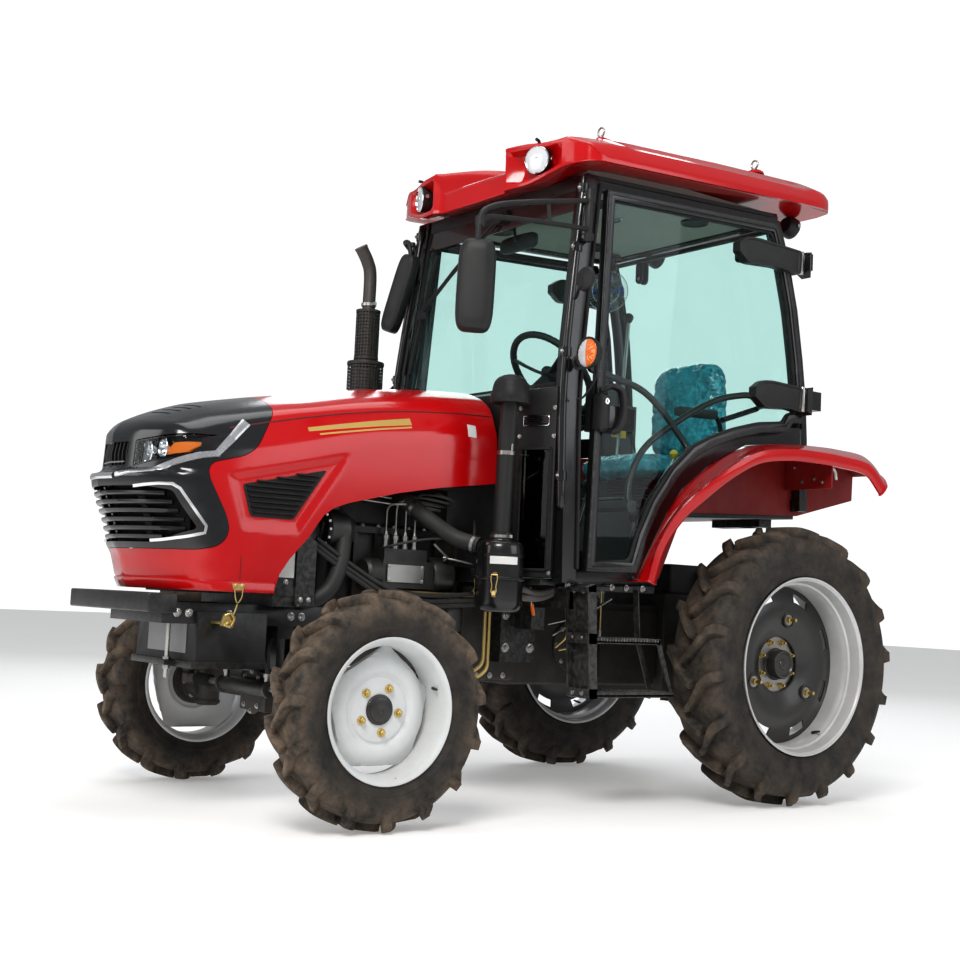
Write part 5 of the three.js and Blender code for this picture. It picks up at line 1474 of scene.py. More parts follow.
for cx, cy, r in ((-.30, 1.10, .055), (.30, 1.10, .055), (-.30, 1.62, .055), (.30, 1.62, .055)):
    z = liner_z(cx, cy)
    g.lathe([(z - .010, r), (z + .004, r + .002), (z + .004, r - .010), (z - .010, r - .008)], "z", (cx, cy), 28, 2)
    for k in range(-3, 4):
        w = math.sqrt(max(.0001, (r - .009) ** 2 - (k * .012) ** 2))
        g.box(cx - w, cx + w, cy + k * .012 - .0035, cy + k * .012 + .0035, z - .008, z - .003, 2)
    g.lathe([(z - .001, 0), (z - .001, r - .006), (z + .004, r - .006), (z + .004, 0)], "z", (cx, cy), 28, 2)
for cx in (-.10, .10):
    z = liner_z(cx, 1.36)
    g.rings([[(cx + .05 * k * math.cos(a), 1.36 + .024 * k * math.sin(a), z - h) for a in np.linspace(0, 2 * math.pi, 24, endpoint=False)] for k, h in ((1, -.002), (1, .006), (.9, .009), (.3, .010))], 3)
g.make("roof_panel", ["red_paint", "liner_grey", "dash_plastic", "chrome"], "chassis", "roof", slot="red_paint", angle=26)

# work lamps under the roof lip, the rear lamp and the lifting eyes
def work_lamp(g, c, n, r=.052):
    n = Vector(n).normalized()
    a = Vector((0, 0, 1)) - n * n.z
    a.normalize()
    b = n.cross(a)
    c = Vector(c)

    def ring(rad, t, k=32):
        return [tuple(c + n * t + a * (rad * math.cos(2 * math.pi * i / k)) + b * (rad * math.sin(2 * math.pi * i / k))) for i in range(k)]
    g.rings([ring(r * .45, -.048), ring(r * .75, -.042), ring(r * .95, -.022), ring(r, -.008), ring(r, .004), ring(r * .95, .007), ring(r * .92, .004), ring(r * .90, -.002), ring(r * .4, -.004)], 0)
    g.rings([ring(r * .96, .003), ring(r * .985, .006), ring(r * .93, .0085), ring(r * .90, .0045)], 1, closed=True)
    g.rings([ring(r * .895, -.0015), ring(r * .895, .0045), ring(r * .7, .0075), ring(r * .35, .0092), ring(r * .02, .0095)], 2)
    g.rings([ring(r * .16, .0085), ring(r * .15, .0105), ring(r * .05, .0112)], 1)
    for k in range(-4, 5):
        h = math.sqrt(max(0, (r * .82) ** 2 - (k * r * .19) ** 2))
        p = c + b * (k * r * .19) + n * (.0072 - .0022 * (k / 4) ** 2 * 1.5)
        g.tube([p - a * h, p, p + a * h], .0007, 6, 2)
    # bracket
    g.tube([c + a * (r + .001) - n * .012, c + a * (r + .012) - n * .012, c + a * (r + .020) - n * .006, c + a * (r + .022) + n * .010], .006, 10, 0)
    for s in (1, -1):
        g.tube([c + b * (s * (r + .001)) - n * .010, c + b * (s * (r + .006)) - n * .010], .008, 12, 1)
    return g


g = Geo()
work_lamp(g, (.372, .742, 2.318), (.32, -.94, -.05))
work_lamp(g, (-.372, .742, 2.318), (-.32, -.94, -.05))
work_lamp(g, (.40, 2.085, 2.318), (0, .97, -.22), .045)
work_lamp(g, (-.40, 2.085, 2.318), (0, .97, -.22), .045)
g.make("work_lamps", ["black_plastic", "chrome", "clear_lens"], "chassis", angle=35)
g = Geo()
for x, y in ((.42, 1.0), (-.42, 1.0), (.42, 1.83), (-.42, 1.83)):
    z = roof_top(abs(x), y)
    g.lathe([(z - .004, 0), (z - .004, .040), (z + .006, .037), (z + .013, .026), (z + .015, 0)], "z", (x, y), 28, 0)
    g.lathe([(z + .012, 0), (z + .012, .014), (z + .018, .013), (z + .022, .008), (z + .022, 0)], "z", (x, y), 20, 1)
    g.tube([(x + .017 * math.sin(t), y, z + .038 - .017 * math.cos(t)) for t in np.linspace(0, 2 * math.pi, 25)[:-1]], .0038, 10, 1, closed=True)
g.make("lifting_eyes", ["red_paint", "steel"], "chassis", angle=35)

# ------------------------------------------------------------------ cab frame
def cab_x(z):
    return .570 - .050 * (z - .81) / 1.48


AYT = [(.790, .802), (1.430, .800), (1.620, .812), (1.970, .850), (2.275, .886)]
BYT = [(1.100, 2.028), (1.420, 2.028), (1.580, 2.021), (1.740, 2.002), (1.940, 1.970), (2.137, 1.919), (2.321, 1.852)]
edged("cab_frame", "cab_posts", "black_gloss", "chassis", .004, 3)
g = Geo()


def side_path(tab, z0, z1, n, dx, dy):
    return [(cab_x(z) + dx, softlerp(tab, z, .06) + dy, z) for z in np.linspace(z0, z1, n)]


gl = Geo()
# round tube ahead of the front post, with clamps, and a weather seal behind it
tube_pts = side_path(AYT, 1.06, 2.245, 24, -.012, -.032)
gl.tube([(tube_pts[0][0] - .01, tube_pts[0][1] + .03, tube_pts[0][2] - .02)] + tube_pts + [(tube_pts[-1][0] - .01, tube_pts[-1][1] + .03, tube_pts[-1][2] + .01)], .0165, 16, 0)
for z in (1.16, 1.60, 1.985, 2.205):
    x, y = cab_x(z) - .012, softlerp(AYT, z, .06) - .032
    gl.lathe([(z - .016, .0165), (z - .016, .0215), (z + .016, .0215), (z + .016, .0165)], "z", (x, y), 20, 0)
    gl.bolt((x + .005, y - .021, z), (0, -1, 0), .006, .006, 1)
gl.tube(side_path(AYT, .84, 2.235, 24, .003, .035), .0065, 8, 2, flat=(.014, .010))
# rear edge seal, outside the rear post
gl.tube(side_path(BYT, 1.46, 2.24, 20, -.004, -.012), .006, 8, 2, flat=(.016, .010))
# header seam
gl.tube([(cab_x(2.24) - .004, .905, 2.256), (cab_x(2.27) - .004, 1.40, 2.281), (cab_x(2.29) - .004, 1.835, 2.303)], .006, 8, 2, flat=(.012, .016))
both(gl, "post_trim_{}", ["black_gloss", "steel", "rubber_seal"], ("chassis", "chassis"), angle=40)

# windscreen header band and the wiper
g = Geo()
rows = []
for x in np.linspace(-1, 1, 13):
    col = []
    for z, o in ((2.226, 0), (2.226, -.004), (2.165, -.004), (2.138, -.0035), (2.136, 0)):
        col.append((x * (cab_x(z) - .058), softlerp(AYT, z, .02) - .0125 + o, z))
    rows.append(col)
g.rings(rows, 0)
g.make("screen_header", "dark_band", "chassis", angle=40)

# wiper: pivot on the header, two arms and a long blade over the glass
def screen_y(z):
    return lerp([(1.49, .789), (1.62, .800), (1.97, .838), (2.212, .866)], z)


g = Geo()
pv = Vector((.03, screen_y(2.2) - .018, 2.185))
g.lathe([(pv.y - .012, 0), (pv.y - .012, .020), (pv.y + .004, .024), (pv.y + .020, .024), (pv.y + .020, 0)], "y", (pv.x, pv.z), 24, 0)
g.box(-.075, .065, .846, .872, 2.168, 2.214, 0)
a1 = Vector((-.425, screen_y(1.86) - .022, 1.86))
for o, r in ((Vector((0, 0, .010)), .0052), (Vector((-.022, 0, -.016)), .0042)):
    g.tube([pv + o * .4, pv.lerp(a1, .12) + o * 1.2 + Vector((0, -.006, 0)), pv.lerp(a1, .55) + o + Vector((0, -.010, 0)), a1 + o], r, 10, 0)
b0, b1 = Vector((-.385, screen_y(2.11) - .010, 2.11)), Vector((-.462, screen_y(1.62) - .010, 1.62))
g.tube([b0, b0.lerp(b1, .5) + Vector((0, -.010, 0)), b1], .006, 8, 0, flat=(.012, .010))
g.tube([b0 + Vector((0, .005, 0)), b0.lerp(b1, .5) + Vector((0, .003, 0)), b1 + Vector((0, .005, 0))], .004, 8, 1, flat=(.005, .014))
g.box(a1.x - .022, a1.x + .022, a1.y - .004, a1.y + .012, a1.z - .018, a1.z + .018, 0)
g.make("wiper", ["black_plastic", "rubber_seal"], "chassis", angle=40)

# ------------------------------------------------------------------ windows
for node, nm, mat in (("windscreen", "windscreen_pane", "cab_glass"), ("rear_window", "rear_window_pane", "cab_glass")):
    edged(node, nm, mat, "chassis", .0012, 2)
g = Geo()
zs = np.linspace(1.492, 2.21, 20)
for s in (1, -1):
    g.tube([(s * (cab_x(z) - .057), screen_y(z) + .001, z) for z in zs], .008, 8, 0, flat=(.020, .016))
g.tube([(x, screen_y(1.492) - .000, 1.492) for x in np.linspace(-.478, .478, 9)], .008, 8, 0, flat=(.020, .018))
ry = lambda z: softlerp(BYT, z, .03) + .007
zs = np.linspace(1.182, 2.257, 24)
for s in (1, -1):
    g.tube([(s * (cab_x(z) - .064), ry(z), z) for z in zs], .008, 8, 0, flat=(.020, .018))
for z in (1.182, 2.257):
    g.tube([(x, ry(z), z) for x in np.linspace(-.455 - .02 * (z < 2), .455 + .02 * (z < 2), 9)], .008, 8, 0, flat=(.020, .018))
g.make("window_seals", "rubber_seal", "chassis", angle=40)
# hinge clips of the rear window, its latch, and the rear work plate
g = Geo()
for x in (-.30, .30):
    y = ry(2.20)
    for yy in (y - .016, y + .012):
        g.rings([[(x + .022 * k * math.cos(a), yy + h, 2.205 + (.028 if math.sin(a) > 0 else -.028) + .022 * k * math.sin(a)) for a in np.linspace(0, 2 * math.pi, 24, endpoint=False)] for k, h in ((1, -.006), (1, .004), (.85, .006))], 0)
    g.bolt((x, y - .022, 2.178), (0, -1, 0), .006, .006, 1)
    g.bolt((x, y + .020, 2.178), (0, 1, 0), .006, .006, 1)
    g.tube([(x - .03, y + .02, 2.262), (x + .03, y + .02, 2.262)], .012, 14, 0)
g.tube([(-.07, ry(1.25) + .03, 1.25), (-.07, ry(1.25) + .055, 1.25), (.07, ry(1.25) + .055, 1.25), (.07, ry(1.25) + .03, 1.25)], .008, 10, 0)
g.box(-.09, .09, ry(1.25) + .002, ry(1.25) + .03, 1.23, 1.27, 0)
g.make("rear_window_clips", ["black_plastic", "steel"], "chassis", angle=38)

# ------------------------------------------------------------------ cowl and corner windows
edged("cowl", "cowl_panel", "black_plastic", "chassis", .005, 3)
for sd in ("left", "right"):
    edged("corner_window_" + sd, "corner_pane_" + sd, "dark_glass", "chassis", .001, 1)
g = Geo()
dl_ = math.hypot(144, 60)
ux, uy = 144 / dl_, 60 / dl_
CA = lambda s, n, z: (.386 + (ux * s - uy * n) / 1000, .692 + (uy * s + ux * n) / 1000, z)
loop = fillet([CA(20, -2, 1.256), CA(dl_ - 16, -2, 1.256), CA(dl_ - 16, -2, .832), CA(20, -2, .832)], .012, 5) if False else [CA(20, -2, 1.256), CA(dl_ - 16, -2, 1.256), CA(dl_ - 16, -2, .832), CA(20, -2, .832)]
for i in range(4):
    a, b = Vector(loop[i]), Vector(loop[(i + 1) % 4])
    g.tube([a, b], .006, 8, 0, flat=(.014, .008))
# slot with its bright surround, louvres under it, and the row of bolts
loop = fillet([CA(28, -3.5, 1.372), CA(dl_ - 26, -3.5, 1.372), CA(dl_ - 26, -3.5, 1.338), CA(28, -3.5, 1.338)], .010, 5)
g.tube(loop, .0035, 8, 1, closed=True)
for k in range(4):
    a, b = Vector(CA(34, -2, 1.347 + k * .0065)), Vector(CA(dl_ - 32, -2, 1.347 + k * .0065))
    g.tube([a, b], .002, 6, 2)
for s_, z in ((12, 1.40), (dl_ - 8, 1.40), (12, 1.30), (dl_ - 8, 1.30), (12, .82), (dl_ - 8, .82)):
    g.bolt(CA(s_, -.5, z), (uy, -ux, 0), .006, .006, 3)
both(g, "cowl_trim_{}", ["rubber_seal", "chrome", "black_gloss", "steel"], ("chassis", "chassis"), angle=38)


# ------------------------------------------------------------------ doors
for sd, s, body in (("left", 1, "door_left"), ("right", -1, "door_right")):
    edged("door_frame_" + sd, "door_frame_bevelled_" + sd, "black_gloss", body, .0045, 3)
    edged("door_glass_" + sd, "door_pane_" + sd, "cab_glass", body, .0012, 1)

DOORP = [(.858, .834), (1.096, .840), (1.140, .965), (1.205, 1.085), (1.300, 1.205), (1.400, 1.292), (1.480, 1.330), (1.600, 1.375), (1.740, 1.412), (1.896, 1.432), (1.922, 1.470), (1.992, 1.476), (1.988, 1.580), (1.970, 1.740), (1.938, 1.940), (1.890, 2.120), (1.834, 2.262), (.930, 2.212)]


def inset(poly, d):
    n, out = len(poly), []
    for i in range(n):
        a, b, c = (Vector((*poly[k % n], 0)) for k in (i - 1, i, i + 1))
        u, v = (b - a).normalized(), (c - b).normalized()
        m = Vector((-u.y - v.y, u.x + v.x, 0))
        k = d / (1 + u.dot(v))
        out.append((b.x + m.x * k, b.y + m.y * k))
    return out


g = Geo()
loop3 = lambda poly, off: [(cab_x(z) + off, y, z) for y, z in poly]
# rubber around the pane and the outer lip of the frame
lp = fillet(loop3(inset(DOORP, .036), .0185), .030, 5)
g.tube(lp, .006, 8, 1, closed=True, flat=(.012, .016))
lp = fillet(loop3(inset(DOORP, .012), .0315), .022, 4)
g.tube(lp, .004, 8, 0, closed=True, flat=(.006, .018))
# upper and lower hinge covers: moulded arms with a sunken border, closed outside the plain ones
def hinge_cover(g, x0, out, outline, t):
    # outline in (y, z); crowned outer face with a raised border
    cy = sum(p[0] for p in outline) / len(outline)
    cz = sum(p[1] for p in outline) / len(outline)
    base = fillet([(0, y, z) for y, z in outline], .016, 4)

    def ring(k, x):
        return [(x, cy + (p.y - cy) * k[0], cz + (p.z - cz) * k[1]) for p in (Vector(q_) for q_ in base)]
    g.rings([ring((1, 1), x0), ring((1, 1), x0 + t * .75), ring((.985, .965), x0 + t), ring((.93, .82), x0 + t), ring((.915, .79), x0 + t - .003), ring((.80, .60), x0 + t - .0015), ring((.2, .2), x0 + t - .001)], 2)


hinge_cover(g, .546, 1, [(1.588, 2.104), (1.640, 2.066), (1.800, 2.078), (1.946, 2.070), (1.952, 2.168), (1.700, 2.176), (1.632, 2.170), (1.588, 2.140)], .036)
hinge_cover(g, .568, 1, [(1.678, 1.546), (1.735, 1.508), (1.880, 1.520), (1.946, 1.512), (1.952, 1.616), (1.780, 1.622), (1.722, 1.616), (1.678, 1.584)], .036)
# outer handle: body with a pull and a bright key barrel
g.rings([[(.600 + dx_, .904 + ky * .020 * k, 1.396 + kz * .060 * k + 0 * dx_) for ky, kz in ((1, 1), (.5, 1.15), (-.5, 1.15), (-1, 1), (-1.05, 0), (-1, -1), (-.5, -1.15), (.5, -1.15), (1, -1), (1.05, 0))] for dx_, k in ((-.030, 1), (.006, 1), (.016, .86), (.019, .6))], 2)
g.lathe([(.606, 0), (.606, .012), (.622, .012), (.6235, .009), (.6225, .0085), (.6225, 0)], "x", (.905, 1.434), 20, 3)
g.box(.6215, .6245, .9035, .9065, 1.428, 1.440, 2)
hp = smooth_path([(.604, .905, 1.475), (.622, .925, 1.488), (.628, .965, 1.470), (.628, .975, 1.400), (.624, .960, 1.345), (.606, .945, 1.330)], 16)
g.tube(hp, .011, 12, 2, flat=(.030, .018))
# inner release box and the grab rails on the frame
g.box(.520, .552, .890, 1.010, 1.330, 1.510, 4)
rail_a = smooth_path([(.556, .890, 1.560), (.528, .905, 1.556), (.516, 1.00, 1.545), (.516, 1.15, 1.518), (.522, 1.25, 1.460), (.530, 1.335, 1.379), (.548, 1.36, 1.335), (.566, 1.365, 1.302)], 8)
g.tube(rail_a, .0125, 14, 0)
rail_b = smooth_path([(.574, 1.70, 1.552), (.548, 1.660, 1.552), (.530, 1.540, 1.520), (.522, 1.385, 1.440), (.520, 1.21, 1.325), (.524, 1.13, 1.225), (.542, 1.09, 1.12), (.566, 1.085, 1.075)], 8)
g.tube(rail_b, .0125, 14, 0)
for p in (rail_a[0], rail_a[-1], rail_b[0], rail_b[-1]):
    g.disc(p, (1, 0, 0), .022, .006, 18, 0, .001)
# striker plate and lower latch on the door's front bar
g.box(.583, .596, .872, .888, .86, .93, 3)
for z in (.90, 1.20, 1.75, 2.05):
    g.disc((cab_x(z) + .030, .874 + lerp([(.834, 0), (2.212, .070)], z), z), (1, 0, .03), .006, .003, 12, 4, .001)
both(g, "door_fittings_{}", ["black_paint", "rubber_seal", "black_plastic", "chrome", "black_plastic"], ("door_left", "door_right"), angle=36)

# gas strut between the rear post and the door
g = Geo()
a, b = Vector((.490, 1.965, 1.575)), Vector((.508, 1.60, 1.452))
m = a.lerp(b, .45)
g.tube([a, m], .007, 12, 1)
g.tube([m, b], .0115, 14, 0)
both(g, "door_strut_{}", ["black_gloss", "steel"], ("door_left", "door_right"), angle=40)

# fixed hinge brackets with their pins, on the rear posts
g = Geo()
for x0, z0, z1 in ((.572, 2.082, 2.160), (.598, 1.524, 1.610)):
    g.rings([[(x0 + dx_, 1.953 + .012, z0 - .004), (x0 + dx_, 1.992, z0 - .016), (x0 + dx_, 1.996, z1 + .010), (x0 + dx_, 1.953 + .012, z1 + .004)] for dx_ in (-.028, .018)], 0)
    g.lathe([(z0 - .006, 0), (z0 - .006, .0105), (z0 - .002, .0125), (z1 + .002, .0125), (z1 + .008, .0105), (z1 + .008, 0)], "z", (x0 - .004, 1.958), 18, 1)
both(g, "hinge_pins_{}", ["black_plastic", "steel"], ("chassis", "chassis"), angle=36)

# ------------------------------------------------------------------ mirrors
def rounded_head(g, C, D, H, w, h, t, cap=0, face=1):
    """Mirror head: shell with a crowned back, a lip and the reflecting plate set in it. D points back (the plate's side), H up."""
    C, D, H = Vector(C), Vector(D).normalized(), Vector(H).normalized()
    N = D.cross(H).normalized()
    H = N.cross(D).normalized()

    def ring(s, k, sc=(1, 1)):
        out = []
        for i in range(48):
            a = 2 * math.pi * i / 48
            ca, sa = math.cos(a), math.sin(a)
            e = .42
            x = math.copysign(abs(ca) ** e, ca) * w / 2 * k * sc[0]
            z = math.copysign(abs(sa) ** e, sa) * (h / 2 - w * .5 * (1 - k)) * sc[1]
            out.append(C + D * s + N * x + H * z)
        return out
    g.rings([ring(-t * .5, .35), ring(-t * .47, .62), ring(-t * .36, .84), ring(-t * .12, .97), ring(t * .25, 1.0), ring(t * .5, 1.0), ring(t * .5, .955), ring(t * .38, .945), ring(t * .38, .2)], cap)
    g.rings([ring(t * .36, .935), ring(t * .42, .93), ring(t * .43, .915), ring(t * .43, .1)], face)
    return g


g = Geo()
arm1 = smooth_path([(.562, .836, 2.150), (.600, .700, 2.112), (.660, .480, 2.052), (.728, .290, 1.988), (.748, .222, 1.935), (.750, .215, 1.840)], 10)
arm2 = smooth_path([(.562, .836, 2.045), (.600, .700, 2.026), (.660, .480, 1.990), (.728, .275, 1.948), (.746, .226, 1.915)], 9)
g.tube(arm1, .0092, 12, 0)
g.tube(arm2, .0092, 12, 0)
g.tube([arm1[15], arm2[13]], .007, 10, 0)
g.lathe([(2.000, 0), (2.000, .0125), (2.006, .0145), (2.184, .0145), (2.190, .0125), (2.190, 0)], "z", (.562, .836), 20, 0)
for z in (2.020, 2.160):
    g.box(.528, .566, .828, .858, z - .013, z + .013, 0)
    g.bolt((.548, .827, z), (0, -1, 0), .006, .006, 2)
g.lathe([(1.905, 0), (1.905, .016), (1.935, .016), (1.935, 0)], "z", (.747, .222), 16, 0)
rounded_head(g, (.750, .215, 1.712), (-.83, .55, 0), (.03, 0, 1), .122, .300, .054)
g.make("mirror_near", ["black_plastic", "mirror_face", "steel"], "chassis", replaces="mirror_left", angle=34, slot="black_plastic")
g = Geo()
arm1 = smooth_path([(-.562, .836, 2.150), (-.562, .800, 2.182), (-.520, .792, 2.172), (-.497, .790, 2.105)], 8)
arm2 = smooth_path([(-.562, .836, 2.045), (-.548, .800, 2.046), (-.516, .768, 2.030)], 8)
g.tube(arm1, .0092, 12, 0)
g.tube(arm2, .0092, 12, 0)
g.lathe([(2.000, 0), (2.000, .0125), (2.006, .0145), (2.184, .0145), (2.190, .0125), (2.190, 0)], "z", (-.562, .836), 20, 0)
for z in (2.020, 2.160):
    g.box(-.528, -.566, .828, .858, z - .013, z + .013, 0)
    g.bolt((-.548, .827, z), (0, -1, 0), .006, .006, 2)
rounded_head(g, (-.515, .752, 1.955), (-.36, .93, 0), (.23, .28, 1), .088, .330, .044)
g.make("mirror_far", ["black_plastic", "mirror_face", "steel"], "chassis", replaces="mirror_right", angle=34, slot="black_plastic")

# side lamps: stalk, dished black housing, half clear and half amber lens with ribs
def turn_lamp(g):
    c = (.690, 1.575)
    g.lathe([(.792, 0), (.792, .020), (.782, .036), (.762, .050), (.748, .0555), (.741, .0555), (.741, .0500), (.746, .0495), (.746, 0)], "y", c, 40, 0)
    for s, m in ((-1, 3), (1, 2)):
        rows = []
        for k in range(9):
            r = .0495 * math.sin(math.pi / 2 * k / 8)
            y = .746 - .012 * math.cos(math.pi / 2 * k / 8)
            rows.append([(c[0] + s * r * math.cos(a) + s * .0006, y + (.0009 * math.sin(18 * a) if 1 < k < 8 else 0), c[1] + r * math.sin(a)) for a in np.linspace(-math.pi / 2, math.pi / 2, 25)])
        rows[0] = [(c[0] + s * .0008, .734, c[1] + .0008 * math.sin(a)) for a in np.linspace(-math.pi / 2, math.pi / 2, 25)]
        # closed wedge: front skin, then the flat back
        g.rings(rows + [[(p[0], .748, p[2]) for p in rows[-1]], [(c[0] + s * .0006, .748, p[2]) for p in rows[-1]], [(c[0] + s * .0006, .746, c[1] + .002 * math.sin(a)) for a in np.linspace(-math.pi / 2, math.pi / 2, 25)]], m)
    g.tube(smooth_path([(.690, .786, 1.575), (.670, .794, 1.566), (.630, .800, 1.560), (.566, .800, 1.560)], 16), .0105, 12, 0)
    g.lathe([(.585, .0105), (.585, .016), (.615, .016), (.615, .0105)], "x", (.800, 1.560), 16, 0)
    g.disc((.574, .800, 1.560), (1, 0, 0), .026, .006, 20, 0, .001)
    g.tube(smooth_path([(.690, .786, 1.555), (.676, .800, 1.50), (.610, .806, 1.44), (.578, .800, 1.43)], 18), .004, 8, 0)
    return g


both(turn_lamp(Geo()), "side_lamp_{}", ["black_plastic", "steel", "amber", "clear_lens"], ("chassis", "chassis"), replaces="turn_lamp_{}", angle=30, slot="amber_lens")

# small round mirror on the near post
g = Geo()
c = Vector((.665, .742, 1.835))
g.lathe([(c.y - .014, 0), (c.y - .014, .020), (c.y - .006, .040), (c.y + .004, .044), (c.y + .008, .042), (c.y + .004, .040), (c.y + .004, 0)], "y", (c.x, c.z), 32, 0)
g.lathe([(c.y + .003, 0), (c.y + .003, .039), (c.y + .0055, .038), (c.y + .0065, 0)], "y", (c.x, c.z), 32, 1)
g.tube(smooth_path([(c.x, c.y - .012, c.z), (.640, .735, 1.80), (.590, .770, 1.79), (.556, .790, 1.79)], 16), .006, 10, 0)
g.make("round_mirror", ["black_plastic", "mirror_face"], "chassis", angle=34)

# ------------------------------------------------------------------ fenders
FI = [(1.125, .812), (1.204, .945), (1.275, 1.060), (1.352, 1.157), (1.505, 1.268), (1.690, 1.355), (1.850, 1.376), (1.992, 1.384), (2.126, 1.386), (2.290, 1.374), (2.390, 1.308)]
FO = [(.625, 1.128, .812), (.640, 1.160, .945), (.684, 1.210, 1.062), (.736, 1.290, 1.160), (.768, 1.395, 1.245), (.775, 1.530, 1.308), (.775, 1.700, 1.334), (.775, 1.850, 1.338), (.775, 1.990, 1.334), (.775, 2.160, 1.316), (.775, 2.262, 1.240)]


def fender():
    g = Geo()
    I = smooth_path([(0, y, z) for y, z in FI], 7)
    O = smooth_path(FO, 7)
    n = len(I)
    I = [Vector(p) for p in I]
    O = [Vector(p) for p in O]
    rings, rib, rib2 = [], [], []
    for i in range(n):
        a, b = max(0, i - 1), min(n - 1, i + 1)
        t = Vector((0, I[b].y - I[a].y, I[b].z - I[a].z)).normalized()
        ni = Vector((0, t.z, -t.y))
        t2 = Vector((0, O[b].y - O[a].y, O[b].z - O[a].z)).normalized()
        no = Vector((0, t2.z, -t2.y))
        p0, ox = I[i], O[i].x
        q0 = Vector((0, O[i].y, O[i].z))

        def at(s, off):
            """s from the cab side (0) across the shoulder to the lip (1)"""
            x = .505 + (ox - .505) * s
            e = max(0, (s - .25) / .75)
            k = 1 - math.cos(min(1, e) * math.pi / 2)
            k = e ** 1.9 if e > 0 else 0
            base = Vector((0, p0.y + (q0.y - p0.y) * k, p0.z + (q0.z - p0.z) * k))
            nn = (ni * (1 - k) + no * k).normalized()
            return Vector((x, base.y, base.z)) + nn * off
        S = [0, .12, .25, .38, .5, .6, .68, .75, .82, .87, .91, .945, .97, .99]
        crease = lambda s: -.004 * math.exp(-((s - .62) / .05) ** 2)
        outer = [at(s, crease(s)) for s in S]
        lip = [Vector((ox, q0.y, q0.z)) + no * .008, Vector((ox + .001, q0.y, q0.z)) + no * .020, Vector((ox - .001, q0.y, q0.z)) + no * .034, Vector((ox - .006, q0.y, q0.z)) + no * .043,
               Vector((ox - .013, q0.y, q0.z)) + no * .044, Vector((ox - .017, q0.y, q0.z)) + no * .038, Vector((ox - .016, q0.y, q0.z)) + no * .028, Vector((ox - .013, q0.y, q0.z)) + no * .020]
        inner = [at(s, .010) for s in reversed(S[:-2])]
        rings.append([tuple(p) for p in outer + lip + inner])
    # close the ends with a turned edge
    g.rings(rings, 0)
    # underside and the inner face of the lip take the darker red of painted shade
    g.mi = [0] * len(g.mi)
    m_in = len(rings[0])
    k_out = 14 + 5
    for fi in range((n - 1) * m_in):
        j = fi % m_in
        if k_out <= j < m_in - 1:
            g.mi[fi] = 1
    # front end flange and the rear edge bead
    g.tube([Vector(rings[-1][j]) for j in range(0, 19)], .0055, 8, 0)
    g.tube([Vector(rings[0][j]) for j in range(0, 19)], .0045, 8, 0)
    # inner wall of the arch
    wall = [(1.136, .814), (1.290, .826), (1.406, 1.080), (2.040, 1.112), (2.380, 1.200), (2.384, 1.308), (2.290, 1.370), (2.126, 1.382), (1.992, 1.380), (1.850, 1.372), (1.690, 1.351), (1.505, 1.264), (1.352, 1.153), (1.275, 1.056), (1.204, .941)]
    # wall in the darker red of painted shade
    g.prism(wall, "x", .499, .509, 1)
    # stiffening bracket under the rear, with the lamp sockets and loose leads
    g.box(.512, .745, 1.965, 1.972, 1.210, 1.335, 1)
    g.box(.512, .745, 1.972, 1.990, 1.325, 1.332, 1)
    for x, z in ((.60, 1.24), (.66, 1.25), (.70, 1.235), (.56, 1.30)):
        g.bolt((x, 1.964, z), (0, -1, 0), .006, .005, 3)
    return g


g = fender()
w = smooth_path([(.66, 1.975, 1.300), (.67, 2.02, 1.285), (.655, 2.06, 1.270), (.65, 2.08, 1.240)], 14)
g.tube(w, .005, 8, 2)
g.tube(smooth_path([(.69, 1.975, 1.300), (.70, 2.03, 1.292), (.69, 2.06, 1.255)], 12), .006, 8, 4)
g.tube(smooth_path([(.64, 1.975, 1.30), (.63, 2.03, 1.295), (.636, 2.05, 1.262)], 12), .0045, 8, 3)
both(g, "fender_{}_panel", ["red_paint", "red_underside_shade", "black_plastic", "steel", "label_white"], ("chassis", "chassis"), replaces="fender_{}", angle=34, slot="red_paint")



# ------------------------------------------------------------------ engine
def ribs(g, x0, x1, ys, z0, z1, w, mat=0):
    for y in ys:
        g.box(x0, x1, y - w / 2, y + w / 2, z0, z1, mat)


edged("engine_block", "engine_casting", "cast_iron", "chassis", .010, 3)
edged("front_frame", "chassis_rails", "black_paint", "chassis", .004, 2)
edged("radiator", "radiator_core", "black_paint", "chassis", .004, 2)
edged("transmission", "transmission_case", "cast_iron", "chassis", .010, 3)
edged("front_axle", "axle_beam", "cast_iron", "chassis", .005, 2)
edged("steer_cylinder", "steering_ram", "black_paint", "chassis", .002, 2)
edged("steer_rod", "ram_rod", "steel", "tie_rod", .0015, 2)
for sd, bd in (("left", "knuckle_l"), ("right", "knuckle_r")):
    edged("knuckle_" + sd, "knuckle_case_" + sd, "cast_iron", bd, .004, 2)
edged("weight_bar", "bumper_bar", "black_paint", "chassis", .006, 3)
edged("drawbar", "drawbar_plate", "cast_iron", "chassis", .004, 2)
edged("top_link", "top_link_bar", "cast_iron", "chassis", .002, 2)
for sd in ("left", "right"):
    edged("lower_link_" + sd, "lower_arm_" + sd, "cast_iron", "link_" + sd, .003, 2)

g = Geo()
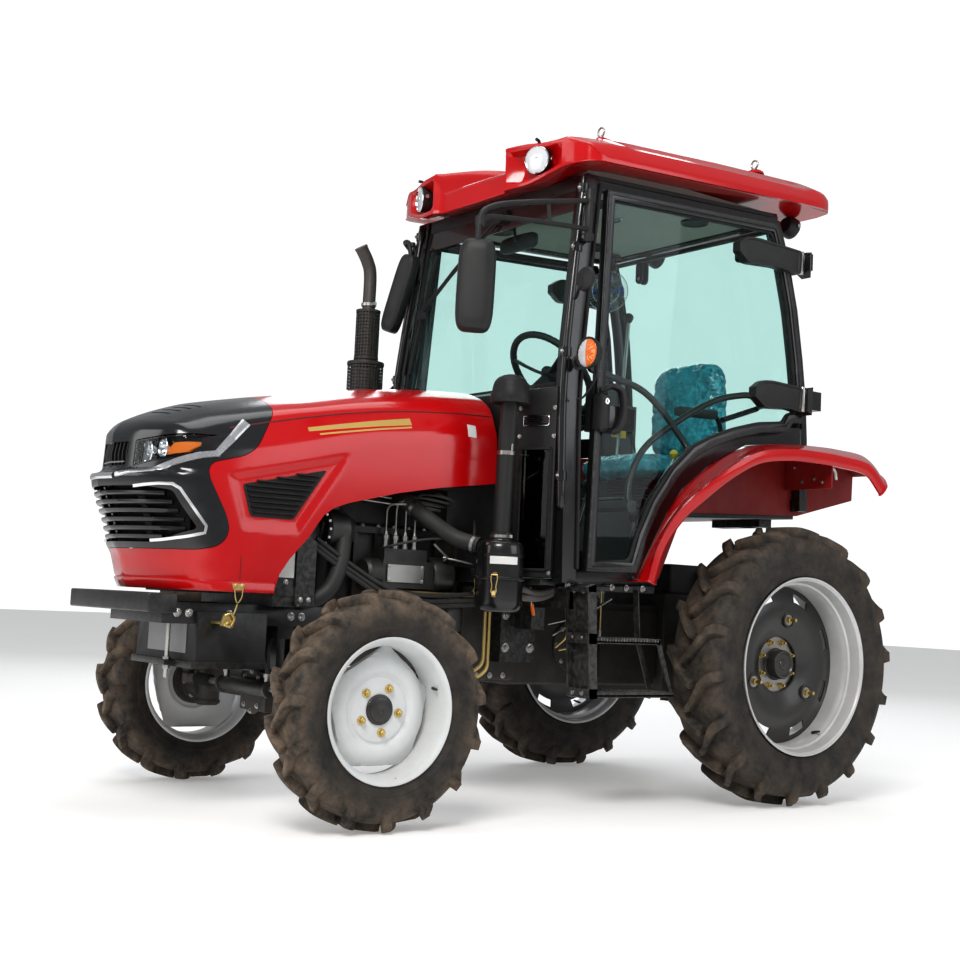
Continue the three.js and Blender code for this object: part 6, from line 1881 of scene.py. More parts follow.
# left side of the block: crankcase ribs, core plugs, head with its bolts, cover, oil filter, alternator
for k in range(7):
    y = .09 + k * .085
    g.box(.148, .166, y, y + .016, .60, .93, 0)
g.box(.146, .172, .06, .62, .930, .952, 0)
g.box(.146, .170, .05, .63, .575, .600, 0)
for k in range(9):
    g.bolt((.160, .08 + k * .065, .952), (0, 0, 1), .008, .008, 1)
    g.bolt((.165, .07 + k * .067, .586), (1, 0, 0), .007, .006, 1)
for k in range(4):
    g.disc((.150, .13 + k * .135, .80), (1, 0, 0), .026, .010, 24, 2, .003)
g.rings([[(x, y, z) for x, y, z in ((.095 - i, .10 + i, zz), (-.095 + i, .10 + i, zz), (-.095 + i, .58 - i, zz), (.095 - i, .58 - i, zz))] for i, zz in ((0, 1.118), (0, 1.150), (.018, 1.168))], 2)
for k in range(4):
    g.lathe([(1.160, 0), (1.160, .016), (1.182, .016), (1.186, .012), (1.186, 0)], "z", (0, .16 + k * .12), 20, 1)
# water pump, fan and belt at the front of the block
g.lathe([(-.026, 0), (-.026, .050), (-.018, .060), (.040, .060), (.040, 0)], "y", (0, .99), 32, 2)
for k in range(7):
    a0 = 2 * math.pi * k / 7
    rows = []
    for r in np.linspace(.045, .185, 6):
        w = .16 + .26 * (.1 / r) * .6
        rows.append([((r * math.sin(a0 + w * u)), -.012 + .030 * u + s_, .93 + r * math.cos(a0 + w * u)) for s_, us in ((.0015, (-.5, 0, .5)), (-.0015, (.5, 0, -.5))) for u in us])
    g.rings(rows, 2)
for c_, r_ in (((0, .99), .058), ((0, .70), .085), ((.165, .93), .040)):
    g.lathe([(.010, 0), (.010, r_), (.014, r_), (.020, r_ - .008), (.026, r_), (.032, r_), (.032, 0)], "y", c_, 32, 2)
belt_pts = [(.055, .021, 1.025), (.195, .021, .960), (.203, .021, .915), (.082, .021, .640), (0, .021, .614), (-.086, .021, .665), (-.060, .021, .985), (0, .021, 1.05)]
g.tube(smooth_path(belt_pts, 6, True), .005, 8, 3, flat=(.010, .010), closed=True)
# alternator
g.lathe([(.030, 0), (.030, .050), (.040, .062), (.110, .062), (.125, .050), (.140, .046), (.140, 0)], "y", (.190, .930), 32, 4)
for k in range(12):
    a = 2 * math.pi * k / 12
    g.box(.190 + .055 * math.cos(a) - .004, .190 + .055 * math.cos(a) + .004, .028, .036, .930 + .055 * math.sin(a) - .004, .930 + .055 * math.sin(a) + .004, 1)
g.tube([(.14, .08, 1.0), (.20, .075, 1.005)], .009, 8, 4, flat=(.03, .012))
# oil filter and breather
g.lathe([(.60, 0), (.60, .040), (.605, .047), (.700, .047), (.712, .040), (.716, .0)], "z", (.205, .56), 32, 5)
g.lathe([(.712, .0), (.712, .050), (.730, .050), (.730, 0)], "z", (.205, .56), 24, 2)
g.box(.15, .21, .535, .585, .722, .745, 2)
# injection pump: body, governor, inspection cover, four valve holders and lines
g.box(.150, .235, .255, .470, .745, .840, 4)
g.box(.158, .228, .262, .440, .838, .880, 4)
g.box(.234, .242, .270, .420, .765, .825, 1)
for y, z in ((.276, .771), (.414, .771), (.276, .819), (.414, .819)):
    g.bolt((.242, y, z), (1, 0, 0), .005, .004, 1)
g.lathe([(.465, 0), (.465, .052), (.480, .060), (.545, .060), (.560, .045), (.562, 0)], "y", (.195, .800), 28, 4)
g.tube([(.245, .50, .85), (.262, .505, .86), (.266, .44, .905)], .005, 8, 1)
g.lathe([(.195, 0), (.195, .045), (.205, .052), (.255, .052), (.255, 0)], "y", (.195, .792), 28, 4)
for k in range(4):
    y = .285 + k * .040
    g.lathe([(.878, 0), (.878, .0125), (.892, .0125), (.892, .0100), (.912, .0100), (.912, .0128), (.926, .0128), (.928, .008), (.940, .006), (.940, 0)], "z", (.195, y), 12, 1)
    top = 1.035 + .014 * k
    pts = fillet([(.195, y, .935), (.195, y, top), (.206 - .010 * k, y + .10, top + .004), (.206 - .010 * k, .52 + .03 * k, top - .012), (.120, .13 + .135 * k, top + .018), (.080, .13 + .135 * k, 1.085)], .035, 5)
    g.tube(pts, .0042, 8, 1)
    g.lathe([(1.06, 0), (1.06, .011), (1.10, .011), (1.104, .008), (1.104, 0)], "z", (.080, .13 + .135 * k), 12, 1)
# fuel return lines, throttle rod, wiring looms
g.tube(fillet([(.150, .27, .87), (.262, .27, .89), (.275, .40, .92), (.262, .62, .93), (.20, .66, 1.00)], .05, 6), .0045, 8, 3)
g.tube(fillet([(.24, .50, .86), (.31, .60, .84), (.28, .70, .83)], .04, 6), .004, 8, 1)
for dz_, y1 in ((0, .66), (.016, .68), (.036, .64)):
    g.tube(smooth_path([(.245, -.02, .86 + dz_), (.258, .12, .775 + dz_), (.262, .26, .708 + dz_), (.255, .42, .688 + dz_), (.25, y1, .70 + dz_)], 8), .008, 10, 3)
g.tube(smooth_path([(.20, -.02, 1.08), (.225, .10, 1.12), (.20, .3, 1.13), (.19, .52, 1.11), (.2, .68, 1.12)], 8), .010, 10, 3)
# golden pipes that run down to the pump under the cab
for k in range(2):
    o = k * .020
    g.tube(fillet([(.205, .30, .735), (.245, .50, .730 - o * .3), (.250, .655 + o, .735), (.250, .690 + o, .71), (.250, .690 + o, .49 - o), (.22, .66 + o, .455 - o), (.16, .62, .45)], .03, 5), .0068, 10, 6)
g.make("engine_fittings", ["cast_iron", "steel", "black_paint", "hose_rubber", "alloy", "label_dark", "brass_zinc"], "chassis", bevel=0, angle=32)

# ------------------------------------------------------------------ cooling system and hoses
g = Geo()
core = [(x, z) for x in np.linspace(-.235, .235, 48) for z in (0,)]
for k in range(46):
    x = -.222 + k * .0099
    g.box(x, x + .0016, -.174, -.1695, .72, 1.08, 0)
for k in range(40):
    z = .722 + k * .0089
    g.box(-.225, .225, -.1735, -.1705, z, z + .0014, 0)
for z0, z1 in ((1.085, 1.134), (.665, .712)):
    g.box(-.254, .254, -.178, -.088, z0, z1, 1)
for s in (1, -1):
    g.box(s * .240, s * .258, -.176, -.090, .70, 1.10, 1)
    for z in (.745, .86, .98, 1.08):
        g.bolt((s * .258, -.133, z), (s, 0, 0), .007, .006, 2)
# side plate with a blank label, lower tank with its brackets, cap
g.box(.2585, .2600, -.160, -.105, .76, .86, 5)
g.lathe([(1.130, 0), (1.130, .030), (1.150, .030), (1.152, .036), (1.166, .036), (1.168, .010), (1.168, 0)], "z", (.10, -.135), 24, 2)
# shroud
sh = lambda r, y: [(r * math.sin(a), y, .93 + r * math.cos(a)) for a in np.linspace(0, 2 * math.pi, 40, endpoint=False)]
g.rings([sh(.205, -.030), sh(.200, .020), sh(.203, .020), sh(.209, -.030)], 0, closed=True)
# thick lower hose from the radiator's lower tank to the pump, upper hose from the head
lower = smooth_path([(.205, -.075, .700), (.225, -.02, .690), (.242, .045, .735), (.240, .085, .840), (.205, .100, .955), (.120, .085, 1.010), (.045, .045, 1.005)], 8)
g.tube(lower, .027, 18, 3)
upper = smooth_path([(.09, -.075, 1.105), (.10, -.02, 1.125), (.085, .06, 1.145), (.06, .13, 1.130), (.05, .17, 1.105)], 8)
g.tube(upper, .024, 18, 3)
for path, i in ((lower, 3), (lower, -5), (upper, 3), (upper, -4)):
    a, b = Vector(path[i]), Vector(path[i + 1])
    t = (b - a).normalized()
    u = t.orthogonal().normalized()
    w = t.cross(u)
    r = .0285 if path is lower else .0255
    g.rings([[tuple(a + t * d + (u * math.cos(q_) + w * math.sin(q_)) * rr_) for q_ in np.linspace(0, 2 * math.pi, 24, endpoint=False)] for d, rr_ in ((-.006, r), (-.006, r + .0012), (.006, r + .0012), (.006, r))], 2, closed=True)
    g.box(a.x + r - .002, a.x + r + .014, a.y - .006, a.y + .006, a.z - .005, a.z + .005, 2)
# battery and its tray ahead of the radiator, behind the grille
g.box(-.16, .16, -.43, -.24, .70, .71, 1)
g.box(-.13, .13, -.42, -.25, .710, .890, 4)
g.box(-.135, .135, -.425, -.245, .884, .905, 4)
for x in (-.09, .09):
    g.lathe([(.900, 0), (.900, .010), (.920, .009), (.920, 0)], "z", (x, -.40), 16, 2)
    g.tube(smooth_path([(x, -.40, .915), (x * 1.6, -.36, .93), (x * 2.2, -.25, .86), (x * 2.3, -.18, .72)], 8), .007, 10, 3)
# side shields under the hood, with the strap brackets
for s in (1, -1):
    g.prism([(-.100, .672), (-.028, .672), (-.028, .88), (-.100, .93)], "x", s * .262, s * .266, 1)
    g.bolt((s * .266, -.080, .690), (s, 0, 0), .007, .006, 2)
    g.bolt((s * .266, -.050, .690), (s, 0, 0), .007, .006, 2)
g.make("cooling_parts", ["black_paint", "black_paint", "steel", "hose_rubber", "black_plastic", "label_white"], "chassis", angle=32)

# ------------------------------------------------------------------ air cleaner and intake
g = Geo()
cx, cy = .440, .600
g.lathe([(.678, 0), (.678, .030), (.680, .062), (.688, .075), (.700, .081), (.716, .083), (.786, .083), (.788, .0865), (.798, .0865), (.800, .083), (.868, .083), (.870, .0855), (.876, .0855), (.878, .083), (.902, .082), (.915, .077), (.924, .066), (.928, .050), (.929, .030), (.929, 0)], "z", (cx, cy), 56, 0)
g.lathe([(.793, .0830), (.789, .0885), (.791, .0905), (.797, .0905), (.799, .0885), (.795, .0830)], "z", (cx, cy), 48, 0)
# blank plate wrapped on the canister
a0, a1 = math.radians(-62), math.radians(8)
rows = []
for a in np.linspace(a0, a1, 16):
    rows.append([(cx + r * math.cos(a), cy + r * math.sin(a), z) for r, z in ((.0836, .842), (.0836, .876), (.0828, .876), (.0828, .842))])
g.rings(rows, 1)
# wire latches with their hooks, zinc plated
for deg in (-48, 92, 200):
    a = math.radians(deg)
    er = Vector((math.cos(a), math.sin(a), 0))
    et = Vector((-math.sin(a), math.cos(a), 0))
    B = Vector((cx, cy, 0))
    for s in (1, -1):
        g.tube(smooth_path([B + er * .090 + et * s * .010 + Vector((0, 0, .803)), B + er * .094 + et * s * .011 + Vector((0, 0, .790)), B + er * .093 + et * s * .007 + Vector((0, 0, .765)), B + er * .097 + et * s * .009 + Vector((0, 0, .748)), B + er * .092 + et * s * .004 + Vector((0, 0, .738))], 6), .0022, 8, 2)
    g.tube([B + er * .090 + et * .011 + Vector((0, 0, .804)), B + er * .090 - et * .011 + Vector((0, 0, .804))], .0025, 8, 2)
    g.tube([B + er * .086 + Vector((0, 0, .752)), B + er * .094 + Vector((0, 0, .748)), B + er * .096 + Vector((0, 0, .736)), B + er * .088 + Vector((0, 0, .730))], .004, 8, 2, flat=(.014, .003))
    g.tube([B + er * .0835 + Vector((0, 0, .812)), B + er * .092 + Vector((0, 0, .808))], .004, 8, 2, flat=(.016, .003))
# mounting band and bracket to the engine side
g.box(.151, .372, .582, .618, .780, .830, 0)
g.prism([(.345, .562), (.372, .562), (.372, .638), (.345, .638)], "z", .735, .875, 0)
for z in (.75, .86):
    g.bolt((.372, .600, z), (1, 0, 0), .007, .005, 3)
# outlet elbow to the engine with clamps
el = smooth_path([(.372, .560, .905), (.335, .540, .915), (.290, .500, .935), (.240, .430, .990), (.19, .38, 1.04), (.12, .36, 1.06)], 8)
g.tube(el, .029, 18, 4)
for i in (4, 30):
    a, b = Vector(el[i]), Vector(el[i + 1])
    t = (b - a).normalized()
    u = t.orthogonal().normalized()
    w = t.cross(u)
    g.rings([[tuple(a + t * d + (u * math.cos(q_) + w * math.sin(q_)) * rr_) for q_ in np.linspace(0, 2 * math.pi, 24, endpoint=False)] for d, rr_ in ((-.006, .0292), (-.006, .0312), (.006, .0312), (.006, .0292))], 3, closed=True)
g.make("air_filter", ["black_gloss", "label_white", "brass_zinc", "steel", "hose_rubber"], "chassis", replaces="air_cleaner", angle=34, slot="black_paint")

g = Geo()
pp = [(.440, .600, .926), (.440, .601, 1.00), (.440, .606, 1.20), (.440, .614, 1.418)]
g.tube(pp, .0315, 36, 0)
g.lathe([(.928, .031), (.928, .037), (.950, .037), (.952, .033), (.952, .031)], "z", (cx, cy), 36, 1)
g.lathe([(.934, .0372), (.934, .0392), (.944, .0392), (.944, .0372)], "z", (cx, cy), 36, 2)
g.box(cx + .036, cx + .056, cy - .006, cy + .006, .934, .944, 2)
# rain cap: skirt with slots, bead and domed top
cy2 = .614
g.lathe([(1.410, .031), (1.404, .050), (1.404, .066), (1.412, .0695), (1.428, .0705), (1.434, .0690), (1.440, .0690), (1.448, .0650), (1.462, .0630), (1.478, .0585), (1.492, .0480), (1.501, .0320), (1.506, .0150), (1.507, 0)][::-1] + [(1.40, 0)], "z", (cx, cy2), 48, 0)
for k in range(16):
    a = 2 * math.pi * k / 16
    p = Vector((cx + .0675 * math.cos(a), cy2 + .0675 * math.sin(a), 1.415))
    g.tube([p - Vector((0, 0, .008)), p + Vector((0, 0, .008))], .0025, 6, 1)
g.tube([(.440 + .033, .606, 1.235), (.440 + .033, .6075, 1.26)], .004, 8, 2)
g.lathe([(1.222, .0312), (1.222, .0332), (1.236, .0332), (1.236, .0312)], "z", (.440, .607), 32, 2)
# bracket that holds the pipe to the cowl
g.tube([(.440, .638, 1.229), (.440, .700, 1.229)], .004, 8, 1, flat=(.020, .004))
g.make("intake_pipe", ["black_plastic", "black_paint", "steel"], "chassis", replaces="intake_stack", angle=34, slot="black_plastic")

# ------------------------------------------------------------------ exhaust
def perforated(g, c, z0, z1, r, n, mat, pitch=.0125):
    """Guard of thin sheet with rows of real holes: a lattice of closed strips."""
    rows = max(2, int((z1 - z0 - .012) / pitch))
    for k in range(rows + 1):
        z = z0 + .006 + (z1 - z0 - .012) * k / rows
        g.lathe([(z - .0025, r - .0008), (z - .0025, r + .0008), (z + .0025, r + .0008), (z + .0025, r - .0008)], "z", c, 40, mat)
    for k in range(n):
        a = 2 * math.pi * k / n
        e, t = Vector((math.cos(a), math.sin(a), 0)), Vector((-math.sin(a), math.cos(a), 0))
        p = Vector((c[0], c[1], 0)) + e * r
        g.rings([[tuple(p + t * u * .0024 + e * v * .0007 + Vector((0, 0, z))) for u, v in ((1, 1), (-1, 1), (-1, -1), (1, -1))] for z in (z0, z1)], mat)


g = Geo()
ex = fillet([(-.155, .380, 1.000), (-.260, .400, 1.000), (-.395, .460, 1.060), (-.420, .550, 1.180), (-.420, .550, 1.545)], .06, 8)
g.tube(ex, .026, 24, 0)
c = (-.420, .550)
g.lathe([(1.50, 0), (1.50, .048), (1.506, .060), (1.604, .060), (1.612, .048), (1.616, .040), (1.62, .040), (1.63, .042), (1.830, .040), (1.842, .028), (1.842, 0)], "z", c, 40, 0)
perforated(g, c, 1.508, 1.628, .070, 34, 1)
g.lathe([(1.505, .052), (1.504, .072), (1.512, .0725), (1.512, .070), (1.510, .052)], "z", c, 40, 1)
g.lathe([(1.622, .044), (1.630, .0725), (1.622, .0735), (1.616, .0725), (1.618, .044)], "z", c, 40, 1)
perforated(g, c, 1.640, 1.838, .0465, 24, 1)
g.lathe([(1.640, .042), (1.640, .0485), (1.650, .0485), (1.650, .042)], "z", c, 40, 1)
g.lathe([(1.828, .040), (1.828, .0485), (1.838, .0485), (1.838, .040)], "z", c, 40, 1)
tip = smooth_path([(-.420, .550, 1.830), (-.420, .550, 1.975), (-.420, .535, 2.030), (-.420, .500, 2.085)], 8)
outer_r = [.0255] * len(tip)
g.tube(tip[:-1] + [tip[-1]], .0255, 28, 0)
d_ = (Vector(tip[-1]) - Vector(tip[-2])).normalized()
# black disc across the closed pipe end: soot plus painted shade of the open bore
g.disc(Vector(tip[-1]) + d_ * .0002, d_, .0225, .0006, 28, 2)
g.tube([Vector(tip[-1]) - d_ * .008, Vector(tip[-1]) + d_ * .0015], .0268, 28, 0)
for z in (1.86, 1.50):
    g.lathe([(z - .006, .0255), (z - .006, .030), (z + .006, .030), (z + .006, .0255)], "z", c, 32, 3)
    g.box(c[0] + .028, c[0] + .050, c[1] - .006, c[1] + .006, z - .006, z + .006, 3)
g.make("exhaust_pipe", ["hot_steel", "guard_black", "soot_and_bore_shade", "steel"], "chassis", replaces="exhaust_stack", angle=34)

# ------------------------------------------------------------------ frame, steps, drivetrain details
g = Geo()
# side plates that join the engine to the clutch housing, each with four bolts
for s in (1, -1):
    g.rings([[(s * x, y, z) for y, z in ((.775, .497), (.937, .497), (.937, .700), (.900, .726), (.800, .726), (.775, .690))] for x in (.172, .236)], 0)
    for y in (.797, .912):
        for z in (.550, .668):
            g.disc((s * .236, y, z), (s, 0, 0), .018, .003, 24, 1, .001)
            g.bolt((s * .239, y, z), (s, 0, 0), .0115, .011, 1)
    for y, z in ((.80, .51), (.80, .62), (.92, .61), (.92, .51)):
        g.disc((s * .2362, y, z), (s, 0, 0), .006, .0008, 12, 2)
    # rail end bolts
    for y, z in ((-.48, .634), (-.44, .634), (-.30, .634), (-.075, .634), (-.035, .634), (.12, .634), (.30, .634), (.48, .634)):
        g.bolt((s * .200, y, z), (s, 0, 0), .0105, .010, 1)
    # fuel tank under the platform and the cab mounts with their bolts
    g.prism([(.80, .770), (1.26, .770), (1.26, .796), (.80, .776)], "x", s * .30, s * .52, 0)
    for y in (.84, .90, 1.05, 1.12, 1.20):
        g.bolt((s * .521, y, .784), (s, 0, 0), .009, .008, 1)
    g.box(s * .17, s * .33, .84, .90, .62, .770, 0)
    g.lathe([(.726, 0), (.726, .040), (.740, .046), (.758, .046), (.770, .038), (.770, 0)], "z", (s * .30, .87), 28, 3)
    g.box(s * .18, s * .44, 1.90, 1.97, 1.06, 1.10, 0)
    g.lathe([(1.06, 0), (1.06, .042), (1.078, .046), (1.10, .040), (1.10, 0)], "z", (s * .36, 1.93), 28, 3)
# levers and rods under the step, zinc plated
g.tube(fillet([(.245, .93, .700), (.30, .985, .712), (.335, 1.00, .705), (.335, 1.01, .60), (.26, 1.02, .56)], .02, 4), .010, 8, 4, flat=(.022, .008))
g.tube([(.26, 1.00, .60), (.40, 1.16, .745)], .0045, 8, 1)
g.tube([(.28, .96, .64), (.40, 1.05, .680)], .0035, 8, 1)
g.tube([(.33, 1.17, .77), (.33, 1.17, .60)], .0035, 8, 4)
g.lathe([(.575, 0), (.575, .007), (.625, .007), (.625, 0)], "z", (.33, 1.17), 12, 1)
g.tube([(.25, 1.04, .545), (.33, 1.17, .580)], .008, 8, 4, flat=(.020, .006))
# hoses from the air cleaner side into the cab floor
for k in range(2):
    g.tube(smooth_path([(.36 + .02 * k, .655, .80 - .035 * k), (.40, .72, .765 - .03 * k), (.42, .80, .750 - .016 * k), (.44, .87, .775 - .008 * k), (.45, .90, .815)], 7), .012, 12, 5)
g.tube(smooth_path([(.34, .70, .80), (.36, .76, .772), (.375, .80, .765)], 6), .010, 10, 5)
g.tube([(.41, .765, .770), (.412, .770, .72), (.408, .775, .705)], .0028, 8, 1)
g.tube([(.408, .775, .712), (.404, .788, .672)], .008, 10, 6, flat=(.014, .008))
# drain plugs, inspection covers and flange bolts on the gearbox
for s in (1, -1):
    for k in range(8):
        g.bolt((s * .176, .66 + k * .030, .445 + .30 * (k % 2)), (s, 0, 0), .008, .007, 1)
    g.disc((s * .140, 1.20, .56), (s, 0, 0), .10, .010, 40, 2, .003)
    for k in range(8):
        a = math.pi * 2 * k / 8
        g.bolt((s * .150, 1.20 + .085 * math.cos(a), .56 + .085 * math.sin(a)), (s, 0, 0), .007, .006, 1)
    g.box(s * .13, s * .155, 1.33, 1.63, .44, .70, 2)
    for k in range(10):
        a = 2 * math.pi * k / 10
        g.bolt((s * .186, 1.82 + .108 * math.cos(a), .525 + .108 * math.sin(a)), (s, 0, 0), .009, .008, 1)
        if s > 0 or True:
            g.bolt((s * .588, 1.82 + .100 * math.cos(a), .525 + .100 * math.sin(a)), (s, 0, 0), .008, .002, 1)
# power take-off shaft with splines and its guard, hydraulic arms, couplings
g.lathe([(1.990, 0), (1.990, .060), (2.010, .060), (2.012, .045), (2.014, 0)], "y", (0, .56), 32, 2)
for k in range(6):
    a = 2 * math.pi * k / 6
    g.tube([(.015 * math.cos(a), 2.01, .56 + .015 * math.sin(a)), (.015 * math.cos(a), 2.09, .56 + .015 * math.sin(a))], .004, 8, 1)
g.lathe([(2.0, 0), (2.0, .0155), (2.094, .0155), (2.096, .012), (2.096, 0)], "y", (0, .56), 24, 1)
g.rings([[(x, y, z) for x, z in ((-.085, .56), (-.075, .64), (.075, .64), (.085, .56), (.080, .56), (.070, .634), (-.070, .634), (-.080, .56))] for y in (1.995, 2.13)], 0)
g.lathe([(-.24, 0), (-.24, .030), (.24, .030), (.24, 0)], "x", (1.90, .86), 28, 2)
for s in (1, -1):
    g.rings([[(s * x, y, z) for y, z in ((1.87, .895), (1.93, .895), (2.16, .835), (2.165, .800), (1.92, .822), (1.87, .83))] for x in (.200, .228)], 0)
    g.lathe([(s * .196, 0), (s * .196, .024), (s * .232, .024), (s * .232, 0)] if s > 0 else [(-.232, 0), (-.232, .024), (-.196, .024), (-.196, 0)], "x", (2.15, .817), 24, 1)
    for k in range(2):
        p = (s * (.06 + .05 * k), 1.985, .79 - .0 * k)
        g.lathe([(1.975, 0), (1.975, .016), (2.03, .016), (2.034, .011), (2.050, .011), (2.050, 0)], "y", (p[0], .735), 18, 1)
g.make("chassis_fittings", ["black_paint", "steel", "cast_iron", "rubber_seal", "brass_zinc", "hose_grey", "amber"], "chassis", angle=34)

# steps: serrated treads on the folded plates
def steps():
    g = Geo()
    src = [(.832, .778), (.858, .400), (.866, .396), (.894, .398), (.872, .790)]
    # side plate, folded round its edges
    for x0, x1 in ((.520, .530), (.632, .640)):
        g.prism(src, "x", x0, x1, 0)
    for a, b in (((.832, .778), (.842, .760)), ((.858, .400), (.866, .430))):
        pass
    g.prism([(.834, .778), (.838, .762), (.872, .762), (.872, .790)], "x", .520, .640, 0)
    g.prism([(.846, .620), (.848, .584), (.884, .584), (.882, .620)], "x", .520, .640, 0)
    g.prism([(.856, .430), (.858, .400), (.866, .396), (.894, .398), (.892, .430)], "x", .520, .640, 0)
    g.prism([(.860, .785), (.874, .785), (.895, .400), (.881, .400)], "x", .524, .636, 0)
    for z0, y1, x1 in ((.590, 1.190, .636), (.404, 1.260, .640)):
        y0 = .885
        for xa, xb in ((.520, .526), (x1 - .006, x1)):
            g.box(xa, xb, y0, y1, z0 - .004, z0 + .016, 0)
        g.box(.520, x1, y0, y1, z0, z0 + .006, 0)
        n = int((y1 - y0) / .0135)
        for k in range(n):
            y = y0 + .004 + k * (y1 - y0 - .008) / n
            for xa in (.528, .552, .576, .600, .620):
                g.rings([[(xa + i * .016 + (.002 if i else 0), y, z0 + .005), (xa + i * .016, y + .0075, z0 + .005), (xa + i * .016, y + .0075, z0 + .014), (xa + i * .016, y + .003, z0 + .0175)] for i in (0, 1)], 1)
    g.prism([(1.170, .604), (1.188, .604), (1.262, .406), (1.244, .406)], "x", .520, .528, 0)
    g.prism([(1.170, .604), (1.188, .604), (1.262, .406), (1.244, .406)], "x", .628, .636, 0)
    g.tube([(.522, 1.182, .604), (.522, 1.166, .780)], .006, 8, 0, flat=(.030, .006))
    g.box(.300, .530, .846, .866, .700, .776, 0)
    for x in (.55, .60):
        for z in (.765, .605, .415):
            g.bolt((x, .846 + .012 * ((.78 - z) / .38), z), (0, -1, 0), .007, .006, 2)
    return g


both(steps(), "step_frame_{}", ["black_paint", "tread_steel", "steel"], ("chassis", "chassis"), replaces="step_{}", angle=32, slot="black_paint")

# ------------------------------------------------------------------ front end
g = Geo()
# blank plate on the box under the weight bar and the hitch pin ahead of it, held by two lugs
g.box(-.130, .155, -.4230, -.4190, .506, .620, 5)
g.box(.058, .102, -.468, -.430, .466, .480, 0)
g.box(.058, .102, -.468, -.418, .624, .634, 0)
g.lathe([(.424, 0), (.424, .0055), (.428, .0075), (.630, .0075), (.630, 0)], "z", (.080, -.450), 18, 1)
g.lathe([(.482, 0), (.482, .0125), (.491, .0125), (.491, 0)], "z", (.080, -.450), 6, 1)
g.lathe([(.453, 0), (.453, .0125), (.464, .0125), (.464, 0)], "z", (.080, -.450), 6, 1)
# ram ports, fittings and hoses up to the frame
for s in (1, -1):
    g.lathe([(.414, 0), (.414, .010), (.430, .010), (.430, .013), (.442, .013), (.442, 0)], "z", (s * .145, -.118), 14, 1)
    g.tube(smooth_path([(s * .145, -.118, .44), (s * .145, -.120, .475), (s * .135, -.118, .52), (s * .125, -.100, .56), (s * .120, -.060, .575)], 7), .0085, 12, 3)
    g.lathe([(s * .160, 0), (s * .160, .029), (s * .172, .029), (s * .174, .020), (s * .174, 0)] if s > 0 else [(-.174, 0), (-.174, .020), (-.172, .029), (-.160, .029), (-.160, 0)], "x", (-.118, .392), 28, 0)
# axle trunnion caps, differential cover with bolts, drive shaft flange
g.lathe([(-.098, 0), (-.098, .070), (-.090, .078), (-.088, 0)], "y", (0, .375), 36, 2)
for k in range(8):
    a = 2 * math.pi * k / 8
    g.bolt((.066 * math.cos(a), -.097, .375 + .066 * math.sin(a)), (0, -1, 0), .007, .006, 1)
g.lathe([(.080, 0), (.080, .040), (.110, .040), (.112, .026), (.630, .026), (.632, .040), (.642, .040), (.642, 0)], "y", (0, .40), 28, 0)
for s in (1, -1):
    for k in range(6):
        a = 2 * math.pi * k / 6
        g.bolt((s * .112, .060 * math.cos(a), .385 + .060 * math.sin(a)), (s, 0, 0), .007, .006, 1)
g.make("front_fittings", ["black_paint", "steel", "cast_iron", "hose_rubber", "brass_zinc", "plate_blank"], "chassis", angle=34)

g = Geo()
# kingpin cap with bolts, grease nipple, hub flange ribs and the ball joint
K = .515
g.lathe([(.466, 0), (.466, .046), (.474, .046), (.482, .036), (.484, 0)], "z", (K, 0), 32, 0)
g.lathe([(.292, 0), (.286, .036), (.294, .046), (.304, .046), (.304, 0)], "z", (K, 0), 32, 0)
for k in range(6):
    a = 2 * math.pi * k / 6 + .3
    g.bolt((K + .035 * math.cos(a), .035 * math.sin(a), .480), (0, 0, 1), .006, .006, 1)
g.lathe([(.484, 0), (.484, .005), (.496, .004), (.500, 0)], "z", (K, 0), 12, 2)
for k in range(6):
    a = 2 * math.pi * k / 6
    g.bolt((.590, .058 * math.cos(a), .3675 + .058 * math.sin(a)), (-1, 0, 0), .008, .008, 1)
g.lathe([(.404, 0), (.404, .014), (.418, .020), (.418, 0)], "z", (.440, -.118), 20, 3)
g.lathe([(.459, 0), (.459, .011), (.472, .011), (.472, .005), (.480, .005), (.480, 0)], "z", (.440, -.118), 12, 1)
both(g, "knuckle_fittings_{}", ["cast_iron", "steel", "brass_zinc", "rubber_seal"], ("knuckle_l", "knuckle_r"), angle=34)

g = Geo()
for s in (1, -1):
    g.tube([(s * .375, -.118, .392), (s * .445, -.118, .392)], .015, 16, 0)
    g.lathe([(.372, 0), (.372, .018), (.380, .023), (.404, .023), (.410, .016), (.410, 0)], "z", (s * .440, -.118), 24, 0)
    g.lathe([(.404, .008), (.409, .020), (.414, .014), (.414, .008)], "z", (s * .440, -.118), 20, 1)
    for k in range(12):
        x = s * (.268 + k * .0085)
        g.lathe([(x - .003, .0115), (x - .001, .022), (x + .001, .022), (x + .003, .0115)], "x", (-.118, .392), 24, 1)
g.make("rod_ends", ["cast_iron", "rubber_seal"], "tie_rod", angle=36)


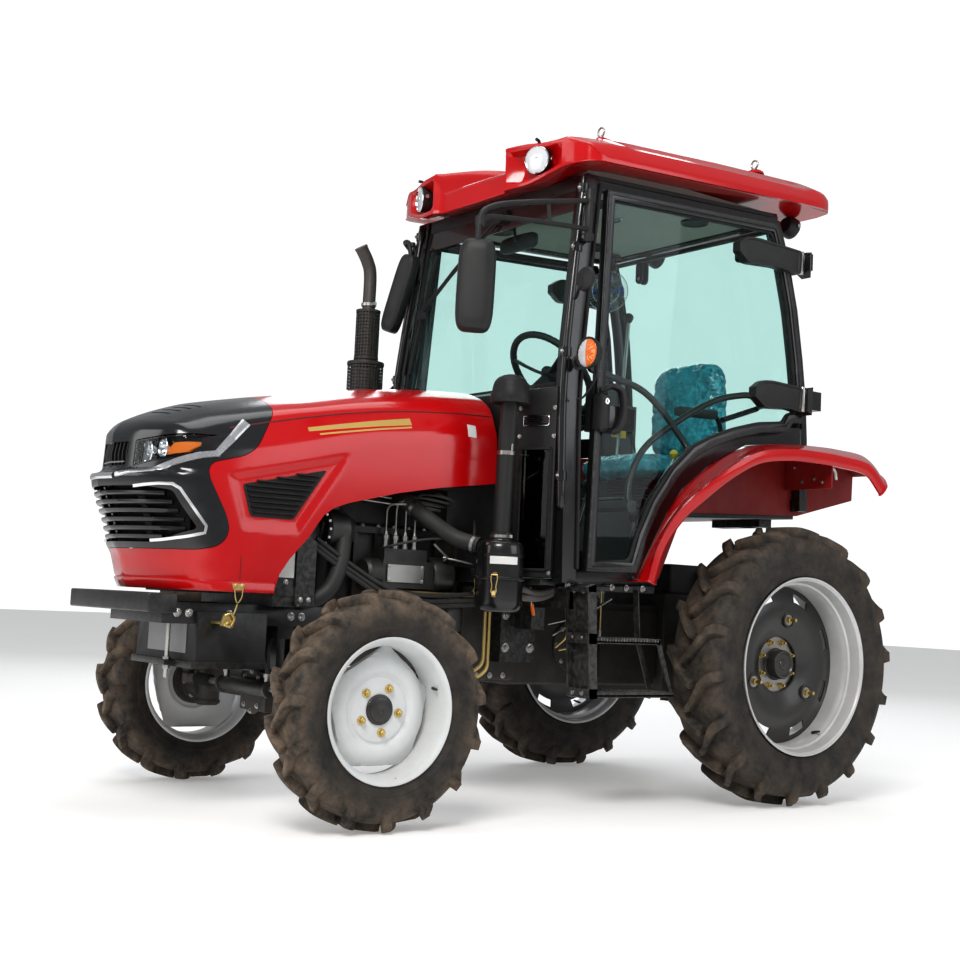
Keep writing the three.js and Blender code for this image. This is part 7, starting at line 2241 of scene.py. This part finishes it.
# ------------------------------------------------------------------ seat
def pad_mesh(C, half, crown, nexp, n=22, taper=0.0):
    """Closed crowned form: half sizes along x, y, z; crown is the share of the thin axis that swells at the middle."""
    C = Vector(C)
    thin = min(range(3), key=lambda k: half[k])
    pts, faces, index = [], [], {}

    def vid(p):
        key = tuple(round(c, 5) for c in p)
        if key not in index:
            e = nexp
            m = sum(abs(c) ** e for c in p) ** (1 / e)
            q_ = [c / m for c in p]
            o = [k for k in range(3) if k != thin]
            fall = (1 - abs(q_[o[0]]) ** 2.6) * (1 - abs(q_[o[1]]) ** 2.6)
            q_[thin] *= (1 - crown) + crown * max(0, fall) ** .5
            if taper:
                q_[0] *= 1 - taper * max(0, q_[2])
            index[key] = len(pts)
            pts.append((C.x + q_[0] * half[0], C.y + q_[1] * half[1] - YS, C.z + q_[2] * half[2]))
        return index[key]
    lin = [-1 + 2 * i / n for i in range(n + 1)]
    for ax in range(3):
        for sgn in (-1, 1):
            def P(u, v):
                p = [0, 0, 0]
                p[ax], p[(ax + 1) % 3], p[(ax + 2) % 3] = sgn, u, v
                return vid(p)
            for i in range(n):
                for j in range(n):
                    f = [P(lin[i], lin[j]), P(lin[i + 1], lin[j]), P(lin[i + 1], lin[j + 1]), P(lin[i], lin[j + 1])]
                    faces.append(f if sgn > 0 else f[::-1])
    me = bpy.data.meshes.new("pad")
    me.from_pydata(pts, [], faces)
    return me


def cloth_puff(me, cap, voxel=.006):
    """Inflates the form as a fabric shell, and keeps each point within cap of where it started."""
    o = bpy.data.objects.new("puff", me)
    bpy.context.scene.collection.objects.link(o)
    md = o.modifiers.new("remesh", "REMESH")
    md.mode, md.voxel_size = "VOXEL", voxel
    dg = bpy.context.evaluated_depsgraph_get()
    base = bpy.data.meshes.new_from_object(o.evaluated_get(dg))
    bpy.data.objects.remove(o)
    o = bpy.data.objects.new("puff", base)
    bpy.context.scene.collection.objects.link(o)
    start = np.empty(len(base.vertices) * 3)
    base.vertices.foreach_get("co", start)
    cl = o.modifiers.new("cloth", "CLOTH")
    cl.settings.use_pressure = True
    cl.settings.uniform_pressure_force = 4.0
    cl.settings.effector_weights.gravity = 0
    cl.settings.quality = 4
    cl.settings.mass = .3
    cl.settings.tension_stiffness = cl.settings.compression_stiffness = 12
    cl.point_cache.frame_start, cl.point_cache.frame_end = 1, 20
    for k in range(1, 21):
        bpy.context.scene.frame_set(k)
    res = bpy.data.meshes.new_from_object(o.evaluated_get(bpy.context.evaluated_depsgraph_get()))
    bpy.context.scene.frame_set(1)
    end = np.empty(len(res.vertices) * 3)
    res.vertices.foreach_get("co", end)
    bpy.data.objects.remove(o)
    if len(end) != len(start):
        return base
    a, b = start.reshape(-1, 3), end.reshape(-1, 3)
    d = b - a
    L = np.linalg.norm(d, axis=1, keepdims=True)
    b = a + d * np.minimum(1, cap / np.maximum(L, 1e-9))
    res.vertices.foreach_set("co", b.ravel())
    res.update()
    return res


def crinkle(co, no, amount):
    """Creases of a thin film over padding: folded noise along stretched directions."""
    out = np.zeros(len(co))
    for k, (p, n_) in enumerate(zip(co, no)):
        v = Vector(p)
        a = mnoise.noise(Vector((v.x * 9, v.y * 22, v.z * 16 + v.x * 12)))
        b = mnoise.noise(Vector((v.x * 30 + v.z * 20, v.y * 40, v.z * 26 - v.x * 22)) + Vector((5, 2, 1)))
        c = mnoise.noise(Vector((v.x * 70, v.y * 66, v.z * 52)) + Vector((1, 7, 3)))
        out[k] = amount * (.55 * (1 - abs(a) * 3) + .45 * (1 - abs(b) * 3) + .2 * c)
    return co + no * out[:, None]


def soft_pad(name, me, cap, node, grooves, amount, limit):
    me = cloth_puff(me, cap)
    bm = bmesh.new()
    bm.from_mesh(me)
    bmesh.ops.remove_doubles(bm, verts=bm.verts, dist=1e-6)
    bmesh.ops.recalc_face_normals(bm, faces=bm.faces)
    None
    bm.normal_update()
    co = np.array([v.co[:] for v in bm.verts])
    no = np.array([v.normal[:] for v in bm.verts])
    for axis, at, lo_, hi_, depth, w, cross in grooves:
        d = np.abs(co[:, axis] - at)
        inside = (co[:, cross] > lo_) & (co[:, cross] < hi_)
        co = co - no * (depth * np.exp(-(d / w) ** 2) * inside)[:, None]
    co = crinkle(co, no, amount)
    for k in range(3):
        co[:, k] = np.clip(co[:, k], limit[0][k], limit[1][k])
    for v, c in zip(bm.verts, co):
        v.co = c
    for f in bm.faces:
        f.smooth = True
    out = bpy.data.meshes.new(name)
    bm.to_mesh(out)
    bm.free()
    out.materials.clear()
    out.materials.append(MATS["seat_film"])
    o = bpy.data.objects.new(name, out)
    bpy.context.scene.collection.objects.link(o)
    md = o.modifiers.new("sub", "SUBSURF")
    md.levels = md.render_levels = 1
    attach(o, "chassis")
    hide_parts(node)
    return o


from mathutils import noise as mnoise
q = Mat("seat_film")
n1 = q.ramp(q.noise(7, 6, .6), (.38, 0.0), (.64, 1.0))
# mask of small spots for the painted highlights of the film
film_highlight_mask = q.ramp(q.noise(34, 7, .75), (.47, 0.0), (.60, 1.0))
c = q.mix(n1, (0.012, 0.165, 0.225), (0.022, 0.40, 0.53))
# pale cyan spots: painted highlights of the glossy film
c = q.mix(q.math("MULTIPLY", film_highlight_mask, .6), c, (0.10, 0.66, 0.80))
q.to("Base Color", c)
q.to("Roughness", q.rangeof(q.noise(40, 5, .6), .3, .7, .14, .34))
q.b.inputs["Coat Weight"].default_value = .7
q.b.inputs["Coat Roughness"].default_value = .08
fold = q.math("ABSOLUTE", q.math("SUBTRACT", q.noise(30, 5, .55), .5))
fold2 = q.math("ABSOLUTE", q.math("SUBTRACT", q.noise(75, 4, .5), .5))
q.bump(q.math("ADD", fold, q.math("MULTIPLY", fold2, .5)), .9, .012)
MATS["seat_film"] = q.m

cush = pad_mesh((0, 1.665, 1.286), (.222, .192, .045), .25, 5.5)
soft_pad("seat_cushion_pad", cush, .010, "seat_cushion", [(1, 1.665 - YS - .07, -.3, .3, .006, .008, 0), (1, 1.665 - YS + .07, -.3, .3, .006, .008, 0), (0, -.13, 1.29, 1.40, .007, .008, 2), (0, .13, 1.29, 1.40, .007, .008, 2)], .0035, ((-.234, 1.463 - YS, 1.2365), (.234, 1.867 - YS, 1.340)))
back = pad_mesh((0, 1.920, 1.560), (.216, .041, .209), .25, 4.6, taper=.05)
soft_pad("seat_back_pad", back, .010, "seat_back", [(2, 1.66, -.3, .3, .005, .008, 0), (2, 1.56, -.3, .3, .005, .008, 0), (2, 1.46, -.3, .3, .005, .008, 0)], .0035, ((-.221, 1.873 - YS, 1.345), (.221, 1.967 - YS, 1.774)))
edged("seat_base", "seat_pedestal", "dash_plastic", "chassis", .006, 3)
g = Geo()
# bellows between the slides and the pan, slide rails, adjuster lever, arm rests and belt buckle
for k in range(6):
    z = 1.152 + k * .0125
    g.rings([[(x * (.128 + e), 1.69 + y * (.128 + e), z + dz) for x, y in ((1, .8), (.8, 1), (-.8, 1), (-1, .8), (-1, -.8), (-.8, -1), (.8, -1), (1, -.8))] for e, dz in ((-.012, 0), (0, .004), (0, .007), (-.012, .011))], 0)
for s in (1, -1):
    g.box(s * .155, s * .175, 1.50, 1.86, 1.118, 1.150, 1)
    g.tube(smooth_path([(s * .238, 1.84, 1.30), (s * .262, 1.85, 1.42), (s * .266, 1.82, 1.50), (s * .266, 1.74, 1.51)], 8), .010, 10, 1)
    g.tube([(s * .266, 1.80, 1.512), (s * .266, 1.60, 1.507)], .02, 14, 0, flat=(.050, .036))
g.tube([(.12, 1.52, 1.135), (.12, 1.45, 1.150), (-.12, 1.45, 1.150), (-.12, 1.52, 1.135)], .006, 8, 2)
g.tube([(-.245, 1.80, 1.20), (-.250, 1.78, 1.30)], .008, 8, 0, flat=(.030, .008))
g.box(-.262, -.240, 1.76, 1.80, 1.30, 1.36, 0)
g.make("seat_fittings", ["dash_plastic", "black_gloss", "steel"], "chassis", bevel=.0015, angle=38)

# ------------------------------------------------------------------ dash, column, wheel
edged("dashboard", "dash_panel", "dash_plastic", "chassis", .006, 3)
edged("steering_column", "column_jacket", "black_plastic", "chassis", .002, 2)
CD = Vector((0, .743, .669)).normalized()
g = Geo()
# instrument binnacle on the column shroud, with dials and lamps, facing the driver
cc = Vector((0, .955, 1.385))
nn = Vector((0, .62, .78)).normalized()
ub = Vector((0, -.78, .62)).normalized()
ring = lambda k, w, h, t: [tuple(cc + nn * t + Vector((math.copysign(abs(math.cos(a)) ** .4, math.cos(a)) * w * k, 0, 0)) + ub * (math.copysign(abs(math.sin(a)) ** .4, math.sin(a)) * h * k)) for a in np.linspace(0, 2 * math.pi, 48, endpoint=False)]
g.rings([ring(1, .150, .075, -.05), ring(1, .165, .085, .0), ring(1, .165, .085, .022), ring(.97, .165, .085, .028), ring(.93, .165, .085, .026), ring(.92, .165, .085, .008), ring(.2, .165, .085, .008)], 0)
for x, r in ((-.085, .040), (0, .046), (.085, .040)):
    c0 = cc + nn * .009 + Vector((x, 0, 0))
    g.disc(c0, nn, r, .006, 36, 1, .001)
    g.disc(c0 + nn * .006, nn, r * .90, .0012, 36, 2)
    for k in range(11):
        a = math.radians(-30 + k * 24)
        d0 = Vector((math.cos(a), 0, 0)) + ub * math.sin(a)
        g.tube([c0 + nn * .0078 + d0 * r * .70, c0 + nn * .0078 + d0 * r * .84], .0009, 5, 3)
    a = math.radians(60 + x * 900)
    d0 = Vector((math.cos(a), 0, 0)) + ub * math.sin(a)
    g.tube([c0 + nn * .0085 - d0 * r * .12, c0 + nn * .0085 + d0 * r * .72], .0011, 5, 4)
    g.disc(c0 + nn * .0075, nn, r * .12, .003, 16, 0)
for k in range(5):
    g.disc(cc + nn * .009 - ub * .066 + Vector(((k - 2) * .022, 0, 0)), nn, .005, .003, 14, (5, 4, 6, 4, 5)[k])
# switches on the dash and vents
for k in range(4):
    g.box(.14 + k * .028, .160 + k * .028, .802, .812, 1.34, 1.38, 0)
for x in (-.18, .18):
    for k in range(5):
        g.box(x - .045, x + .045, .800, .806, 1.245 + k * .013, 1.251 + k * .013, 0)
# combination switch stalks
for s in (1, -1):
    g.tube(smooth_path([CD * .0 + Vector((s * .024, 1.060, 1.530)), Vector((s * .09, 1.052, 1.540)), Vector((s * .145, 1.050, 1.548))], 8), [.0055] * 17, 10, 0)
    g.tube([Vector((s * .125, 1.050, 1.546)), Vector((s * .160, 1.050, 1.549))], .009, 12, 0)
g.make("binnacle", ["dash_plastic", "black_gloss", "black_plastic", "label_white", "red_lens", "amber", "fan_blue"], "chassis", angle=36)

hub = Vector((0, 1.1446, 1.6106))
e1 = Vector((1, 0, 0))
e2 = CD.cross(e1).normalized()
g = Geo()
W = lambda a, r, h: hub + e1 * (r * math.cos(a)) + e2 * (r * math.sin(a)) + CD * h
n_ = 96
rg = []
for i in range(n_):
    a = 2 * math.pi * i / n_
    d = e1 * math.cos(a) + e2 * math.sin(a)
    rr_ = .0135 + .0009 * abs(math.sin(24 * a))
    rg.append([tuple(hub + CD * .014 + d * (.190 + rr_ * math.cos(b)) + CD * (rr_ * math.sin(b))) for b in np.linspace(0, 2 * math.pi, 16, endpoint=False)])
g.rings(rg, 0, closed=True)
for a in (math.pi / 2, math.pi * 7 / 6, math.pi * 11 / 6):
    g.tube([W(a, .020, .002), W(a, .07, .001), W(a, .13, .005), W(a, .184, .013)], .01, 10, 0, flat=(.030, .013))
hp = lambda r, h: [tuple(hub + e1 * (r * math.cos(t)) + e2 * (r * math.sin(t)) + CD * h) for t in np.linspace(0, 2 * math.pi, 36, endpoint=False)]
g.rings([hp(.028, -.014), hp(.033, -.010), hp(.044, .004), hp(.044, .012), hp(.038, .019), hp(.034, .0195), hp(.033, .0185), hp(.012, .0215), hp(.002, .022)], 0)
g.make("steering_wheel_ring", "black_plastic", "steering_wheel_body", replaces="steering_wheel", angle=40, slot="black_plastic")

# ------------------------------------------------------------------ levers, pedals, floor and ceiling fittings
g = Geo()
def knob(g, p, r, mat):
    g.lathe([(p[2] - r * 1.05, 0), (p[2] - r * 1.05, r * .45), (p[2] - r * .6, r * .75), (p[2], r), (p[2] + r * .55, r * .82), (p[2] + r * .92, r * .38), (p[2] + r, 0)], "z", (p[0], p[1]), 24, mat)


for pts, r, kr, m in (([(-.29, 1.76, 1.13), (-.30, 1.80, 1.5), (-.30, 1.83, 1.97)], .008, .022, 0), ([(.30, 1.33, .86), (.302, 1.345, .97), (.30, 1.35, 1.045)], .007, .024, 0),
                      ([(.345, 1.44, 1.09), (.35, 1.46, 1.22), (.352, 1.50, 1.30)], .006, .018, 2), ([(.39, 1.50, 1.10), (.392, 1.53, 1.24), (.392, 1.58, 1.33)], .006, .018, 3),
                      ([(-.36, 1.45, 1.10), (-.365, 1.47, 1.25), (-.36, 1.49, 1.34)], .006, .018, 0), ([(.09, 1.20, .86), (.10, 1.24, 1.02), (.12, 1.27, 1.16)], .009, .025, 0)):
    g.tube(smooth_path(pts, 6), r, 10, 1)
    knob(g, (pts[-1][0], pts[-1][1], pts[-1][2] + kr), kr, m)
    g.lathe([(pts[0][2] - .004, 0), (pts[0][2] - .004, .045), (pts[0][2] + .012, .040), (pts[0][2] + .020, .026), (pts[0][2] + .030, .018), (pts[0][2] + .034, 0)], "z", pts[0][:2], 20, 4)
# pedals
for x, w in ((-.17, .035), (.15, .032), (.23, .032)):
    g.tube([(x, .86, 1.02), (x, .94, .93), (x, 1.0, .90)], .008, 8, 1)
    g.rings([[(x + i * w, .985 + .028 * j, .886 + .026 * j + t) for i, j in ((1, 1), (-1, 1), (-1, -1), (1, -1))] for t in (-.008, .008)], 4)
g.make("levers", ["black_plastic", "steel", "label_yellow", "red_lens", "rubber_seal"], "chassis", angle=38)

edged("platform", "cab_floor", "black_paint", "chassis", .003, 2)
g = Geo()
# rubber mat with ribs, tunnel cover and side consoles along the inner fender
g.prism([(.775, .806), (1.268, .832), (1.268, .838), (.775, .812)], "x", -.470, .470, 0)
for k in range(28):
    y = .80 + k * .0165
    z = lerp([(.775, .812), (1.268, .838)], y)
    g.box(-.455, .455, y, y + .007, z - .001, z + .003, 0)
g.rings([[(-.10, y, z), (.10, y, z), (.085, y + .0, z + .09), (-.085, y + .0, z + .09)] for y, z in ((1.02, .825), (1.28, .838))], 0)
for s in (1, -1):
    g.prism([(1.41, 1.085), (1.99, 1.115), (1.99, 1.23), (1.72, 1.235), (1.55, 1.21), (1.43, 1.135)], "x", s * .325, s * .478, 1)
g.box(-.325, -.478, 1.56, 1.92, 1.225, 1.262, 1)
g.box(.355, .475, 1.70, 1.93, 1.225, 1.245, 1)
g.make("floor_mat", ["rubber_seal", "dash_plastic"], "chassis", bevel=.003, blimit=50, angle=36)

# right-hand pillar box with its yellow label
g = Geo()
g.box(-.455, -.40, 1.80, 1.99, 1.30, 1.62, 0)
g.box(-.3995, -.3985, 1.84, 1.93, 1.47, 1.55, 1)
g.make("pillar_box", ["dash_plastic", "label_yellow"], "chassis", bevel=.004, angle=36)
# fan in its cage, hung from the ceiling at the rear right
g = Geo()
fc, fn = Vector((-.30, 1.70, 2.09)), Vector((.55, -.80, -.10)).normalized()
fa = Vector((0, 0, 1)) - fn * fn.z
fa.normalize()
fb = fn.cross(fa)
FR = lambda a, r, t: fc + fn * t + fa * (r * math.cos(a)) + fb * (r * math.sin(a))
for k in range(4):
    a0 = k * math.pi / 2
    rows = []
    for r in np.linspace(.018, .074, 7):
        w = .30 + .38 * (r / .074)
        rows.append([tuple(FR(a0 + w * u, r, -.010 + .022 * (u + .5) + sgn * .0011)) for sgn, us in ((1, (-.5, -.25, 0, .25, .5)), (-1, (.5, .25, 0, -.25, -.5))) for u in us])
    g.rings(rows, 0)
g.rings([[tuple(FR(a, r, t)) for a in np.linspace(0, 2 * math.pi, 28, endpoint=False)] for r, t in ((.022, -.018), (.024, .010), (.018, .018), (.003, .021))], 0)
g.rings([[tuple(FR(a, r, t)) for a in np.linspace(0, 2 * math.pi, 28, endpoint=False)] for r, t in ((.012, -.020), (.030, -.026), (.034, -.040), (.034, -.080), (.024, -.094), (.003, -.096))], 1)
for k in range(44):
    a = 2 * math.pi * k / 44
    g.tube([FR(a + .02, .020, .034), FR(a + .05, .060, .033), FR(a + .08, .086, .020), FR(a + .08, .090, .0), FR(a + .06, .080, -.020), FR(a, .034, -.036)], .0008, 4, 2)
for r, t in ((.090, .0), (.060, .0335), (.022, .0345)):
    g.tube([FR(a, r, t) for a in np.linspace(0, 2 * math.pi, 40, endpoint=False)], .0016, 6, 2, closed=True)
g.disc(FR(0, 0, .032), fn, .021, .005, 24, 0, .001)
g.tube(smooth_path([fc - fn * .070, fc - fn * .085 + Vector((0, 0, .05)), fc - fn * .08 + Vector((0, .01, .12)), Vector((-.345, 1.77, 2.262))], 6), .009, 10, 1)
g.disc((-.345, 1.77, 2.252), (0, 0, 1), .030, .018, 20, 1, .002)
g.make("cab_fan", ["fan_blue", "black_plastic", "silver_trim"], "chassis", angle=40)
# inside mirror and sun blind on the header
g = Geo()
g.tube([(-.36, .925, 2.205), (.36, .925, 2.205)], .016, 16, 0)
g.rings([[(kx * .115 * k + .0, .96 + t * .5, 2.115 + kz * .032 * k - t * .1) for kx, kz in [(math.copysign(abs(math.cos(a)) ** .5, math.cos(a)), math.copysign(abs(math.sin(a)) ** .5, math.sin(a))) for a in np.linspace(0, 2 * math.pi, 32, endpoint=False)]] for t, k in ((-.02, .8), (-.005, 1), (.012, 1), (.014, .94), (.010, .93), (.010, .2))], 0)
g.tube([(0, .945, 2.12), (0, .935, 2.19)], .006, 8, 0)
g.make("inside_mirror", ["black_plastic"], "chassis", angle=36)


# ------------------------------------------------------------------ what stays of the frame
DEFAULT = {
    "nose_mask": "grey_nose", "hood_shell": "red_paint", "grille": "black_plastic", "headlamp_left": "clear_lens", "headlamp_right": "clear_lens",
    "engine_block": "cast_iron", "front_frame": "black_paint", "weight_bar": "black_paint", "radiator": "black_paint", "transmission": "cast_iron",
    "front_axle": "cast_iron", "steer_cylinder": "black_paint", "steer_rod": "steel", "front_tyre_left": "tyre_front", "front_tyre_right": "tyre_front",
    "front_rim_left": "rim_front", "front_rim_right": "rim_front", "rear_tyre_left": "tyre_rear", "rear_tyre_right": "tyre_rear",
    "rear_rim_left": "rim_rear", "rear_rim_right": "rim_rear", "knuckle_left": "cast_iron", "knuckle_right": "cast_iron", "platform": "black_paint",
    "cab_frame": "black_gloss", "door_frame_left": "black_gloss", "door_frame_right": "black_gloss", "door_glass_left": "cab_glass",
    "door_glass_right": "cab_glass", "windscreen": "cab_glass", "rear_window": "cab_glass", "cowl": "black_plastic", "corner_window_left": "dark_glass",
    "corner_window_right": "dark_glass", "roof": "red_paint", "fender_left": "red_paint", "fender_right": "red_paint", "step_left": "black_paint",
    "step_right": "black_paint", "seat_base": "dash_plastic", "seat_cushion": "vinyl_black", "seat_back": "vinyl_black", "dashboard": "dash_plastic",
    "steering_column": "black_paint", "steering_wheel": "black_plastic", "air_cleaner": "black_paint", "intake_stack": "black_plastic",
    "exhaust_stack": "hot_steel", "mirror_left": "black_plastic", "mirror_right": "black_plastic", "turn_lamp_left": "amber", "turn_lamp_right": "amber",
    "drawbar": "cast_iron", "top_link": "cast_iron", "lower_link_left": "cast_iron", "lower_link_right": "cast_iron",
}
for node, name in DEFAULT.items():
    paint(node, name)

# ------------------------------------------------------------------ floor
q = Mat("floor")
c = q.mix(q.ramp(q.noise(0.8, 4), (0.35, 0.0), (0.7, 1.0)), (0.78, 0.775, 0.77), (0.81, 0.805, 0.80))
q.to("Base Color", c)
q.b.inputs["Emission Color"].default_value = (1.0, 0.995, 0.985, 1)
q.b.inputs["Emission Strength"].default_value = 0.22
q.to("Roughness", q.rangeof(q.noise(6, 5), 0.3, 0.7, 0.72, 0.85))
q.bump(q.noise(120, 4), 0.05, 0.001)
me = bpy.data.meshes.new("floor")
bm = bmesh.new()
S_ = 30.0
vs = [bm.verts.new((x, y, 0.0)) for x, y in ((-S_, -S_), (S_, -S_), (S_, S_), (-S_, S_))]
bm.faces.new(vs)
bm.to_mesh(me)
bm.free()
me.materials.append(q.m)
floor = bpy.data.objects.new("floor", me)
bpy.context.scene.collection.objects.link(floor)
